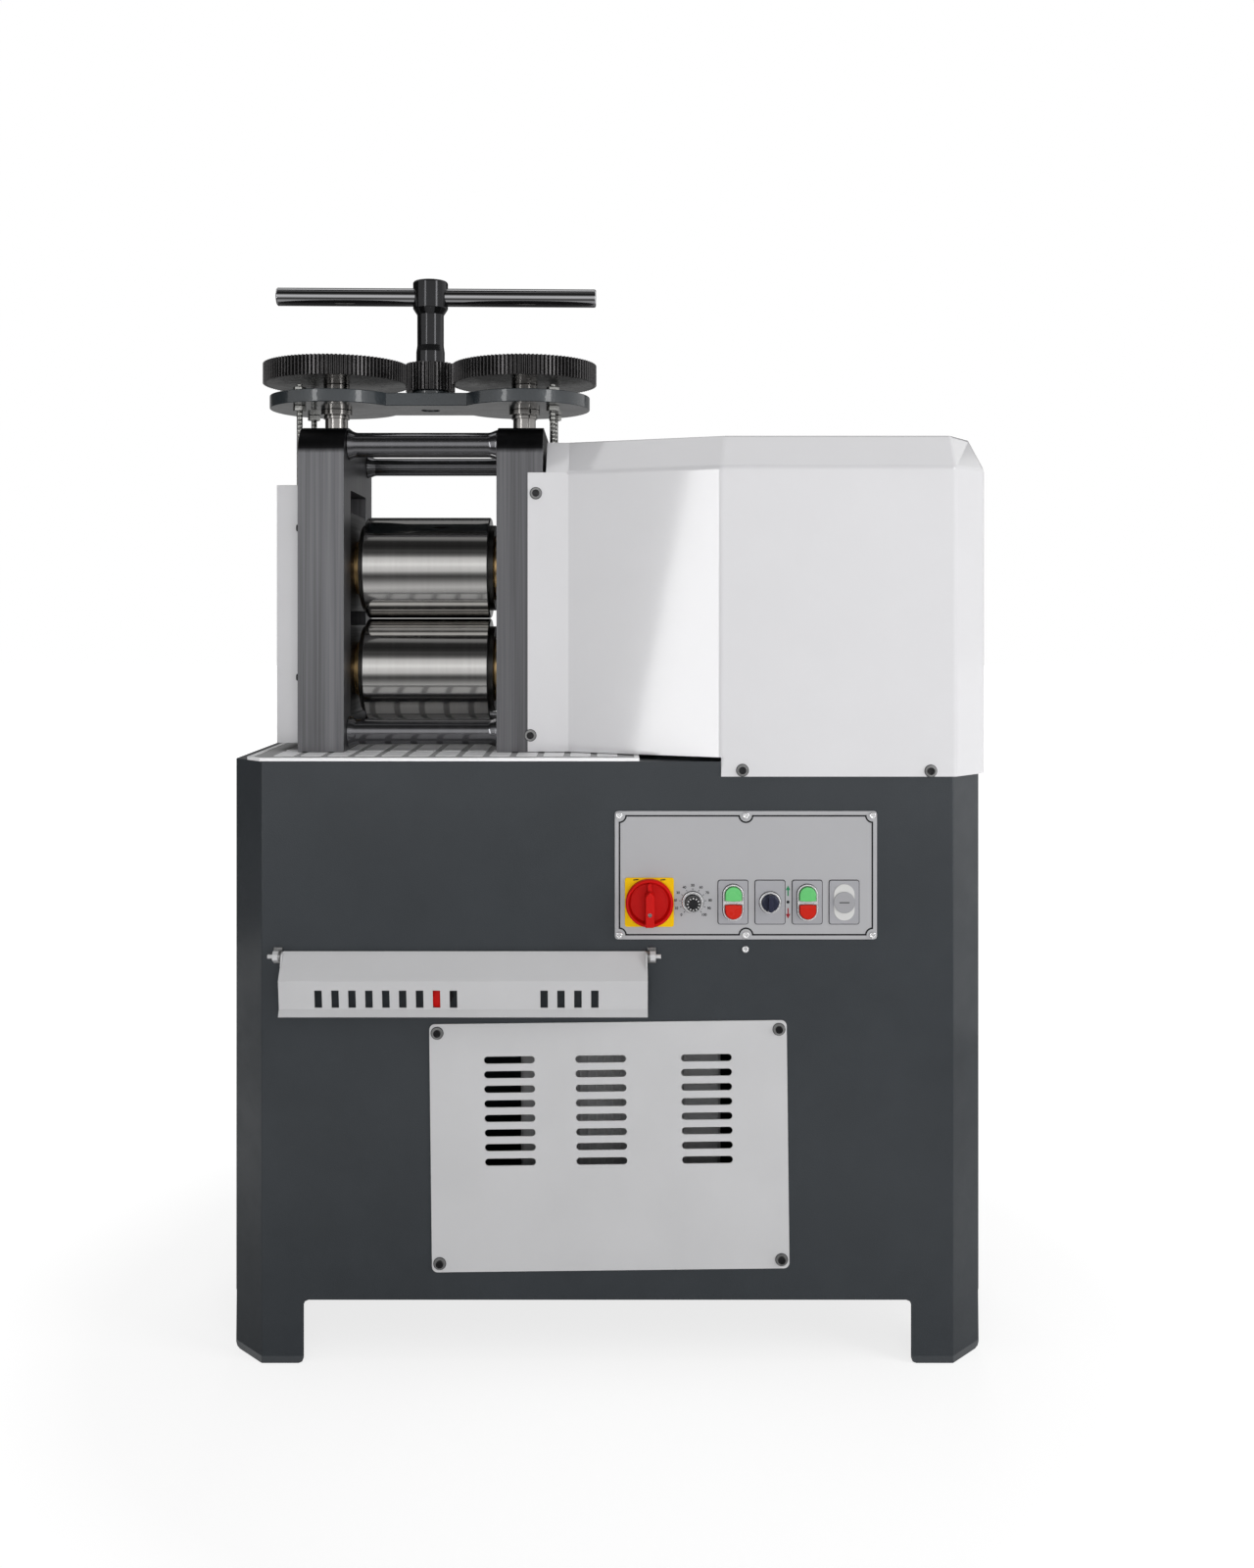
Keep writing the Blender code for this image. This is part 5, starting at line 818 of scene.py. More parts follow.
def dress_copy(node: str, finish: Finishes, width: float, segments: int = 2,
               body: Body = Body.MACHINE, angle: float = 30.0, bend: float = 0.0) -> None:
    """Replace a CAD node by a copy whose edges are eased, in a finish.

    Args:
        node: The CAD node to copy.
        finish: The copy's finish.
        width: Width of each rounded edge.
        segments: Segments across a rounded edge.
        body: The CAD body that it moves with.
        angle: Edges sharper than this many degrees are rounded.
        bend: Width of the rounding along the bends of a sheet, which turn less than its
            rims do, or 0 for the same width everywhere.
    """
    shape = welded(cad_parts[node].data)
    bmesh.ops.dissolve_limit(shape, angle_limit=FLAT_WITHIN, verts=shape.verts,
                             edges=shape.edges)
    if bend:
        round_bends(shape, bend, angle)
    item = mesh_object(node + "_piece", shape)
    modifier = item.modifiers.new("edges", "BEVEL")
    modifier.width = width
    modifier.segments = segments
    modifier.limit_method = "ANGLE"
    modifier.angle_limit = math.radians(angle)
    dress(settle(item), finish, node, body)


def paint_node(node: str, finish: Finishes) -> None:
    """Give a CAD node that stays in view one of the finishes.

    Args:
        node: The CAD node.
        finish: Its finish.
    """
    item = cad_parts[node]
    if not item.material_slots:
        item.data.materials.append(finish.value.material())
    for holder in item.material_slots:
        holder.material = finish.value.material()


class GeometryTree(Wiring):
    """A geometry node tree with named sizes, which ends in one plain mesh."""

    def __init__(self, name: str) -> None:
        """Start a tree of this name with a geometry input and output."""
        super().__init__(bpy.data.node_groups.new(name, "GeometryNodeTree"))
        self.inputs: dict[str, bpy.types.NodeTreeInterfaceSocket] = {}
        for way in ("INPUT", "OUTPUT"):
            self.tree.interface.new_socket("Geometry", in_out=way,
                                           socket_type="NodeSocketGeometry")
        self.entry = self.nodes.new("NodeGroupInput")
        self.exit = self.nodes.new("NodeGroupOutput")
        self.size("Material", "Material")

    def size(self, name: str, kind: str = "Float") -> Socket:
        """Add a named input and return the socket that carries it in the tree."""
        self.inputs[name] = self.tree.interface.new_socket(name, in_out="INPUT",
                                                           socket_type="NodeSocket" + kind)
        return self.entry.outputs[name]

    def host_points(self) -> Socket:
        """Return the points of the mesh that the tree starts from."""
        return self.add("MeshToPoints", "Points", {"Mesh": self.entry.outputs["Geometry"]})

    def rounded_frame(self, width: str, height: str, corner: str, steps: int) -> Socket:
        """Draw a rounded rectangle whose sizes are named inputs.

        Args:
            width: The input for its width.
            height: The input for its height.
            corner: The input for the radius of its corners.
            steps: Points in each corner.

        Returns:
            The closed curve.
        """
        outline = self.add("CurvePrimitiveQuadrilateral", "Curve",
                           {"Width": self.size(width), "Height": self.size(height)})
        return self.add("FilletCurve", "Curve", {"Curve": outline, "Radius": self.size(corner)},
                        {"Count": steps}, mode="POLY")

    def join(self, first: Socket, second: Socket) -> Socket:
        """Join two geometries and return the result."""
        both = self.add("JoinGeometry", "Geometry", {"Geometry": first})
        self.link(second, both.node.inputs["Geometry"])
        return both

    def close(self, geometry: Socket) -> None:
        """End the tree in Realize Instances and Set Material."""
        real = self.add("RealizeInstances", "Geometry", {"Geometry": geometry})
        finished = self.add("SetMaterial", "Geometry",
                            {"Geometry": real, "Material": self.entry.outputs["Material"]})
        self.link(finished, self.exit.inputs["Geometry"])

    def close_in_copies(self, points: Socket, turn: Socket | None = None) -> None:
        """End the tree in a copy of its Template input on each point.

        Args:
            points: The points.
            turn: The rotation of each copy.
        """
        template = self.add("ObjectInfo", "Geometry",
                            {"Object": self.size("Template", "Object")})
        links = {"Points": points, "Instance": template}
        if turn:
            links["Rotation"] = turn
        self.close(self.add("InstanceOnPoints", "Instances", links))

    def run(self, name: str, host: Mesh, finish: Finishes, sizes: dict[str, object]) -> Item:
        """Run the tree and return its result as a plain mesh.

        Args:
            name: The piece's name.
            host: The mesh that the tree starts from.
            finish: The finish that the tree sets.
            sizes: A value for each named input.

        Returns:
            The piece, at the origin.
        """
        item = linked(name, host)
        modifier = item.modifiers.new("tree", "NODES")
        modifier.node_group = self.tree
        modifier[self.inputs["Material"].identifier] = finish.value.material()
        for key, value in sizes.items():
            modifier[self.inputs[key].identifier] = value
        return settle(item)


def point_mesh(name: str, places: Sequence[Point], facing: Point = UPWARD) -> Mesh:
    """Make a mesh of loose points that carry the way they face.

    Args:
        name: The mesh's name.
        places: The points.
        facing: The way that all of them face.

    Returns:
        The mesh.
    """
    mesh = bpy.data.meshes.new(name)
    mesh.from_pydata(places, [], [])
    attribute = mesh.attributes.new("facing", "FLOAT_VECTOR", "POINT")
    for entry in attribute.data:
        entry.vector = facing
    return mesh


def scatter_tree() -> GeometryTree:
    """Return the tree that sets a copy of a piece on each point, facing its way."""
    tree = GeometryTree("fastener_scatter")
    facing = tree.add("InputNamedAttribute", "Attribute", values={"Name": "facing"},
                      data_type="FLOAT_VECTOR")
    turn = tree.add("FunctionNodeAlignRotationToVector", "Rotation", {"Vector": facing},
                    axis="Z")
    tree.close_in_copies(tree.host_points(), turn)
    return tree


def ring_tree() -> GeometryTree:
    """Return the tree that repeats a piece round the local Z axis."""
    tree = GeometryTree("ring_of_copies")
    points = tree.add("Points", "Points", {"Count": tree.size("Count", "Int")})
    angle = tree.add("ShaderNodeMath", "Value",
                     {0: tree.add("InputIndex", "Index"), 1: tree.size("Step"),
                      2: tree.size("First Angle")}, operation="MULTIPLY_ADD")
    tree.close_in_copies(points, tree.add("ShaderNodeCombineXYZ", "Vector", {"Z": angle}))
    return tree


def grid_tree() -> GeometryTree:
    """Return the tree that sets copies of a piece on a flat grid."""
    tree = GeometryTree("grid_of_copies")
    grid = tree.add("MeshGrid", "Mesh", {
        "Size X": tree.size("Span X"), "Size Y": tree.size("Span Y"),
        "Vertices X": tree.size("Columns", "Int"), "Vertices Y": tree.size("Rows", "Int")})
    tree.close_in_copies(tree.add("MeshToPoints", "Points", {"Mesh": grid}))
    return tree


def thread_tree() -> GeometryTree:
    """Return the tree that winds a screw thread round the local Z axis."""
    tree = GeometryTree("screw_thread")
    radius, length = tree.size("Radius"), tree.size("Length")
    turns = tree.add("ShaderNodeMath", "Value", {0: length, 1: tree.size("Pitch")},
                     operation="DIVIDE")
    spiral = tree.add("CurveSpiral", "Curve", {"Rotations": turns, "Start Radius": radius,
                                               "End Radius": radius, "Height": length},
                      {"Resolution": 14})
    ridge = tree.add("CurvePrimitiveCircle", "Curve", {"Radius": tree.size("Ridge")},
                     {"Resolution": 4}, mode="RADIUS")
    tree.close(tree.add("CurveToMesh", "Mesh", {"Curve": spiral, "Profile Curve": ridge},
                        {"Fill Caps": True}))
    return tree


def louvre_tree() -> GeometryTree:
    """Return the tree that makes a sheet with a slot at each point of its host."""
    tree = GeometryTree("louvred_sheet")
    corners = tree.rounded_frame("Width", "Height", "Corner", 6)
    slot = tree.rounded_frame("Slot Length", "Slot Width", "Slot End", 8)
    slots = tree.add("InstanceOnPoints", "Instances",
                     {"Points": tree.host_points(), "Instance": slot})
    real = tree.add("RealizeInstances", "Geometry", {"Geometry": slots})
    face = tree.add("FillCurve", "Mesh", {"Curve": tree.join(corners, real)})
    front = tree.add("ExtrudeMesh", "Mesh",
                     {"Mesh": face, "Offset Scale": tree.size("Thickness")},
                     {"Individual": False}, mode="FACES")
    back = tree.add("FlipFaces", "Mesh", {"Mesh": face})
    tree.close(tree.add("MergeByDistance", "Geometry", {"Geometry": tree.join(front, back)},
                        {"Distance": MERGE}))
    return tree


@dataclass
class Fasteners:
    """Screws, washers and nuts, modelled once along local Z with the seat at zero.

    A seal and a washer are given as radius, bore and height, a head as radius and height.
    """

    socket_share: float = 0.55
    recess: float = 0.0014
    ease: float = 0.0005
    arm_share: float = 0.55
    groove_share: float = 0.14
    seal_and_shadow_rim: Point = (0.0090, 0.003, 0.0010)
    washer: Point = (0.0080, 0.003, 0.0014)
    washer_seat: float = 0.0008
    head: Flat = (0.0052, 0.0032)
    head_seat: float = 0.0020

    def screw(self, radius: float, height: float, recess: Sequence[Flat], depth: float,
              ease: float) -> Item:
        """Make a round screw head with a recess.

        Args:
            radius: The head's radius.
            height: The head's height.
            recess: The recess's outline.
            depth: The recess's depth.
            ease: Rounding of the head's rims.

        Returns:
            The head.
        """
        rim = plate("head_rim", [circle(radius, 40), recess], height, Axis.Z,
                    (0, 0, height / 2), ease)
        floor = plate("head_floor", [circle(radius * 0.8, 24)], height - depth, Axis.Z,
                      (0, 0, (height - depth) / 2))
        return joined("screw_head", [rim, floor])

    def socket_screw(self, radius: float, height: float) -> Item:
        """Return a button-head screw with a hexagon socket."""
        return self.screw(radius, height, circle(radius * self.socket_share, 6), self.recess,
                          self.ease)

    def cross_screw(self, radius: float, height: float) -> Item:
        """Return a pan-head screw with a cross recess."""
        arm, half = radius * self.arm_share, radius * self.groove_share
        cross = [(arm, -half), (arm, half), (half, half), (half, arm), (-half, arm),
                 (-half, half), (-arm, half), (-arm, -half), (-half, -half), (-half, -arm),
                 (half, -arm), (half, -half)]
        return self.screw(radius, height, cross, height * 0.4, height * 0.4)

    def flat_washer(self, radius: float, bore: float, height: float) -> Item:
        """Return a flat washer with rounded rims."""
        return plate("washer", [circle(radius, 48), circle(bore, 32)], height, Axis.Z,
                     (0, 0, height / 2), height * 0.3)

    def hex_nut(self, flats: float, height: float, bore: float) -> Item:
        """Make a hexagon nut with chamfered corners, centred on its height.

        Args:
            flats: Its width across the flats.
            height: Its full height.
            bore: Radius of its hole.

        Returns:
            The nut.
        """
        half, face, shoulder = flats / 2, height / 2, height * 0.4
        body = plate("hex_nut", [circle(half / math.cos(math.pi / 6), 6), circle(bore, 24)],
                     height, edge=height * 0.08)
        ring = lathe("nut_face", [(bore, face), (half * 0.92, face), (half * 0.96, shoulder),
                                  (bore, shoulder), (bore, face)], Axis.Z, (0, 0, 0), 0.0, 32)
        return joined("hex_nut", [body, ring])


@dataclass
class Toolbox:
    """The fasteners and the geometry node trees that the sub-assemblies share."""

    shop: Fasteners = field(default_factory=Fasteners)
    scatter: GeometryTree = field(default_factory=scatter_tree)
    ring: GeometryTree = field(default_factory=ring_tree)
    grid: GeometryTree = field(default_factory=grid_tree)
    thread: GeometryTree = field(default_factory=thread_tree)
    louvres: GeometryTree = field(default_factory=louvre_tree)

    def spread(self, name: str, template: Item, places: Sequence[Point], facing: Point,
               finish: Finishes, body: Body = Body.MACHINE) -> None:
        """Set copies of a template on points and dress them as one piece.

        Args:
            name: The piece's name.
            template: The piece to copy, modelled along local Z, which is removed.
            places: Where each copy goes.
            facing: The way that all of them face.
            finish: Their finish.
            body: The body that carries them.
        """
        copies = self.scatter.run(name, point_mesh(name, places, facing), finish,
                                  {"Template": template})
        discard(template)
        dress(copies, finish, body=body)

    def around(self, name: str, template: Item, count: int, step: float, first: float,
               matrix: Matrix, finish: Finishes) -> Item:
        """Repeat a template round an axis.

        Args:
            name: The piece's name.
            template: The piece to copy, which is removed.
            count: How many copies.
            step: Angle from one to the next.
            first: Angle of the first one.
            matrix: Where the axis is.
            finish: The finish that the tree sets.

        Returns:
            The copies as one piece, in place.
        """
        copies = self.ring.run(name, bpy.data.meshes.new(name), finish,
                               {"Template": template, "Count": count, "Step": step,
                                "First Angle": first})
        discard(template)
        copies.data.transform(matrix)
        return copies

    def washered_screws(self, label: str, places: Sequence[Point], facing: Point) -> None:
        """Add a dark seal, a washer and a socket screw at each place.

        Args:
            label: What the three pieces' names start with.
            places: Where the screws go.
            facing: The way that they face.
        """
        shop = self.shop
        for kind, template, seat, finish in (
                ("seals", shop.flat_washer(*shop.seal_and_shadow_rim), 0.0, Finishes.RUBBER),
                ("washers", shop.flat_washer(*shop.washer), shop.washer_seat, Finishes.WASHER),
                ("screws", shop.socket_screw(*shop.head), shop.head_seat, Finishes.OXIDE)):
            seats = [Vector(place) + Vector(facing) * seat for place in places]
            self.spread(f"{label}_{kind}", template, seats, facing, finish)


def involute(angle: float) -> float:
    """Return the involute function of a pressure angle."""
    return math.tan(angle) - angle


@dataclass
class ToothedWheel:
    """A spur gear: a turned blank and a ring of involute teeth.

    The dedendum and the blank's edge are given over the module.
    """

    teeth: int
    module: float
    first_angle: float
    backlash: float = 0.0004
    pressure: float = math.radians(20)
    dedendum: float = 1.25
    tooth_ease: float = 0.00018
    blank_edge: float = 0.35

    def tooth_outline(self) -> list[Flat]:
        """Return one tooth's outline, standing along local X."""
        pitch_radius = self.module * self.teeth / 2
        base = pitch_radius * math.cos(self.pressure)
        root, tip = pitch_radius - self.dedendum * self.module, pitch_radius + self.module
        half = math.pi / (2 * self.teeth) - self.backlash / (4 * pitch_radius)
        flank = []
        for i in range(6):
            radius = root + (tip - root) * i / 5
            angle = half + involute(self.pressure) - involute(math.acos(min(1, base / radius)))
            flank.append((radius, angle))
        flank.insert(0, (root - self.module / 2, flank[0][1]))
        upper = [(r * math.cos(a), r * math.sin(a)) for r, a in flank]
        return upper + [(x, -y) for x, y in reversed(upper)]

    def build(self, node: str, tools: Toolbox, bore: float, body: Body) -> None:
        """Make the wheel in a CAD node's place.

        Args:
            node: The CAD node that it replaces.
            tools: The shared trees.
            bore: Radius of its hole.
            body: The body that it moves with.
        """
        box = Box.of(node)
        tooth = plate(node + "_tooth", [self.tooth_outline()], box.size.z, edge=self.tooth_ease)
        teeth = tools.around(node + "_teeth", tooth, self.teeth, FULL_TURN / self.teeth,
                             self.first_angle, Matrix.Translation(box.centre), Finishes.GEAR)
        root = self.module * (self.teeth / 2 - self.dedendum)
        half = box.size.z / 2
        edge = self.module * self.blank_edge
        blank = lathe(node + "_blank",
                      [(bore, half), (root - edge, half), (root, half - edge),
                       (root, edge - half), (root - edge, -half), (bore, -half),
                       (bore, half)],
                      Axis.Z, box.centre, 0.0, 96)
        dress(joined(node + "_piece", [teeth, blank]), Finishes.GEAR, node, body)


@dataclass
class Cabinet:
    """Folded cabinet, vent sheet, drip tray and the electrical drive inside."""

    tools: Toolbox
    fold: float = 0.0016
    bend: float = 0.004
    bend_angle: float = 25.0
    vent_width: float = 0.503
    vent_height: float = 0.349
    vent_corner: float = 0.008
    vent_tilt: float = math.radians(-0.66)
    slot_length: float = 0.0715
    slot_width: float = 0.0103
    slot_pitch: float = 0.0205
    slot_rows: int = 8
    slot_columns: tuple[float, ...] = (-0.1393, -0.0107, 0.1379)
    slot_top: float = 0.123
    slot_end_share: float = 0.499
    screw_inset: Flat = (0.011, 0.0125)
    tray_chamfer: float = 0.023
    inner_chamfer_share: float = 0.75
    tray_border: float = 0.007
    tray_margin: float = 0.02
    tray_ease: float = 0.0006
    pad_pitch: Flat = (0.0386, 0.107)
    pad_gap: Flat = (0.0095, 0.013)
    pad_corner: float = 0.002
    outer_pad_depth: float = 0.069
    pad_rise: float = 0.0009
    pad_shift: float = 0.002
    case_ease: float = 0.0012
    rib: Point = (0.004, 0.006, 0.0015)
    rib_pitch: float = 0.012
    rib_count: int = 19
    rib_inset: Flat = (0.03, 0.045)
    rib_lift: float = 0.025
    terminal: Point = (0.010, 0.022, 0.012)
    terminal_corner: float = 0.001
    terminal_pitch: float = 0.0115
    terminal_count: int = 19
    terminal_place: Flat = (0.04, 0.045)
    small_ease: float = 0.0008

    def build(self) -> None:
        """Build every piece of the cabinet."""
        dress_copy("cabinet_shell", Finishes.CABINET, self.fold, 3,
                   angle=self.bend_angle, bend=self.bend)
        paint_node("cabinet_top_plate", Finishes.CABINET)
        paint_node("base_shelf", Finishes.CABINET)
        self.vent()
        self.tray()
        self.electrical_drive()

    def vent(self) -> None:
        """Make the louvred sheet and its four screws with rubber washers."""
        box = Box.of("vent_cover")
        places = [(x, self.slot_top - row * self.slot_pitch, 0.0)
                  for x in self.slot_columns for row in range(self.slot_rows)]
        sheet = self.tools.louvres.run("vent_sheet", point_mesh("vent_points", places),
                                       Finishes.SHEET, {
            "Width": self.vent_width, "Height": self.vent_height, "Corner": self.vent_corner,
            "Slot Length": self.slot_length, "Slot Width": self.slot_width,
            "Slot End": self.slot_width * self.slot_end_share, "Thickness": box.size.y})
        turn = (Axis.FRONT.at((box.centre.x, box.high.y, box.centre.z))
                @ Matrix.Rotation(-self.vent_tilt, 4, "Z"))
        sheet.data.transform(turn)
        dress(sheet, Finishes.SHEET, "vent_cover")
        x = self.vent_width / 2 - self.screw_inset[0]
        y = self.vent_height / 2 - self.screw_inset[1]
        self.tools.washered_screws("vent", [turn @ Vector((a * x, b * y, box.size.y))
                                            for a in (-1, 1) for b in (-1, 1)], FRONTWARD)

    def tray_outline(self, low: Vector, high: Vector, cut: float) -> list[Flat]:
        """Return a rectangle's outline with its two left corners cut off."""
        return [(low.x + cut, low.y), (high.x, low.y), (high.x, high.y), (low.x + cut, high.y),
                (low.x, high.y - cut), (low.x, low.y + cut)]

    def tray(self) -> None:
        """Make the drip tray: a border, grey channels and white pads between them."""
        box = Box.of("drip_tray")
        inset = Vector((self.tray_border, self.tray_border, 0))
        window = self.tray_outline(box.low + inset, box.high - inset,
                                   self.tray_chamfer * self.inner_chamfer_share)
        border = plate("tray_border",
                       [self.tray_outline(box.low, box.high, self.tray_chamfer), window],
                       box.size.z, Axis.Z, (0, 0, box.centre.z), self.tray_ease)
        dress(border, Finishes.TRAY, "drip_tray")
        sunk = box.size.z - self.pad_rise
        channel = plate("tray_channels", [window], sunk, Axis.Z, (0, 0, box.low.z + sunk / 2))
        dress(channel, Finishes.TRAY_LINES)
        pitch_x, pitch_y = self.pad_pitch
        columns = int((box.size.x - 2 * self.tray_border - self.tray_margin) / pitch_x)
        inner = pitch_y - self.pad_gap[1]
        outer = pitch_y + inner / 2 + self.pad_gap[1] + self.outer_pad_depth / 2
        layers = []
        for label, depth, spread in (("inner", inner, pitch_y),
                                     ("outer", self.outer_pad_depth, 2 * outer - pitch_y)):
            outline = rounded(pitch_x - self.pad_gap[0], depth, self.pad_corner, 3)
            pad = plate("pad", [outline], self.pad_rise, edge=self.pad_rise * 0.3)
            layers.append(self.tools.grid.run(
                f"tray_{label}_pads", bpy.data.meshes.new("tray_host"), Finishes.TRAY,
                {"Template": pad, "Span X": (columns - 1) * pitch_x, "Span Y": spread,
                 "Columns": columns, "Rows": 2}))
            discard(pad)
        pads = joined("tray_pads", layers)
        pads.data.transform(Matrix.Translation((box.centre.x + self.pad_shift, box.centre.y,
                                                box.high.z - self.pad_rise / 2)))
        dress(pads, Finishes.TRAY)

    def electrical_drive(self) -> None:
        """Make the electrical drive behind the louvres, with its ribs and terminals."""
        box = Box.of("inverter_box")
        dress_copy("inverter_box", Finishes.CASE, self.case_ease)
        width, depth, corner = self.rib
        side, end = self.rib_inset
        rib = plate("rib", [rounded(width, box.size.z - 2 * end, corner, 3)], depth, Axis.FRONT,
                    (0, 0, 0), self.small_ease)
        ribs = [(box.low.x + side + self.rib_pitch * i, box.low.y - depth / 2,
                 box.centre.z + self.rib_lift)
                for i in range(self.rib_count)]
        self.tools.spread("cooling_ribs", rib, ribs, UPWARD, Finishes.CASE)
        width, height, depth = self.terminal
        block = plate("terminal", [rounded(width, height, self.terminal_corner, 2)], depth,
                      Axis.FRONT, (0, 0, 0), self.small_ease)
        strip = [(box.low.x + self.terminal_place[0] + self.terminal_pitch * i,
                  box.low.y - depth / 2, box.low.z + self.terminal_place[1])
                 for i in range(self.terminal_count)]
        self.tools.spread("terminal_strip", block, strip, UPWARD, Finishes.COPPER_TERMINAL)


@dataclass
class RollStand:
    """Window housings, tie bars, bearing blocks, bushes and the two rolls."""

    housing_ease: float = 0.0014
    block_ease: float = 0.0012
    gear_ease: float = 0.0006
    flare: float = 0.004
    flare_length: float = 0.012
    foot_length: float = 0.002
    bar_ease: float = 0.003
    shoulder_length: float = 0.007
    shoulder_radius: float = 0.066
    journal_radius: float = 0.030
    stub_radius: float = 0.020
    bush_bore: float = 0.0306
    bush_radius: float = 0.0406
    flange_length: float = 0.0044
    gear_bore: float = 0.023
    roll_face: float = 0.190
    roll_edge: float = 0.0016
    roll_ease: float = 0.0005
    centre_hole: Flat = (0.005, 0.006)

    def build(self) -> None:
        """Build every piece of the stand."""
        levels = (("lower", Body.MACHINE), ("upper", Body.CARRIAGE))
        for side in ("left", "right"):
            dress_copy(side + "_housing", Finishes.HOUSING, self.housing_ease, 3)
            for level, body in levels:
                # The blocks' finish carries painted shade for the housing windows.
                dress_copy(f"{side}_{level}_block", Finishes.BLOCK, self.block_ease, 2, body)
            for level, body in levels:
                self.bush(f"{side}_{level}_bush", body)
        for level in ("upper", "lower"):
            for end in ("front", "rear"):
                self.tie_bar(f"{end}_{level}_tie_bar")
        rolls = (("bottom_roll", Body.BOTTOM_ROLL), ("top_roll", Body.TOP_ROLL))
        for node, body in rolls:
            self.roll(node, body)
        for node, body in rolls:
            dress_copy(node + "_gear", Finishes.GEAR, self.gear_ease, 1, body)

    def tie_bar(self, node: str) -> None:
        """Make one turned bar with a flared foot at each end.

        Args:
            node: The CAD node that it replaces.
        """
        box = Box.of(node)
        half, foot = box.size.x / 2, box.size.z / 2
        radius = foot - self.flare
        profile = [(0, half), (foot, half), (foot, half - self.foot_length),
                   (radius, half - self.flare_length), (radius, self.flare_length - half),
                   (foot, self.foot_length - half), (foot, -half), (0, -half)]
        dress(lathe(node + "_piece", profile, Axis.X, box.centre, self.bar_ease),
              Finishes.TIE_BAR, node)

    def bush(self, node: str, body: Body) -> None:
        """Make one bush with its flange on the side of the rolls.

        Args:
            node: The CAD node that it replaces.
            body: The body that it moves with.
        """
        box = Box.of(node)
        flange = box.size.z / 2
        inward = 1 if node.startswith("left") else -1
        face = inward * box.size.x / 2
        step = face - inward * self.flange_length
        profile = [(self.bush_bore, -face), (self.bush_radius, -face), (self.bush_radius, step),
                   (flange, step), (flange, face), (self.bush_bore, face),
                   (self.bush_bore, -face)]
        dress(lathe(node + "_piece", profile, Axis.X, box.centre, 0.0006), Finishes.BRONZE,
              node, body)

    def roll(self, node: str, body: Body) -> None:
        """Make one ground roll with its journals, shoulders and centre holes.

        Args:
            node: The CAD node that it replaces.
            body: The body that it moves with.
        """
        box = Box.of(node)
        middle = Box.of("bridge_plate").centre.x
        left, right = box.low.x - middle, box.high.x - middle
        face, roll_radius = self.roll_face / 2, box.size.z / 2
        shoulder = face + self.shoulder_length
        seat = Box.of("top_roll_gear").low.x - middle - CLEARANCE
        place = (middle, box.centre.y, box.centre.z)
        hole, depth = self.centre_hole
        points = [(0, right - depth), (hole, right)]
        if node == "bottom_roll":
            step = Box.of("bottom_roll_gear").high.x - middle
            points += [(self.stub_radius, right), (self.stub_radius, step)]
            points.append((self.gear_bore, step))
        else:
            points.append((self.gear_bore, right))
        points += [(self.gear_bore, seat), (self.journal_radius, seat),
                   (self.journal_radius, shoulder), (self.shoulder_radius, shoulder),
                   (self.shoulder_radius, -shoulder), (self.journal_radius, -shoulder),
                   (self.journal_radius, left), (hole, left), (0, left + depth)]
        dress(lathe(node + "_core", points, Axis.X, place, self.roll_ease, 96),
              Finishes.JOURNAL, node, body)
        edge = self.roll_edge
        inner = self.shoulder_radius - edge
        barrel = [(inner, face), (roll_radius - edge, face), (roll_radius, face - edge),
                  (roll_radius, edge - face), (roll_radius - edge, -face), (inner, -face),
                  (inner, face)]
        dress(lathe(node + "_barrel", barrel, Axis.X, place, self.roll_ease, 144),
              Finishes.ROLL, body=body)


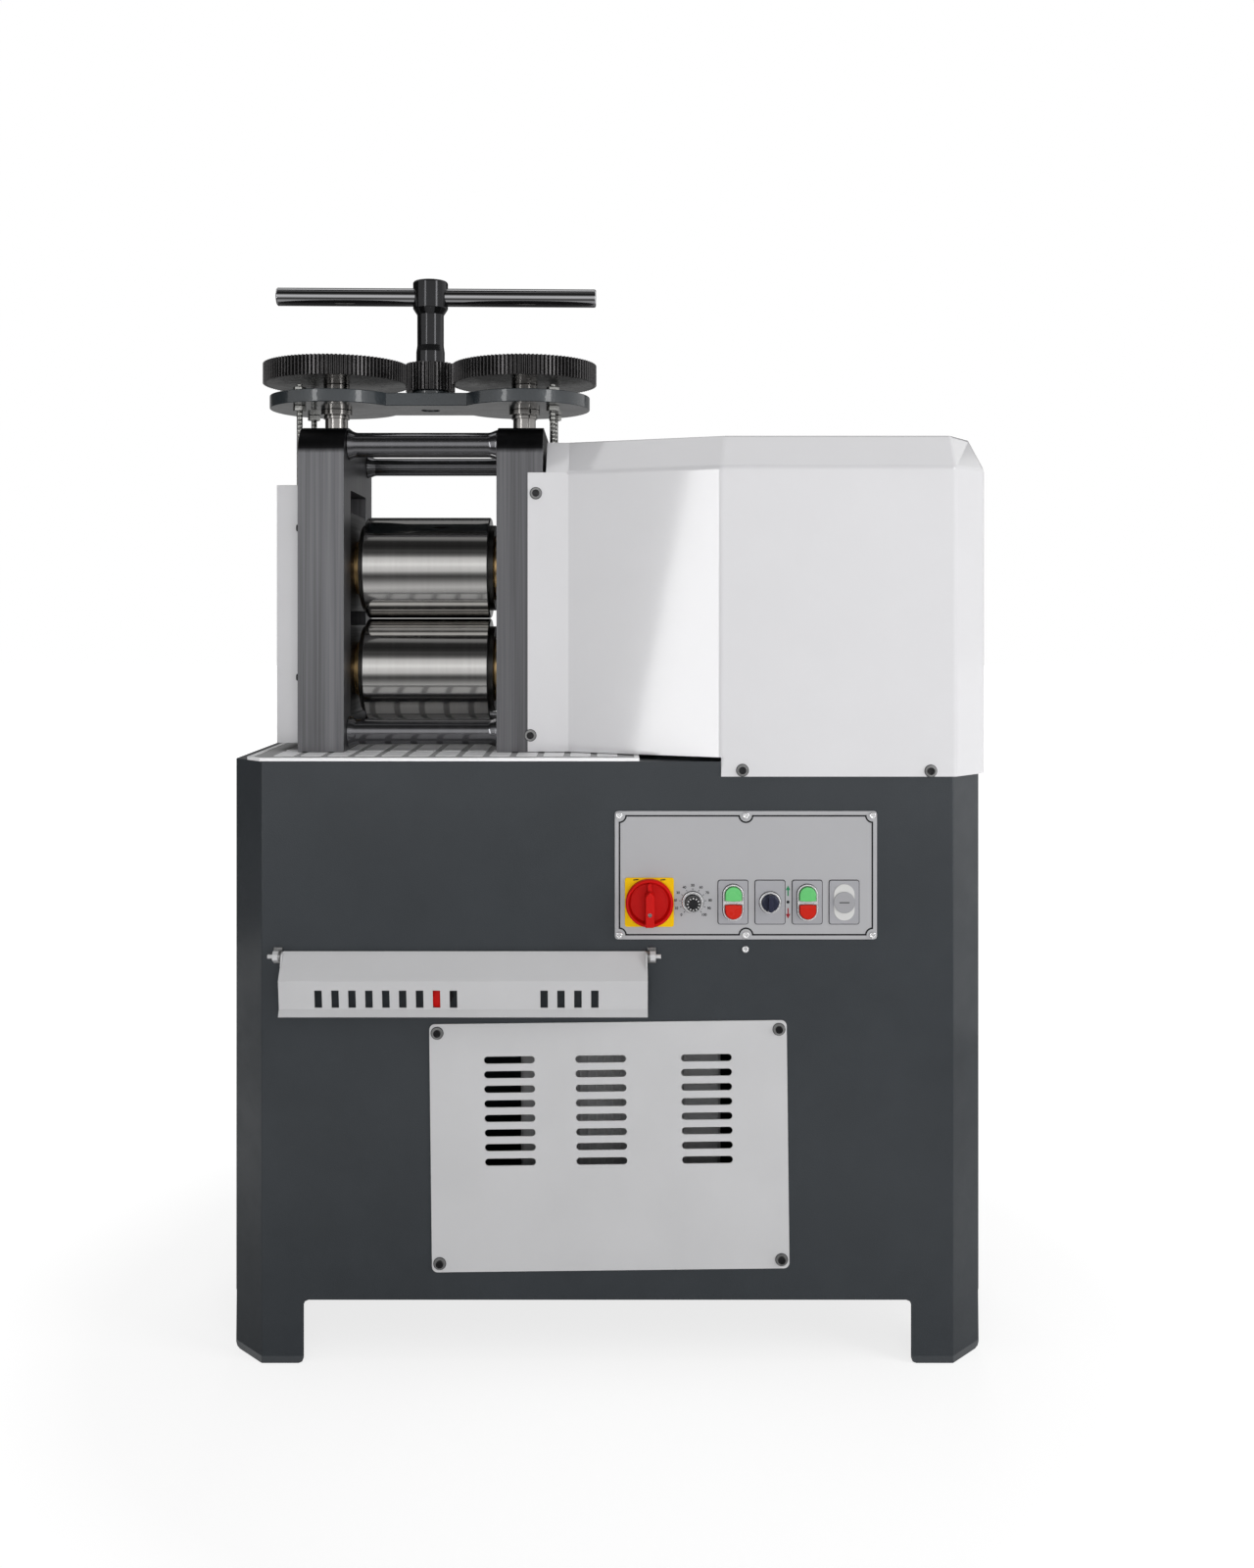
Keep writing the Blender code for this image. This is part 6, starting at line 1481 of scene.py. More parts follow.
@dataclass
class GapDrive:
    """Bridge plate, screw spindles, gears, lift rods and the T-handle."""

    tools: Toolbox
    lobe_radius: float = 0.1015
    web_half_width: float = 0.0555
    slab_ease: float = 0.0011
    boss_radius: float = 0.029
    boss_height: float = 0.0085
    boss_sink: float = 0.002
    rod_radius: float = 0.0048
    rod_groove: float = 0.0009
    rod_tip: Flat = (0.0018, 0.0005)
    thread_pitch: float = 0.0015
    thread_ridge: float = 0.0006
    nut_flats: float = 0.017
    nut_height: float = 0.008
    spindle_radius: float = 0.0165
    screw_radius: float = 0.0175
    spindle_hole: float = 0.004
    hub_radius: float = 0.020
    collar_radius: float = 0.024
    collar_height: float = 0.0075
    ring_height: float = 0.006
    ring_groove: float = 0.0012
    spindle_ease: float = 0.0005
    module: float = 0.002
    screw_teeth: int = 110
    handle_teeth: int = 36
    bar_radius: float = 0.014
    bar_edge: float = 0.0018
    bar_ease: float = 0.0006
    bar_yaw: float = math.radians(1.5)
    neck_radius: float = 0.0205
    foot_radius: float = 0.022
    hub_ease: float = 0.0008

    def build(self) -> None:
        """Build every piece above the stand."""
        self.bridge()
        self.rods()
        for side, body in (("left", Body.LEFT_SCREW), ("right", Body.RIGHT_SCREW)):
            self.spindle(side, body)
            ToothedWheel(self.screw_teeth, self.module, math.pi / self.screw_teeth).build(
                side + "_screw_gear", self.tools, self.spindle_radius + CLEARANCE, body)
        self.handle()
        ToothedWheel(self.handle_teeth, self.module, 0.0).build(
            "handle_pinion", self.tools, self.bar_radius + CLEARANCE, Body.HANDLE)

    def bridge(self) -> None:
        """Make the painted plate with its two lobes, web and middle boss."""
        box = Box.of("bridge_plate")
        offset = (Box.of("right_spindle").centre.x - Box.of("left_spindle").centre.x) / 2
        crease = math.degrees(math.asin(self.web_half_width / self.lobe_radius))
        lobe = arc((offset, 0), self.lobe_radius, crease - 180, 180 - crease, 64)
        bore = self.bar_radius + CLEARANCE
        loops = [lobe + [(-x, -y) for x, y in lobe], circle(bore, 48)]
        loops += [circle(self.hub_radius + CLEARANCE, 48, (sign * offset, 0))
                  for sign in (-1, 1)]
        top = box.high.z - self.boss_height
        slab = plate("bridge_slab", loops, top - box.low.z, Axis.Z,
                     box.over((top + box.low.z) / 2), self.slab_ease)
        rise = self.boss_height + self.boss_sink
        boss = lathe("bridge_boss", [(bore, 0), (self.boss_radius, 0), (self.boss_radius, rise),
                                     (bore, rise), (bore, 0)],
                     Axis.Z, box.over(top - self.boss_sink), 0.001)
        dress(joined("bridge_plate_piece", [slab, boss]), Finishes.BRIDGE, "bridge_plate",
              Body.CARRIAGE)

    def rods(self) -> None:
        """Make the four threaded rods and the nuts that clamp them."""
        slab = Box.of("bridge_plate")
        lift = CLEARANCE + self.nut_height / 2
        nuts = []
        for end in ("front", "rear"):
            for side in ("left", "right"):
                node = f"{end}_{side}_lift_rod"
                self.rod(node)
                nuts.append(Box.of(node).over(slab.high.z - self.boss_height + lift))
                nuts.append(Box.of(node).over(slab.low.z - lift))
        nut = self.tools.shop.hex_nut(self.nut_flats, self.nut_height,
                                      self.rod_radius - self.thread_ridge)
        self.tools.spread("rod_nuts", nut, nuts, UPWARD, Finishes.ZINC, Body.CARRIAGE)

    def rod(self, node: str) -> None:
        """Make one threaded rod.

        Args:
            node: The CAD node that it replaces.
        """
        box = Box.of(node)
        length, core_radius = box.size.z, self.rod_radius - self.rod_groove
        tip_cut, tip_length = self.rod_tip
        core = lathe(node + "_core",
                     [(0, 0), (core_radius, 0), (core_radius, length - tip_length),
                      (self.rod_radius - tip_cut, length), (0, length)],
                     Axis.Z, box.over(box.low.z), 0.0, 24)
        ridge = self.thread_ridge
        thread = self.tools.thread.run(
            node + "_thread", bpy.data.meshes.new(node), Finishes.ZINC,
            {"Radius": self.rod_radius - ridge, "Length": length - 2 * ridge,
             "Pitch": self.thread_pitch, "Ridge": ridge})
        thread.data.transform(Matrix.Translation(box.over(box.low.z + ridge)))
        dress(joined(node + "_piece", [core, thread]), Finishes.ZINC, node, Body.CARRIAGE)

    def spindle(self, side: str, body: Body) -> None:
        """Make one turned spindle with its collar, ring and hub.

        Args:
            side: Left or right.
            body: The body that it moves with.
        """
        node = side + "_spindle"
        box = Box.of(node)
        hub_top = Box.of(side + "_screw_gear").low.z - CLEARANCE
        collar_top = Box.of("bridge_plate").low.z - CLEARANCE
        collar_low = collar_top - self.collar_height
        ring_low = collar_low - self.ring_height
        groove = self.ring_groove
        profile = [(0, box.high.z - self.spindle_hole), (self.spindle_hole, box.high.z),
                   (self.spindle_radius, box.high.z), (self.spindle_radius, hub_top),
                   (self.hub_radius, hub_top), (self.hub_radius, collar_top),
                   (self.collar_radius, collar_top), (self.collar_radius, collar_low),
                   (self.hub_radius - groove, collar_low),
                   (self.hub_radius - groove, collar_low - groove),
                   (self.hub_radius, collar_low - groove), (self.hub_radius, ring_low),
                   (self.screw_radius, ring_low), (self.screw_radius, box.low.z),
                   (0, box.low.z)]
        dress(lathe(node + "_piece", profile, Axis.Z, box.over(0),
                    self.spindle_ease), Finishes.SPINDLE, node, body)

    def handle(self) -> None:
        """Make the hub and the cross bar of the T-handle."""
        box = Box.of("handle_hub")
        top, hub, neck, foot = box.high.z, box.size.x / 2, self.neck_radius, self.foot_radius
        neck_low = Box.of("handle_pinion").high.z + CLEARANCE
        stem = self.bar_radius
        profile = [(0, top - 0.003), (0.005, top - 0.0005), (hub * 0.62, top - 0.0005),
                   (hub * 0.66, top), (hub - 0.0016, top), (hub, top - 0.0022),
                   (hub, top - 0.042), (neck, top - 0.052), (neck, neck_low + 0.0285),
                   (foot, neck_low + 0.0185), (foot, neck_low), (stem, neck_low),
                   (stem, box.low.z + 0.001), (stem - 0.001, box.low.z), (0, box.low.z)]
        dress(lathe("handle_hub_piece", profile, Axis.Z, box.over(0),
                    self.hub_ease), Finishes.OXIDE, "handle_hub", Body.HANDLE)
        bar = Box.of("handle_bar")
        half = bar.size.x / 2 / math.cos(self.bar_yaw)
        radius, edge = self.bar_radius, self.bar_edge
        line = [(0, half), (radius - edge, half), (radius, half - edge), (radius, edge - half),
                (radius - edge, -half), (0, -half)]
        piece = lathe("handle_bar_piece", line, Axis.X, (0, 0, 0), self.bar_ease)
        piece.data.transform(Matrix.Translation(bar.centre)
                             @ Matrix.Rotation(self.bar_yaw, 4, "Z"))
        dress(piece, Finishes.HANDLE_BAR, "handle_bar", Body.HANDLE)


@dataclass
class Covers:
    """Sheet covers over the lift rods and the drive, and the drive itself."""

    tools: Toolbox
    fold: float = 0.0009
    bend: float = 0.0038
    bend_angle: float = 8.0
    sheet: float = 0.0023
    left_screws: Flat = (1.183, 0.961)
    left_inset: float = 0.0125
    flange_screws: tuple[Flat, ...] = ((-0.109, 1.232), (-0.117, 0.877))
    skirt_screws: tuple[Flat, ...] = ((0.186, 0.835), (0.451, 0.834))
    sunk_rise: float = 0.0002
    sunk_head: float = 0.0058
    sunk_socket: float = 0.0030
    drive_eases: Point = (0.003, 0.0012, 0.001)

    def build(self) -> None:
        """Build the covers, their screws and the drive."""
        dress_copy("left_guard", Finishes.COVER, self.fold)
        dress_copy("gear_cover", Finishes.COVER, self.fold, 2,
                   angle=self.bend_angle, bend=self.bend)
        self.screws()
        self.drive()

    def screws(self) -> None:
        """Add the cover's screws on its flange and skirt, and the guard's."""
        cover, housing, guard = (Box.of(node) for node in ("gear_cover", "right_housing",
                                                           "left_guard"))
        front = [(x, housing.low.y - self.sheet, z) for x, z in self.flange_screws]
        front += [(x, cover.low.y, z) for x, z in self.skirt_screws]
        self.tools.washered_screws("cover_front", front, FRONTWARD)
        back = [(x, housing.high.y + self.sheet, z) for x, z in self.flange_screws]
        self.tools.washered_screws("cover_back", back, BACKWARD)
        sunk = [(x, cover.high.y, z) for x, z in self.skirt_screws]
        head = plate("sunk_head", [circle(self.sunk_head, 40)], 2 * self.sunk_rise)
        self.tools.spread("cover_sunk_screws", head, sunk, BACKWARD, Finishes.BLACK)
        # The sockets are not sunk: a thin dark hex print on each head is painted shade of the
        # socket's recess.
        socket = plate("sunk_socket", [circle(self.sunk_socket, 6)], 2 * self.sunk_rise,
                       Axis.Z, (0, 0, self.sunk_rise / 2))
        self.tools.spread("cover_sunk_sockets", socket, sunk, BACKWARD, Finishes.INK)
        seat = Box.of("left_housing").low.x - self.sheet
        flanges = [(seat, y, z)
                   for y in (guard.low.y + self.left_inset, guard.high.y - self.left_inset)
                   for z in self.left_screws]
        self.tools.washered_screws("guard", flanges, LEFTWARD)

    def drive(self) -> None:
        """Dress the gearbox, motor and coupling under the cover."""
        gearbox, motor, coupling = self.drive_eases
        dress_copy("gearbox", Finishes.MOTOR, gearbox)
        dress_copy("drive_motor", Finishes.MOTOR, motor)
        dress_copy("drive_coupling", Finishes.BLOCK, coupling, 2, Body.BOTTOM_ROLL)


@dataclass
class PanelPart:
    """What all parts of the control panel share.

    A reach is how far something stands out towards the operator, as minus its Y.
    """

    tools: Toolbox
    box: Box = field(default_factory=lambda: Box.of("control_panel"))
    row: float = field(default_factory=lambda: Box.of("main_switch_handle").centre.z)
    ink: float = 0.00012
    # How far the thin dark ring printed round the chrome rings and bezels reaches beyond them:
    # painted shadow, for their contact shadow on the panel.
    seal_and_shadow_rim: float = 0.0008
    legend_size: Flat = (0.0415, 0.061)
    legend_corner: float = 0.003
    shadow_line_size: Flat = (0.0435, 0.063)
    shadow_line_corner: float = 0.0038
    legend_thickness: float = 0.0015
    legend_ease: float = 0.0004
    oval: Flat = (0.029, 0.051)
    ring_radius: float = 0.015

    @property
    def face(self) -> float:
        """Return the reach of the panel's face."""
        return -self.box.low.y

    @property
    def legend_face(self) -> float:
        """Return the reach of a legend plate's face."""
        return self.face + CLEARANCE + self.legend_thickness

    def slab(self, name: str, loops: Sequence[Sequence[Flat]], back: float, front: float,
             x: float, edge: float = 0.0) -> Item:
        """Make a flat piece on the control row.

        Args:
            name: The piece's name.
            loops: Its outline about the row and its holes.
            back: Reach of its back face.
            front: Reach of its front face.
            x: Its middle.
            edge: Rounding along every rim.

        Returns:
            The piece.
        """
        return plate(name, loops, front - back, Axis.FRONT,
                     (x, -(front + back) / 2, self.row), edge)

    def turned(self, name: str, profile: Sequence[Flat], x: float, ease: float) -> Item:
        """Turn a profile of radii and reaches about an axis through the control row."""
        return lathe(name, profile, Axis.FRONT, (x, 0, self.row), ease)

    def print_on(self, name: str, loops: Sequence[Sequence[Flat]], base: float, x: float,
                 finish: Finishes = Finishes.INK) -> None:
        """Print a thin layer on the control row.

        Args:
            name: The print's name.
            loops: Its outline about the row and its holes.
            base: Reach of the face that it lies on.
            x: Its middle.
            finish: Its finish.
        """
        dress(self.slab(name, loops, base, base + self.ink, x), finish)

    def legend(self, name: str, x: float, node: str, *holes: Sequence[Flat]) -> None:
        """Make a legend plate that stands in for a node, with a painted shadow line round it.

        Args:
            name: The plate's name.
            x: Its middle.
            node: The node that it replaces.
            holes: The outlines of holes in it.
        """
        # The dark print a little larger than the plate is painted shadow: the shadow gap round the
        # plate's edge.
        self.print_on(name + "_outline", [rounded(*self.shadow_line_size, self.shadow_line_corner)],
                      self.face, x)
        slab = self.slab(name, [rounded(*self.legend_size, self.legend_corner), *holes],
                         self.face + CLEARANCE, self.legend_face, x, self.legend_ease)
        dress(slab, Finishes.LEGEND, node)


@dataclass
class MainSwitch(PanelPart):
    """The rotary main switch: yellow plate and red dished handle."""

    base_ease: float = 0.0005
    rim: float = 0.012
    rim_edges: Point = (0.0008, 0.0016, 0.0018)
    dish: float = 0.0095
    dish_radius: float = 0.0270
    dish_slope: Flat = (0.0022, 0.0034)
    ring_ease: float = 0.0007
    grip_half_width: float = 0.0062
    grip_ends: Point = (-0.0295, 0.0130, 0.0205)
    grip_corner: float = 0.0028
    grip_sink: float = 0.001
    grip_ease: float = 0.0016
    web: Point = (0.0058, 0.058, 0.002)
    web_ease: float = 0.001
    web_levels: Flat = (0.975, 0.425)
    tick: tuple[Flat, ...] = ((-0.0036, -0.0010), (0.0036, -0.0002), (0.0036, 0.0014),
                              (-0.0036, 0.0006))
    tick_places: tuple[Flat, ...] = ((-0.0190, 0.0316), (0.0190, 0.0316))
    screw: Flat = (0.0028, 0.0008)
    screw_sink: float = 0.0004
    screw_drop: float = 0.012

    def build(self) -> None:
        """Build the plate, the handle, its screw and the two ticks."""
        dress_copy("main_switch_base", Finishes.YELLOW, self.base_ease)
        handle = Box.of("main_switch_handle")
        x, radius, front = handle.centre.x, handle.size.x / 2, -handle.low.y
        base = -Box.of("main_switch_base").low.y
        back = base + CLEARANCE
        rim = back + self.rim
        floor = rim - self.dish
        inner, crest = self.dish_slope
        drop, side, shoulder = self.rim_edges
        ring = self.turned("switch_ring", [
            (0, floor), (self.dish_radius, floor), (self.dish_radius + inner, rim - drop),
            (self.dish_radius + crest, rim), (radius - side, rim), (radius, rim - shoulder),
            (radius, back), (0, back)], x, self.ring_ease)
        depth = front - floor + self.grip_sink
        half = self.grip_half_width
        low, shoulder, tip = self.grip_ends
        outline = eased([(-half, low), (half, low), (half, shoulder), (0, tip),
                         (-half, shoulder)], self.grip_corner)
        grip = self.slab("switch_grip", [outline], front - depth, front, x, self.grip_ease)
        deep, shallow = self.web_levels
        web = self.slab("switch_web", [rounded(*self.web)], front - depth * deep,
                        front - depth * shallow, x, self.web_ease)
        dress(joined("main_switch_handle_piece", [ring, grip, web]), Finishes.RED,
              "main_switch_handle", Body.MAIN_SWITCH)
        ticks = [self.slab("switch_tick", [[(a + px, b + py) for px, py in self.tick]], base,
                           base + self.ink, x) for a, b in self.tick_places]
        dress(joined("switch_ticks", ticks), Finishes.INK)
        self.tools.spread("switch_grip_screw", self.tools.shop.cross_screw(*self.screw),
                          [(x, self.screw_sink - front, self.row - self.screw_drop)], FRONTWARD,
                          Finishes.ZINC, Body.MAIN_SWITCH)


@dataclass
class SpeedDial(PanelPart):
    """The speed control: bright ring, fluted knob, ticks and numbers."""

    ring_lip: float = 0.0036
    ring_sink: float = 0.0006
    disc_levels: Flat = (0.0005, 0.0002)
    skirt: Flat = (0.0112, 0.002)
    waist: Flat = (0.0103, 0.003)
    shoulder: float = 0.0101
    cap: Flat = (0.0056, 0.0052)
    cap_rise: float = 0.0012
    flute: Flat = (0.00075, 0.0102)
    flute_count: int = 24
    mark: tuple[Flat, ...] = ((0.0070, -0.0007), (0.0092, -0.0008), (0.0092, 0.0008),
                              (0.0070, 0.0007))
    mark_count: int = 12
    scale_radius: float = 0.0192
    scale_spread: float = math.radians(280)
    tick_length: float = 0.0022
    tick_width: float = 0.0009
    steps: int = 10
    number_height: float = 0.0050
    number_weight: float = 0.00016
    number_gap: float = 0.0042
    number_stretch: float = 1.06

    def build(self) -> None:
        """Build the ring, the knob and the scale."""
        box = Box.of("speed_dial_ring")
        x, radius, front = box.centre.x, box.size.x / 2, -box.low.y
        bore = radius - self.ring_lip
        # Painted shadow: a dark print just wider than the dial ring, for its contact shadow on the
        # panel.
        self.print_on("dial_seal", [circle(radius + self.seal_and_shadow_rim)], self.face, x)
        ring = self.turned("dial_ring", [
            (0, self.face), (radius, self.face), (radius, front - 0.0005),
            (radius - 0.0005, front), (bore + 0.0003, front), (bore, front - self.ring_sink),
            (0, front - self.ring_sink)], x, 0.0002)
        dress(ring, Finishes.CHROME, "speed_dial_ring")
        low, high = (front - level for level in self.disc_levels)
        disc = self.turned("dial_disc", [(0, low), (bore, low), (bore, high), (0, high)], x, 0.0)
        dress(disc, Finishes.BLACK)
        self.knob(x, front + CLEARANCE)
        self.scale(x)

    def knob(self, x: float, base: float) -> None:
        """Make the fluted knob and the marks on it.

        Args:
            x: Its middle.
            base: Reach of its back.
        """
        top = -Box.of("speed_knob").low.y
        step = top - self.cap_rise
        waist = base + self.waist[1]
        body = self.turned("knob_body", [
            (0, base), (self.skirt[0], base), (self.skirt[0], base + self.skirt[1]),
            (self.waist[0], waist), (self.shoulder, step), (self.cap[0], step),
            (self.cap[1], top), (0, top)], x, 0.0003)
        length = step - waist
        radius, place = self.flute
        flute = plate("flute", [circle(radius, 12, (place, 0))], length, edge=0.0003)
        flutes = self.tools.around("knob_flutes", flute, self.flute_count,
                                   FULL_TURN / self.flute_count, 0.0,
                                   Axis.FRONT.at((x, -(waist + length / 2), self.row)),
                                   Finishes.BLACK)
        dress(joined("speed_knob_piece", [body, flutes]), Finishes.BLACK, "speed_knob",
              Body.SPEED_KNOB)
        mark = plate("knob_mark", [self.mark], self.ink)
        marks = self.tools.around("knob_marks", mark, self.mark_count, FULL_TURN / self.mark_count,
                                  0.0, Axis.FRONT.at((x, -step - self.ink / 2, self.row)),
                                  Finishes.WHITE_INK)
        dress(marks, Finishes.WHITE_INK, body=Body.SPEED_KNOB)

    def scale(self, x: float) -> None:
        """Print the ticks and numbers round the dial.

        Args:
            x: The dial's middle.
        """
        half, outer = self.tick_width / 2, self.scale_radius
        inner = outer - self.tick_length
        corners = [(inner, -half), (outer, -half), (outer, half), (inner, half)]
        tick = plate("tick", [corners], self.ink)
        first = (math.pi + self.scale_spread) / 2
        step = self.scale_spread / self.steps
        depth = -self.face - self.ink / 2
        prints = [self.tools.around("dial_ticks", tick, self.steps + 1, -step, first,
                                    Axis.FRONT.at((x, depth, self.row)), Finishes.INK)]
        reach = outer + self.number_gap
        for i in range(self.steps + 1):
            angle = first - step * i
            place = (x + reach * self.number_stretch * math.cos(angle), depth,
                     self.row + reach * math.sin(angle))
            prints.append(lettering(f"number_{i}", str(10 * i), self.number_height,
                                    self.number_weight, place, self.ink))
        dress(joined("dial_scale", prints), Finishes.INK)


@dataclass
class DoubleButton(PanelPart):
    """A double push-button: legend plate, chrome oval and two lenses."""

    lip: float = 0.0022
    bezel_sink: float = 0.0012
    bezel_ease: float = 0.0005
    divider: float = 0.0046
    divider_drop: float = 0.0008
    floor_rise: float = 0.0006
    lens_gap: float = 0.0005
    lens_ease: float = 0.0014
    bow_rise: float = 0.0011

    def build(self, side: str) -> None:
        """Build one unit and its lenses.

        Args:
            side: Left or right.
        """
        node = side + "_button_unit"
        box = Box.of(node)
        x, top = box.centre.x, -box.low.y
        width, height = self.oval
        outline = pill(width, height)
        self.legend(side + "_legend", x, node, outline)
        # Painted shadow: a dark print round the bezel, for its contact shadow on the legend plate.
        rim = pill(width + 2 * self.seal_and_shadow_rim, height + 2 * self.seal_and_shadow_rim)
        self.print_on(side + "_seal", [rim, outline], self.legend_face, x)
        inner = pill(width - 2 * self.lip, height - 2 * self.lip)
        bezel = self.slab(side + "_bezel", [outline, inner],
                          self.legend_face - self.bezel_sink, top, x, self.bezel_ease)
        upper = self.bow(width / 2 - self.lip + self.lens_gap,
                         self.divider / 2 - self.lens_gap)
        divider = self.slab(side + "_divider", [upper + [(a, -b) for a, b in reversed(upper)]],
                            self.legend_face - self.divider_drop, top - self.divider_drop, x)
        dress(joined(side + "_bezel_piece", [bezel, divider]), Finishes.CHROME)
        base = self.face + CLEARANCE
        floor = self.slab(side + "_bezel_floor", [outline], base, base + self.floor_rise, x)
        dress(floor, Finishes.BLACK)
        for label, sign, finish in (("start", 1, Finishes.GREEN_LENS),
                                    ("stop", -1, Finishes.RED_LENS)):
            self.lens(f"{side}_{label}", sign, finish, x)

    def bow(self, half_width: float, height: float) -> list[Flat]:
        """Return a line that rises towards both ends, like the lenses' inner edges."""
        return [(half_width * i / 8, height + self.bow_rise * (i / 8) ** 2)
                for i in range(-8, 9)]

    def lens(self, label: str, sign: int, finish: Finishes, x: float) -> None:
        """Make one domed lens.

        Args:
            label: Its side and its action.
            sign: 1 for the upper lens and -1 for the lower one.
            finish: Its finish.
            x: Its middle.
        """
        node = label + "_button"
        box = Box.of(node)
        radius = box.size.x / 2 - self.lens_gap
        top = (box.high.z - self.row if sign > 0 else self.row - box.low.z) - self.lens_gap
        outline = arc((0, top - radius), radius, 0, 180, 24) + self.bow(radius, self.divider / 2)
        lens = self.slab(node + "_piece", [[(sign * a, sign * b) for a, b in outline]],
                         -box.high.y, -box.low.y, x, self.lens_ease)
        dress(lens, finish, node, Body[label.upper()])


@dataclass
class Selector(PanelPart):
    """The direction selector: legend plate, chrome ring and navy knob."""

    ring_edge: float = 0.0005
    ring_bore: Flat = (0.0128, 0.0126)
    ring_ease: float = 0.0003
    dome_radii: Flat = (0.0122, 0.0098)
    dome_edge: float = 0.0012
    dome_ease: float = 0.0008
    grip: Point = (0.007, 0.0238, 0.003)
    grip_rise: float = 0.009
    grip_sink: float = 0.003
    grip_ease: float = 0.0014

    def build(self) -> None:
        """Build the unit and its knob."""
        box, knob = Box.of("selector_unit"), Box.of("selector_knob")
        x, back, front = box.centre.x, self.legend_face, -box.low.y
        self.legend("selector_legend", x, "selector_unit")
        # Painted shadow: a dark print just wider than the chrome ring, for its contact shadow on
        # the legend plate.
        self.print_on("selector_seal", [circle(self.ring_radius + self.seal_and_shadow_rim)], back, x)
        radius, edge = self.ring_radius, self.ring_edge
        outer, inner = self.ring_bore
        ring = self.turned("selector_ring", [
            (0, back), (radius, back), (radius, front - edge), (radius - edge, front),
            (outer, front), (inner, front - 0.0003), (inner, back + edge), (0, back + edge)],
                           x, self.ring_ease)
        dress(ring, Finishes.CHROME)
        top, foot = -knob.low.y, -knob.high.y
        base = top - self.grip_rise
        wide, narrow = self.dome_radii
        dome = self.turned("selector_base", [
            (0, foot), (wide, foot), (wide, base - self.dome_edge), (narrow, base), (0, base)],
                           x, self.dome_ease)
        grip = self.slab("selector_grip", [rounded(*self.grip)], base - self.grip_sink, top, x,
                         self.grip_ease)
        dress(joined("selector_knob_piece", [dome, grip]), Finishes.NAVY, "selector_knob",
              Body.SELECTOR)


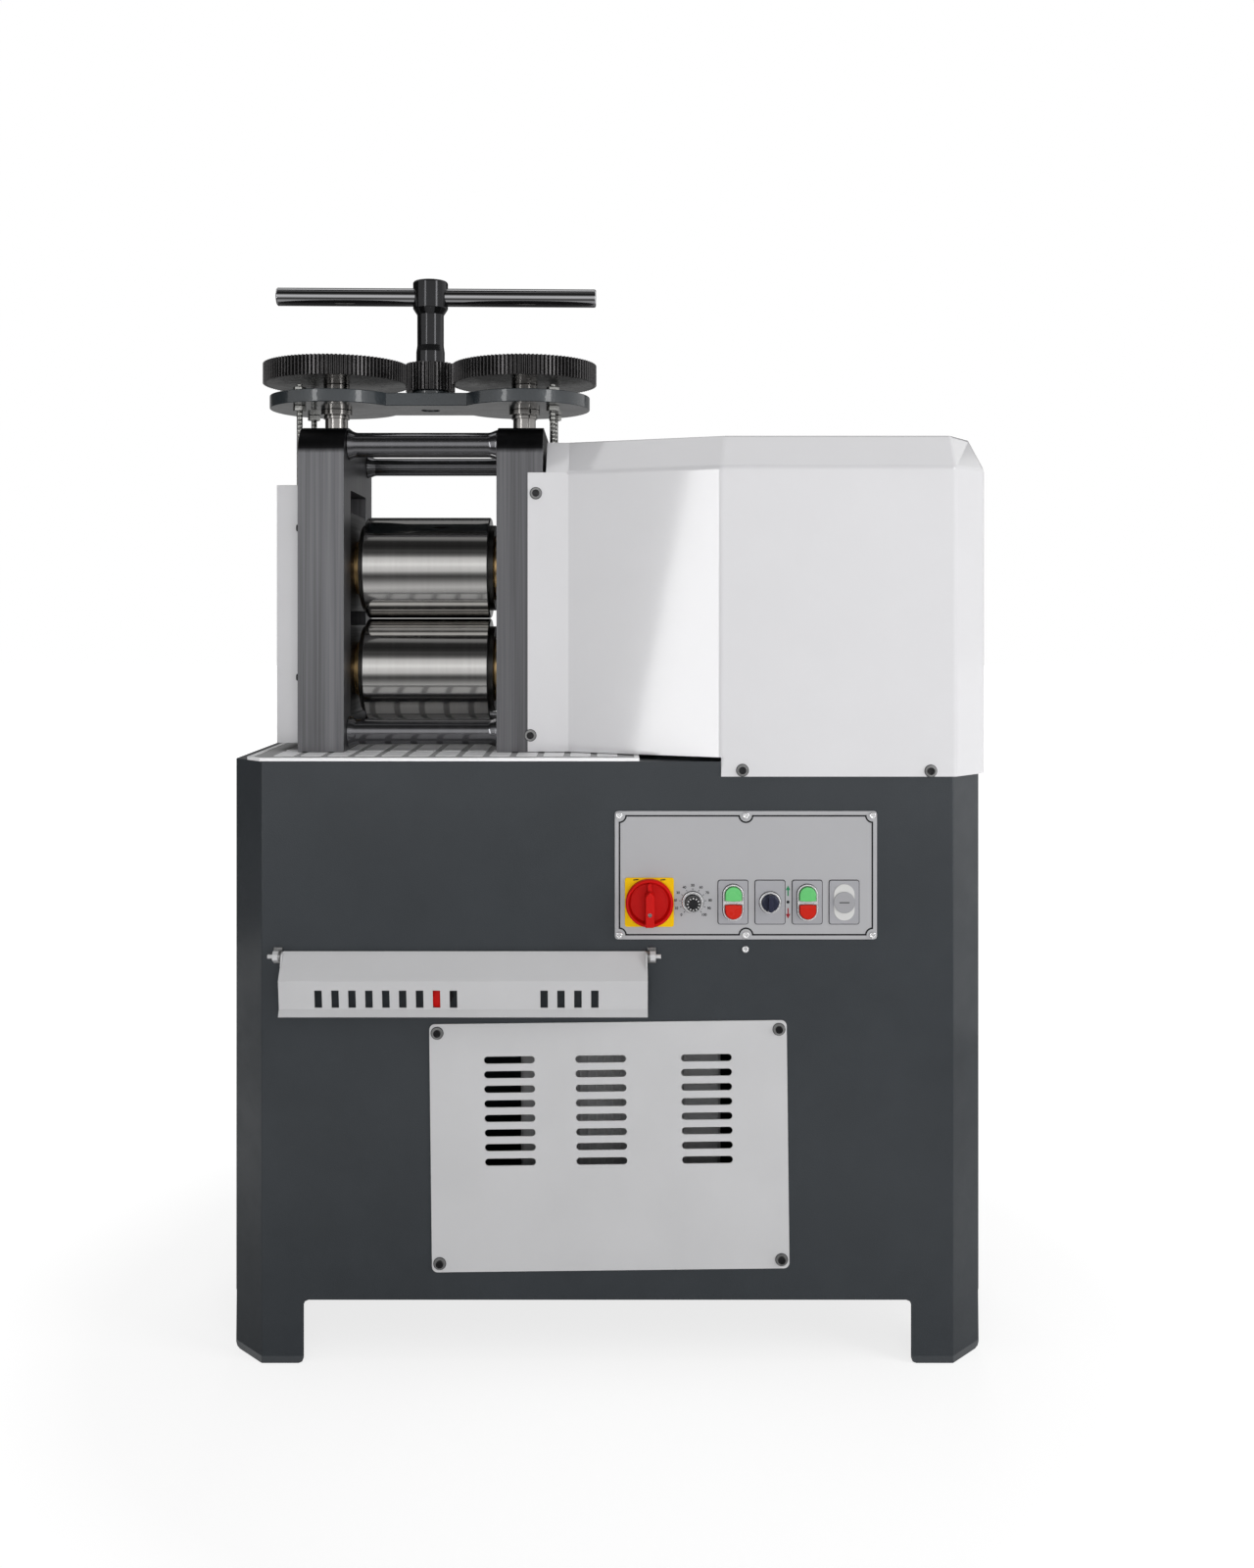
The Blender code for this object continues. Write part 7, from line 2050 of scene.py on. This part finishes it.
@dataclass
class ControlPanel(PanelPart):
    """The panel plate with its border, its screws and every control on it."""

    edge: float = 0.0005
    border_inset: float = 0.0055
    border_width: float = 0.0023
    notch_radius: float = 0.0085
    screw_inset: float = 0.0062
    screw: Flat = (0.0048, 0.0028)
    lower_screw: Point = (-0.0006, -0.1980, -0.1043)
    cap_levels: Flat = (0.0002, 0.0012)
    cap_ease: float = 0.0004
    # Size of the dark print that stands for the plug's slot, as painted shade.
    slot: Point = (0.0145, 0.0013, 0.0006)
    arrow: tuple[Flat, ...] = ((-0.0009, 0.0085), (-0.0009, 0.0167), (-0.0033, 0.0167),
                               (0, 0.0233), (0.0033, 0.0167), (0.0009, 0.0167),
                               (0.0009, 0.0085))
    arrow_offset: float = 0.0592
    dot_radius: float = 0.0021

    def build(self) -> None:
        """Build the plate and every control on it."""
        self.plate_and_border()
        MainSwitch(self.tools).build()
        SpeedDial(self.tools).build()
        for side in ("left", "right"):
            DoubleButton(self.tools).build(side)
        Selector(self.tools).build()
        self.plug()
        self.arrows()

    def border_loop(self, inset: float) -> list[Flat]:
        """Draw the border's outline, which steps round the six screws.

        Args:
            inset: How far it lies inside the panel's edge.

        Returns:
            The outline.
        """
        x = self.box.size.x / 2 - self.screw_inset
        z = self.box.size.z / 2 - self.screw_inset
        radius = self.notch_radius + inset - self.border_inset
        reach = math.degrees(math.asin((inset - self.screw_inset) / radius))
        loop: list[Flat] = []
        for centre, start, end, steps in (
                ((x, z), 270 - reach, 180 + reach, 6), ((0, z), -reach, reach - 180, 8),
                ((-x, z), -reach, reach - 90, 6), ((-x, -z), 90 - reach, reach, 6),
                ((0, -z), 180 - reach, reach, 8), ((x, -z), 180 - reach, 90 + reach, 6)):
            loop += arc(centre, radius, start, end, steps)
        return loop

    def plate_and_border(self) -> None:
        """Make the plate, its printed border and its screws."""
        dress_copy("control_panel", Finishes.PANEL, self.edge)
        centre, depth = self.box.centre, self.box.low.y
        border = plate("panel_border", [self.border_loop(self.border_inset),
                                        self.border_loop(self.border_inset + self.border_width)],
                       self.ink, Axis.FRONT, (centre.x, depth - self.ink / 2, centre.z))
        dress(border, Finishes.INK)
        x = self.box.size.x / 2 - self.screw_inset
        z = self.box.size.z / 2 - self.screw_inset
        screws = [(centre.x + a * x, depth, centre.z + b * z)
                  for a in (-1, 0, 1) for b in (-1, 1)]
        dx, y, dz = self.lower_screw
        for name, places in (("panel_screws", screws),
                             ("cabinet_front_screw", [(centre.x + dx, y, centre.z + dz)])):
            self.tools.spread(name, self.tools.shop.cross_screw(*self.screw), places, FRONTWARD,
                              Finishes.CHROME)

    def plug(self) -> None:
        """Make the blanked position: legend plate, pale oval and disc, with the disc's slot
        printed as painted shade.
        """
        box = Box.of("blank_plug_unit")
        x, top = box.centre.x, -box.low.y
        self.legend("plug_legend", x, "blank_plug_unit")
        sink, rise = self.cap_levels
        oval = self.slab("plug_oval", [pill(*self.oval)], self.legend_face - sink,
                         self.legend_face + rise, x, self.cap_ease)
        dress(oval, Finishes.PALE)
        disc = self.slab("plug_disc", [circle(self.ring_radius)], self.legend_face, top, x,
                         self.cap_ease)
        dress(disc, Finishes.PLUG)
        # The slot is not cut: a thin dark print on the disc's face is painted shade where the
        # slot's recess would be.
        self.print_on("plug_slot", [rounded(*self.slot, 3)], top - self.ink / 4, x)

    def arrows(self) -> None:
        """Print the two direction arrows and the dot beside the selector."""
        x = self.box.centre.x + self.arrow_offset
        self.print_on("arrow_up", [self.arrow], self.face, x, Finishes.GREEN_INK)
        self.print_on("arrow_down", [[(-a, -b) for a, b in self.arrow]], self.face, x,
                      Finishes.RED_INK)
        self.print_on("arrow_dot", [circle(self.dot_radius, 24)], self.face, x)


@dataclass
class StopBar:
    """Hinged stop bar, its brackets and the switch behind it."""

    bar_ease: float = 0.0006
    switch_ease: float = 0.0008
    crown: tuple[Flat, ...] = ((0.5, 0.0002), (0.86, 0.0012), (1.0, 0.0032), (1.0, 0.007))
    stem_radius: float = 0.006

    def build(self) -> None:
        """Build the bar, its switch and the red plunger."""
        dress_copy("stop_bar", Finishes.SHEET, self.bar_ease, 2, Body.STOP_BAR)
        for side in ("left", "right"):
            dress_copy(side + "_hinge_bracket", Finishes.WASHER, self.bar_ease)
        dress_copy("stop_switch", Finishes.BLACK, self.switch_ease)
        box = Box.of("stop_plunger")
        front, radius = -box.low.y, box.size.x / 2
        profile = [(0, front)]
        profile += [(radius * share, front - drop) for share, drop in self.crown]
        profile += [(self.stem_radius, profile[-1][1]), (self.stem_radius, -box.high.y),
                    (0, -box.high.y)]
        dress(lathe("stop_plunger_piece", profile, Axis.FRONT, (box.centre.x, 0, box.centre.z),
                    0.0006), Finishes.RED, "stop_plunger", Body.STOP_PLUNGER)


@dataclass(frozen=True)
class Rig:
    """One lamp, or one card that only reflections see.

    Attributes:
        name: Its name.
        place: Where its middle is.
        target: What it faces.
        size: Its width and height.
        strength: A lamp's power in watts, or how bright a card is; white is 1.
        roll: How far it leans, in degrees.
    """

    name: str
    place: Point
    target: Point
    size: Flat
    strength: float
    roll: float = 0.0


@dataclass
class Studio:
    """Floor, lamps, reflection cards, surround and camera.

    A band of the surround is where it starts, in degrees above the horizon, and how
    bright it is; white is 1.
    """

    camera_place: Point = (-0.004, -2.2677, 1.050)
    lens: float = 33.75
    sensor: float = 36.0
    shift: Flat = (0.0125, -0.10625)
    ambient: float = 0.34
    floor_size: float = 30.0
    floor_colour: float = 0.86
    floor_share: float = 0.62
    floor_glow: float = 1.24
    floor_fade: Flat = (0.75, 1.7)
    surround_radius: float = 6.0
    surround_centre: Point = (-0.2, 0.0, 1.05)
    surround_back: float = 0.3
    surround_low: float = 0.01
    bands: tuple[Flat, ...] = (
        (-90, 0.15), (-60, 0.28), (-47, 0.52), (-43, 0.63), (-36, 0.48),
        (-31, 0.32), (-26, 0.17), (-20, 0.07), (-17, 0.09), (-13, 0.24),
        (-10, 0.50), (-8, 0.70), (1, 0.86), (7, 1.10), (12, 0.90),
        (21, 0.68), (23, 0.50), (25.5, 0.24), (30, 0.10), (34.5, 0.05),
        (37.5, 0.08), (41.5, 0.035), (49, 0.02), (60, 0.03), (66, 0.24),
        (71, 0.28), (72.5, 0.01), (90, 0.01))
    cards: tuple[Rig, ...] = (
        Rig("left_card", (-2.11, -3.04, 1.35), (0.05, -0.15, 1.35), (0.46, 2.6), 5.8, 11.2),
        Rig("right_card", (2.25, -2.36, 1.40), (-0.2, 0.0, 1.4), (0.60, 2.6), 6.0),
        Rig("left_flag", (-3.2, 1.2, 1.2), (0.0, 0.8, 1.2), (3.4, 3.0), 0.04),
        Rig("rear_low_flag", (-0.2, 3.2, 0.5), (-0.2, 0.0, 0.5), (7.0, 3.0), 0.27),
        Rig("rear_mid_flag", (-0.2, 3.2, 2.75), (-0.2, 0.0, 2.75), (7.0, 1.5), 0.05),
        Rig("rear_high_flag", (-0.2, 3.2, 6.25), (-0.2, 0.0, 6.25), (7.0, 5.5), 0.27),
        Rig("rear_floor_flag", (-0.2, 1.85, 0.02), (-0.2, 1.85, 1.0), (7.0, 2.7), 0.10))
    lamps: tuple[Rig, ...] = (
        Rig("front_box", (0.1, -3.6, 0.85), (0.0, 0.0, 0.55), (2.4, 1.6), 46.0),
        Rig("right_box", (2.4, -1.35, 1.35), (0.1, 0.0, 0.8), (1.2, 1.8), 25.0),
        Rig("top_box", (0.0, -0.2, 3.3), (0.0, 0.0, 1.0), (2.2, 1.4), 12.0),
        Rig("rear_box", (0.3, 3.0, 2.2), (0.0, 0.0, 0.8), (2.4, 1.4), 30.0))

    def build(self) -> None:
        """Build the whole studio."""
        self.world()
        self.floor()
        self.surround()
        for card in self.cards:
            self.stand(card)
        for lamp in self.lamps:
            self.light(lamp)
        self.camera()

    def seen_factor(self, wiring: Wiring) -> Socket:
        """Tell rays that are seen from rays that only carry light.

        Args:
            wiring: The node tree to add to.

        Returns:
            An output that is 1 for camera, glossy and transmission rays.
        """
        camera = wiring.add("ShaderNodeLightPath", "Is Camera Ray")
        rays = camera.node.outputs
        first = wiring.add("ShaderNodeMath", "Value", {0: camera, 1: rays["Is Glossy Ray"]},
                           operation="MAXIMUM")
        return wiring.add("ShaderNodeMath", "Value",
                          {0: first, 1: rays["Is Transmission Ray"]}, operation="MAXIMUM")

    def world(self) -> None:
        """Set a white background that lights the object at a plain level."""
        world = bpy.data.worlds.new("studio_world")
        bpy.context.scene.world = world
        world.use_nodes = True
        wiring = Wiring(world.node_tree)
        strength = wiring.reach(self.seen_factor(wiring), self.ambient, 1.0, (0.0, 1.0))
        background = wiring.nodes["Background"]
        background.inputs["Color"].default_value = (1, 1, 1, 1)
        wiring.link(strength, background.inputs["Strength"])

    def glowing(self, item: Item, strength: float) -> tuple[Wiring, Socket]:
        """Give a stage piece a material that only glows.

        Args:
            item: The piece.
            strength: How bright it is; white is 1.

        Returns:
            The material's nodes and the glow's output.
        """
        material = bpy.data.materials.new(item.name)
        material.use_nodes = True
        item.data.materials.append(material)
        wiring = Wiring(material.node_tree)
        wiring.nodes.clear()
        glow = wiring.add("ShaderNodeEmission", "Emission", values={"Strength": strength})
        wiring.link(glow, wiring.nodes.new("ShaderNodeOutputMaterial").inputs["Surface"])
        return wiring, glow

    def floor(self) -> None:
        """Lay a pale floor that reads as white and keeps a soft shadow."""
        shape = bmesh.new()
        bmesh.ops.create_grid(shape, x_segments=1, y_segments=1, size=self.floor_size)
        floor = mesh_object("studio_floor", shape)
        wiring, glow = self.glowing(floor, self.floor_glow)
        diffuse = wiring.add("ShaderNodeBsdfDiffuse", "BSDF", values={
            "Color": (self.floor_colour, self.floor_colour, self.floor_colour, 1)})
        away = wiring.add("ShaderNodeVectorMath", "Value",
                          {0: wiring.add("ShaderNodeTexCoord", "Object")}, operation="LENGTH")
        fade = wiring.reach(away, self.floor_share, 1.0, self.floor_fade)
        share = wiring.add("ShaderNodeMath", "Value", {0: self.seen_factor(wiring), 1: fade},
                           operation="MULTIPLY")
        surface = glow.links[0].to_socket
        wiring.link(wiring.add("ShaderNodeMixShader", "Shader",
                               {"Fac": share, 1: diffuse, 2: glow}), surface)

    def surround(self) -> None:
        """Hang a half dome in front, banded by height, that only reflections see.

        Its lower part lies flat just above the floor.
        """
        shape = bmesh.new()
        bmesh.ops.create_uvsphere(shape, u_segments=48, v_segments=24,
                                  radius=self.surround_radius)
        behind = [vert for vert in shape.verts if vert.co.y > self.surround_back]
        bmesh.ops.delete(shape, geom=behind, context="VERTS")
        for vert in shape.verts:
            vert.co.z = max(vert.co.z, self.surround_low - self.surround_centre[2])
        dome = mesh_object("surround", shape)
        dome.location = self.surround_centre
        wiring, glow = self.glowing(dome, 1.0)
        towards = wiring.add("ShaderNodeVectorMath", "Vector",
                             {0: wiring.add("ShaderNodeTexCoord", "Object")},
                             operation="NORMALIZE")
        rise = wiring.add("ShaderNodeSeparateXYZ", "Z", {"Vector": towards})
        height = wiring.reach(rise, 0.0, 1.0, (-1.0, 1.0))
        ramp = wiring.add("ShaderNodeFloatCurve", "Value", {"Value": height})
        mapping = ramp.node.mapping
        mapping.clip_max_y = 2.0
        places = [((1 + math.sin(math.radians(elevation))) / 2, strength)
                  for elevation, strength in self.bands]
        points = mapping.curves[0].points
        points[0].location, points[1].location = places[0], places[-1]
        for place in places[1:-1]:
            points.new(*place)
        for point in points:
            point.handle_type = "VECTOR"
        mapping.update()
        wiring.link(ramp, glow.node.inputs["Strength"])
        self.only_reflected(dome)

    def stand(self, card: Rig) -> None:
        """Stand one card in its place."""
        shape = bmesh.new()
        bmesh.ops.create_grid(shape, x_segments=1, y_segments=1, size=0.5)
        away = Vector(card.target) - Vector(card.place)
        item = mesh_object(card.name, shape,
                           Matrix.Translation(card.place)
                           @ away.to_track_quat("Z", "Y").to_matrix().to_4x4()
                           @ Matrix.Rotation(math.radians(card.roll), 4, "Z")
                           @ Matrix.Diagonal((*card.size, 1, 1)))
        self.glowing(item, card.strength)
        self.only_reflected(item)

    def only_reflected(self, item: Item) -> None:
        """Stage a piece and hide it from every ray but glossy ones."""
        item.visible_camera = False
        item.visible_diffuse = False
        item.visible_shadow = False
        item.visible_transmission = False

    def light(self, lamp: Rig) -> None:
        """Hang one softbox."""
        light = bpy.data.lights.new(lamp.name, "AREA")
        light.shape = "RECTANGLE"
        light.size, light.size_y = lamp.size
        light.energy = lamp.strength
        item = linked(lamp.name, light)
        item.location = lamp.place
        away = Vector(lamp.place) - Vector(lamp.target)
        item.rotation_euler = away.to_track_quat("Z", "Y").to_euler()
        item.visible_glossy = False

    def camera(self) -> None:
        """Set the camera at the photograph's viewpoint."""
        data = bpy.data.cameras.new("camera")
        data.lens = self.lens
        data.sensor_width = self.sensor
        data.shift_x, data.shift_y = self.shift
        data.clip_end = 100.0
        item = linked("camera", data)
        item.location = self.camera_place
        item.rotation_euler = (math.radians(90), 0, 0)
        bpy.context.scene.camera = item


def main() -> None:
    """Build the mill's looks and its studio."""
    logging.basicConfig(level=logging.INFO, format="%(name)s: %(message)s")
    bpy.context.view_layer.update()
    Studio().build()
    tools = Toolbox()
    Cabinet(tools).build()
    RollStand().build()
    GapDrive(tools).build()
    Covers(tools).build()
    ControlPanel(tools).build()
    StopBar().build()
    bpy.context.scene.view_settings.view_transform = "Standard"


if __name__ == "__main__":
    main()
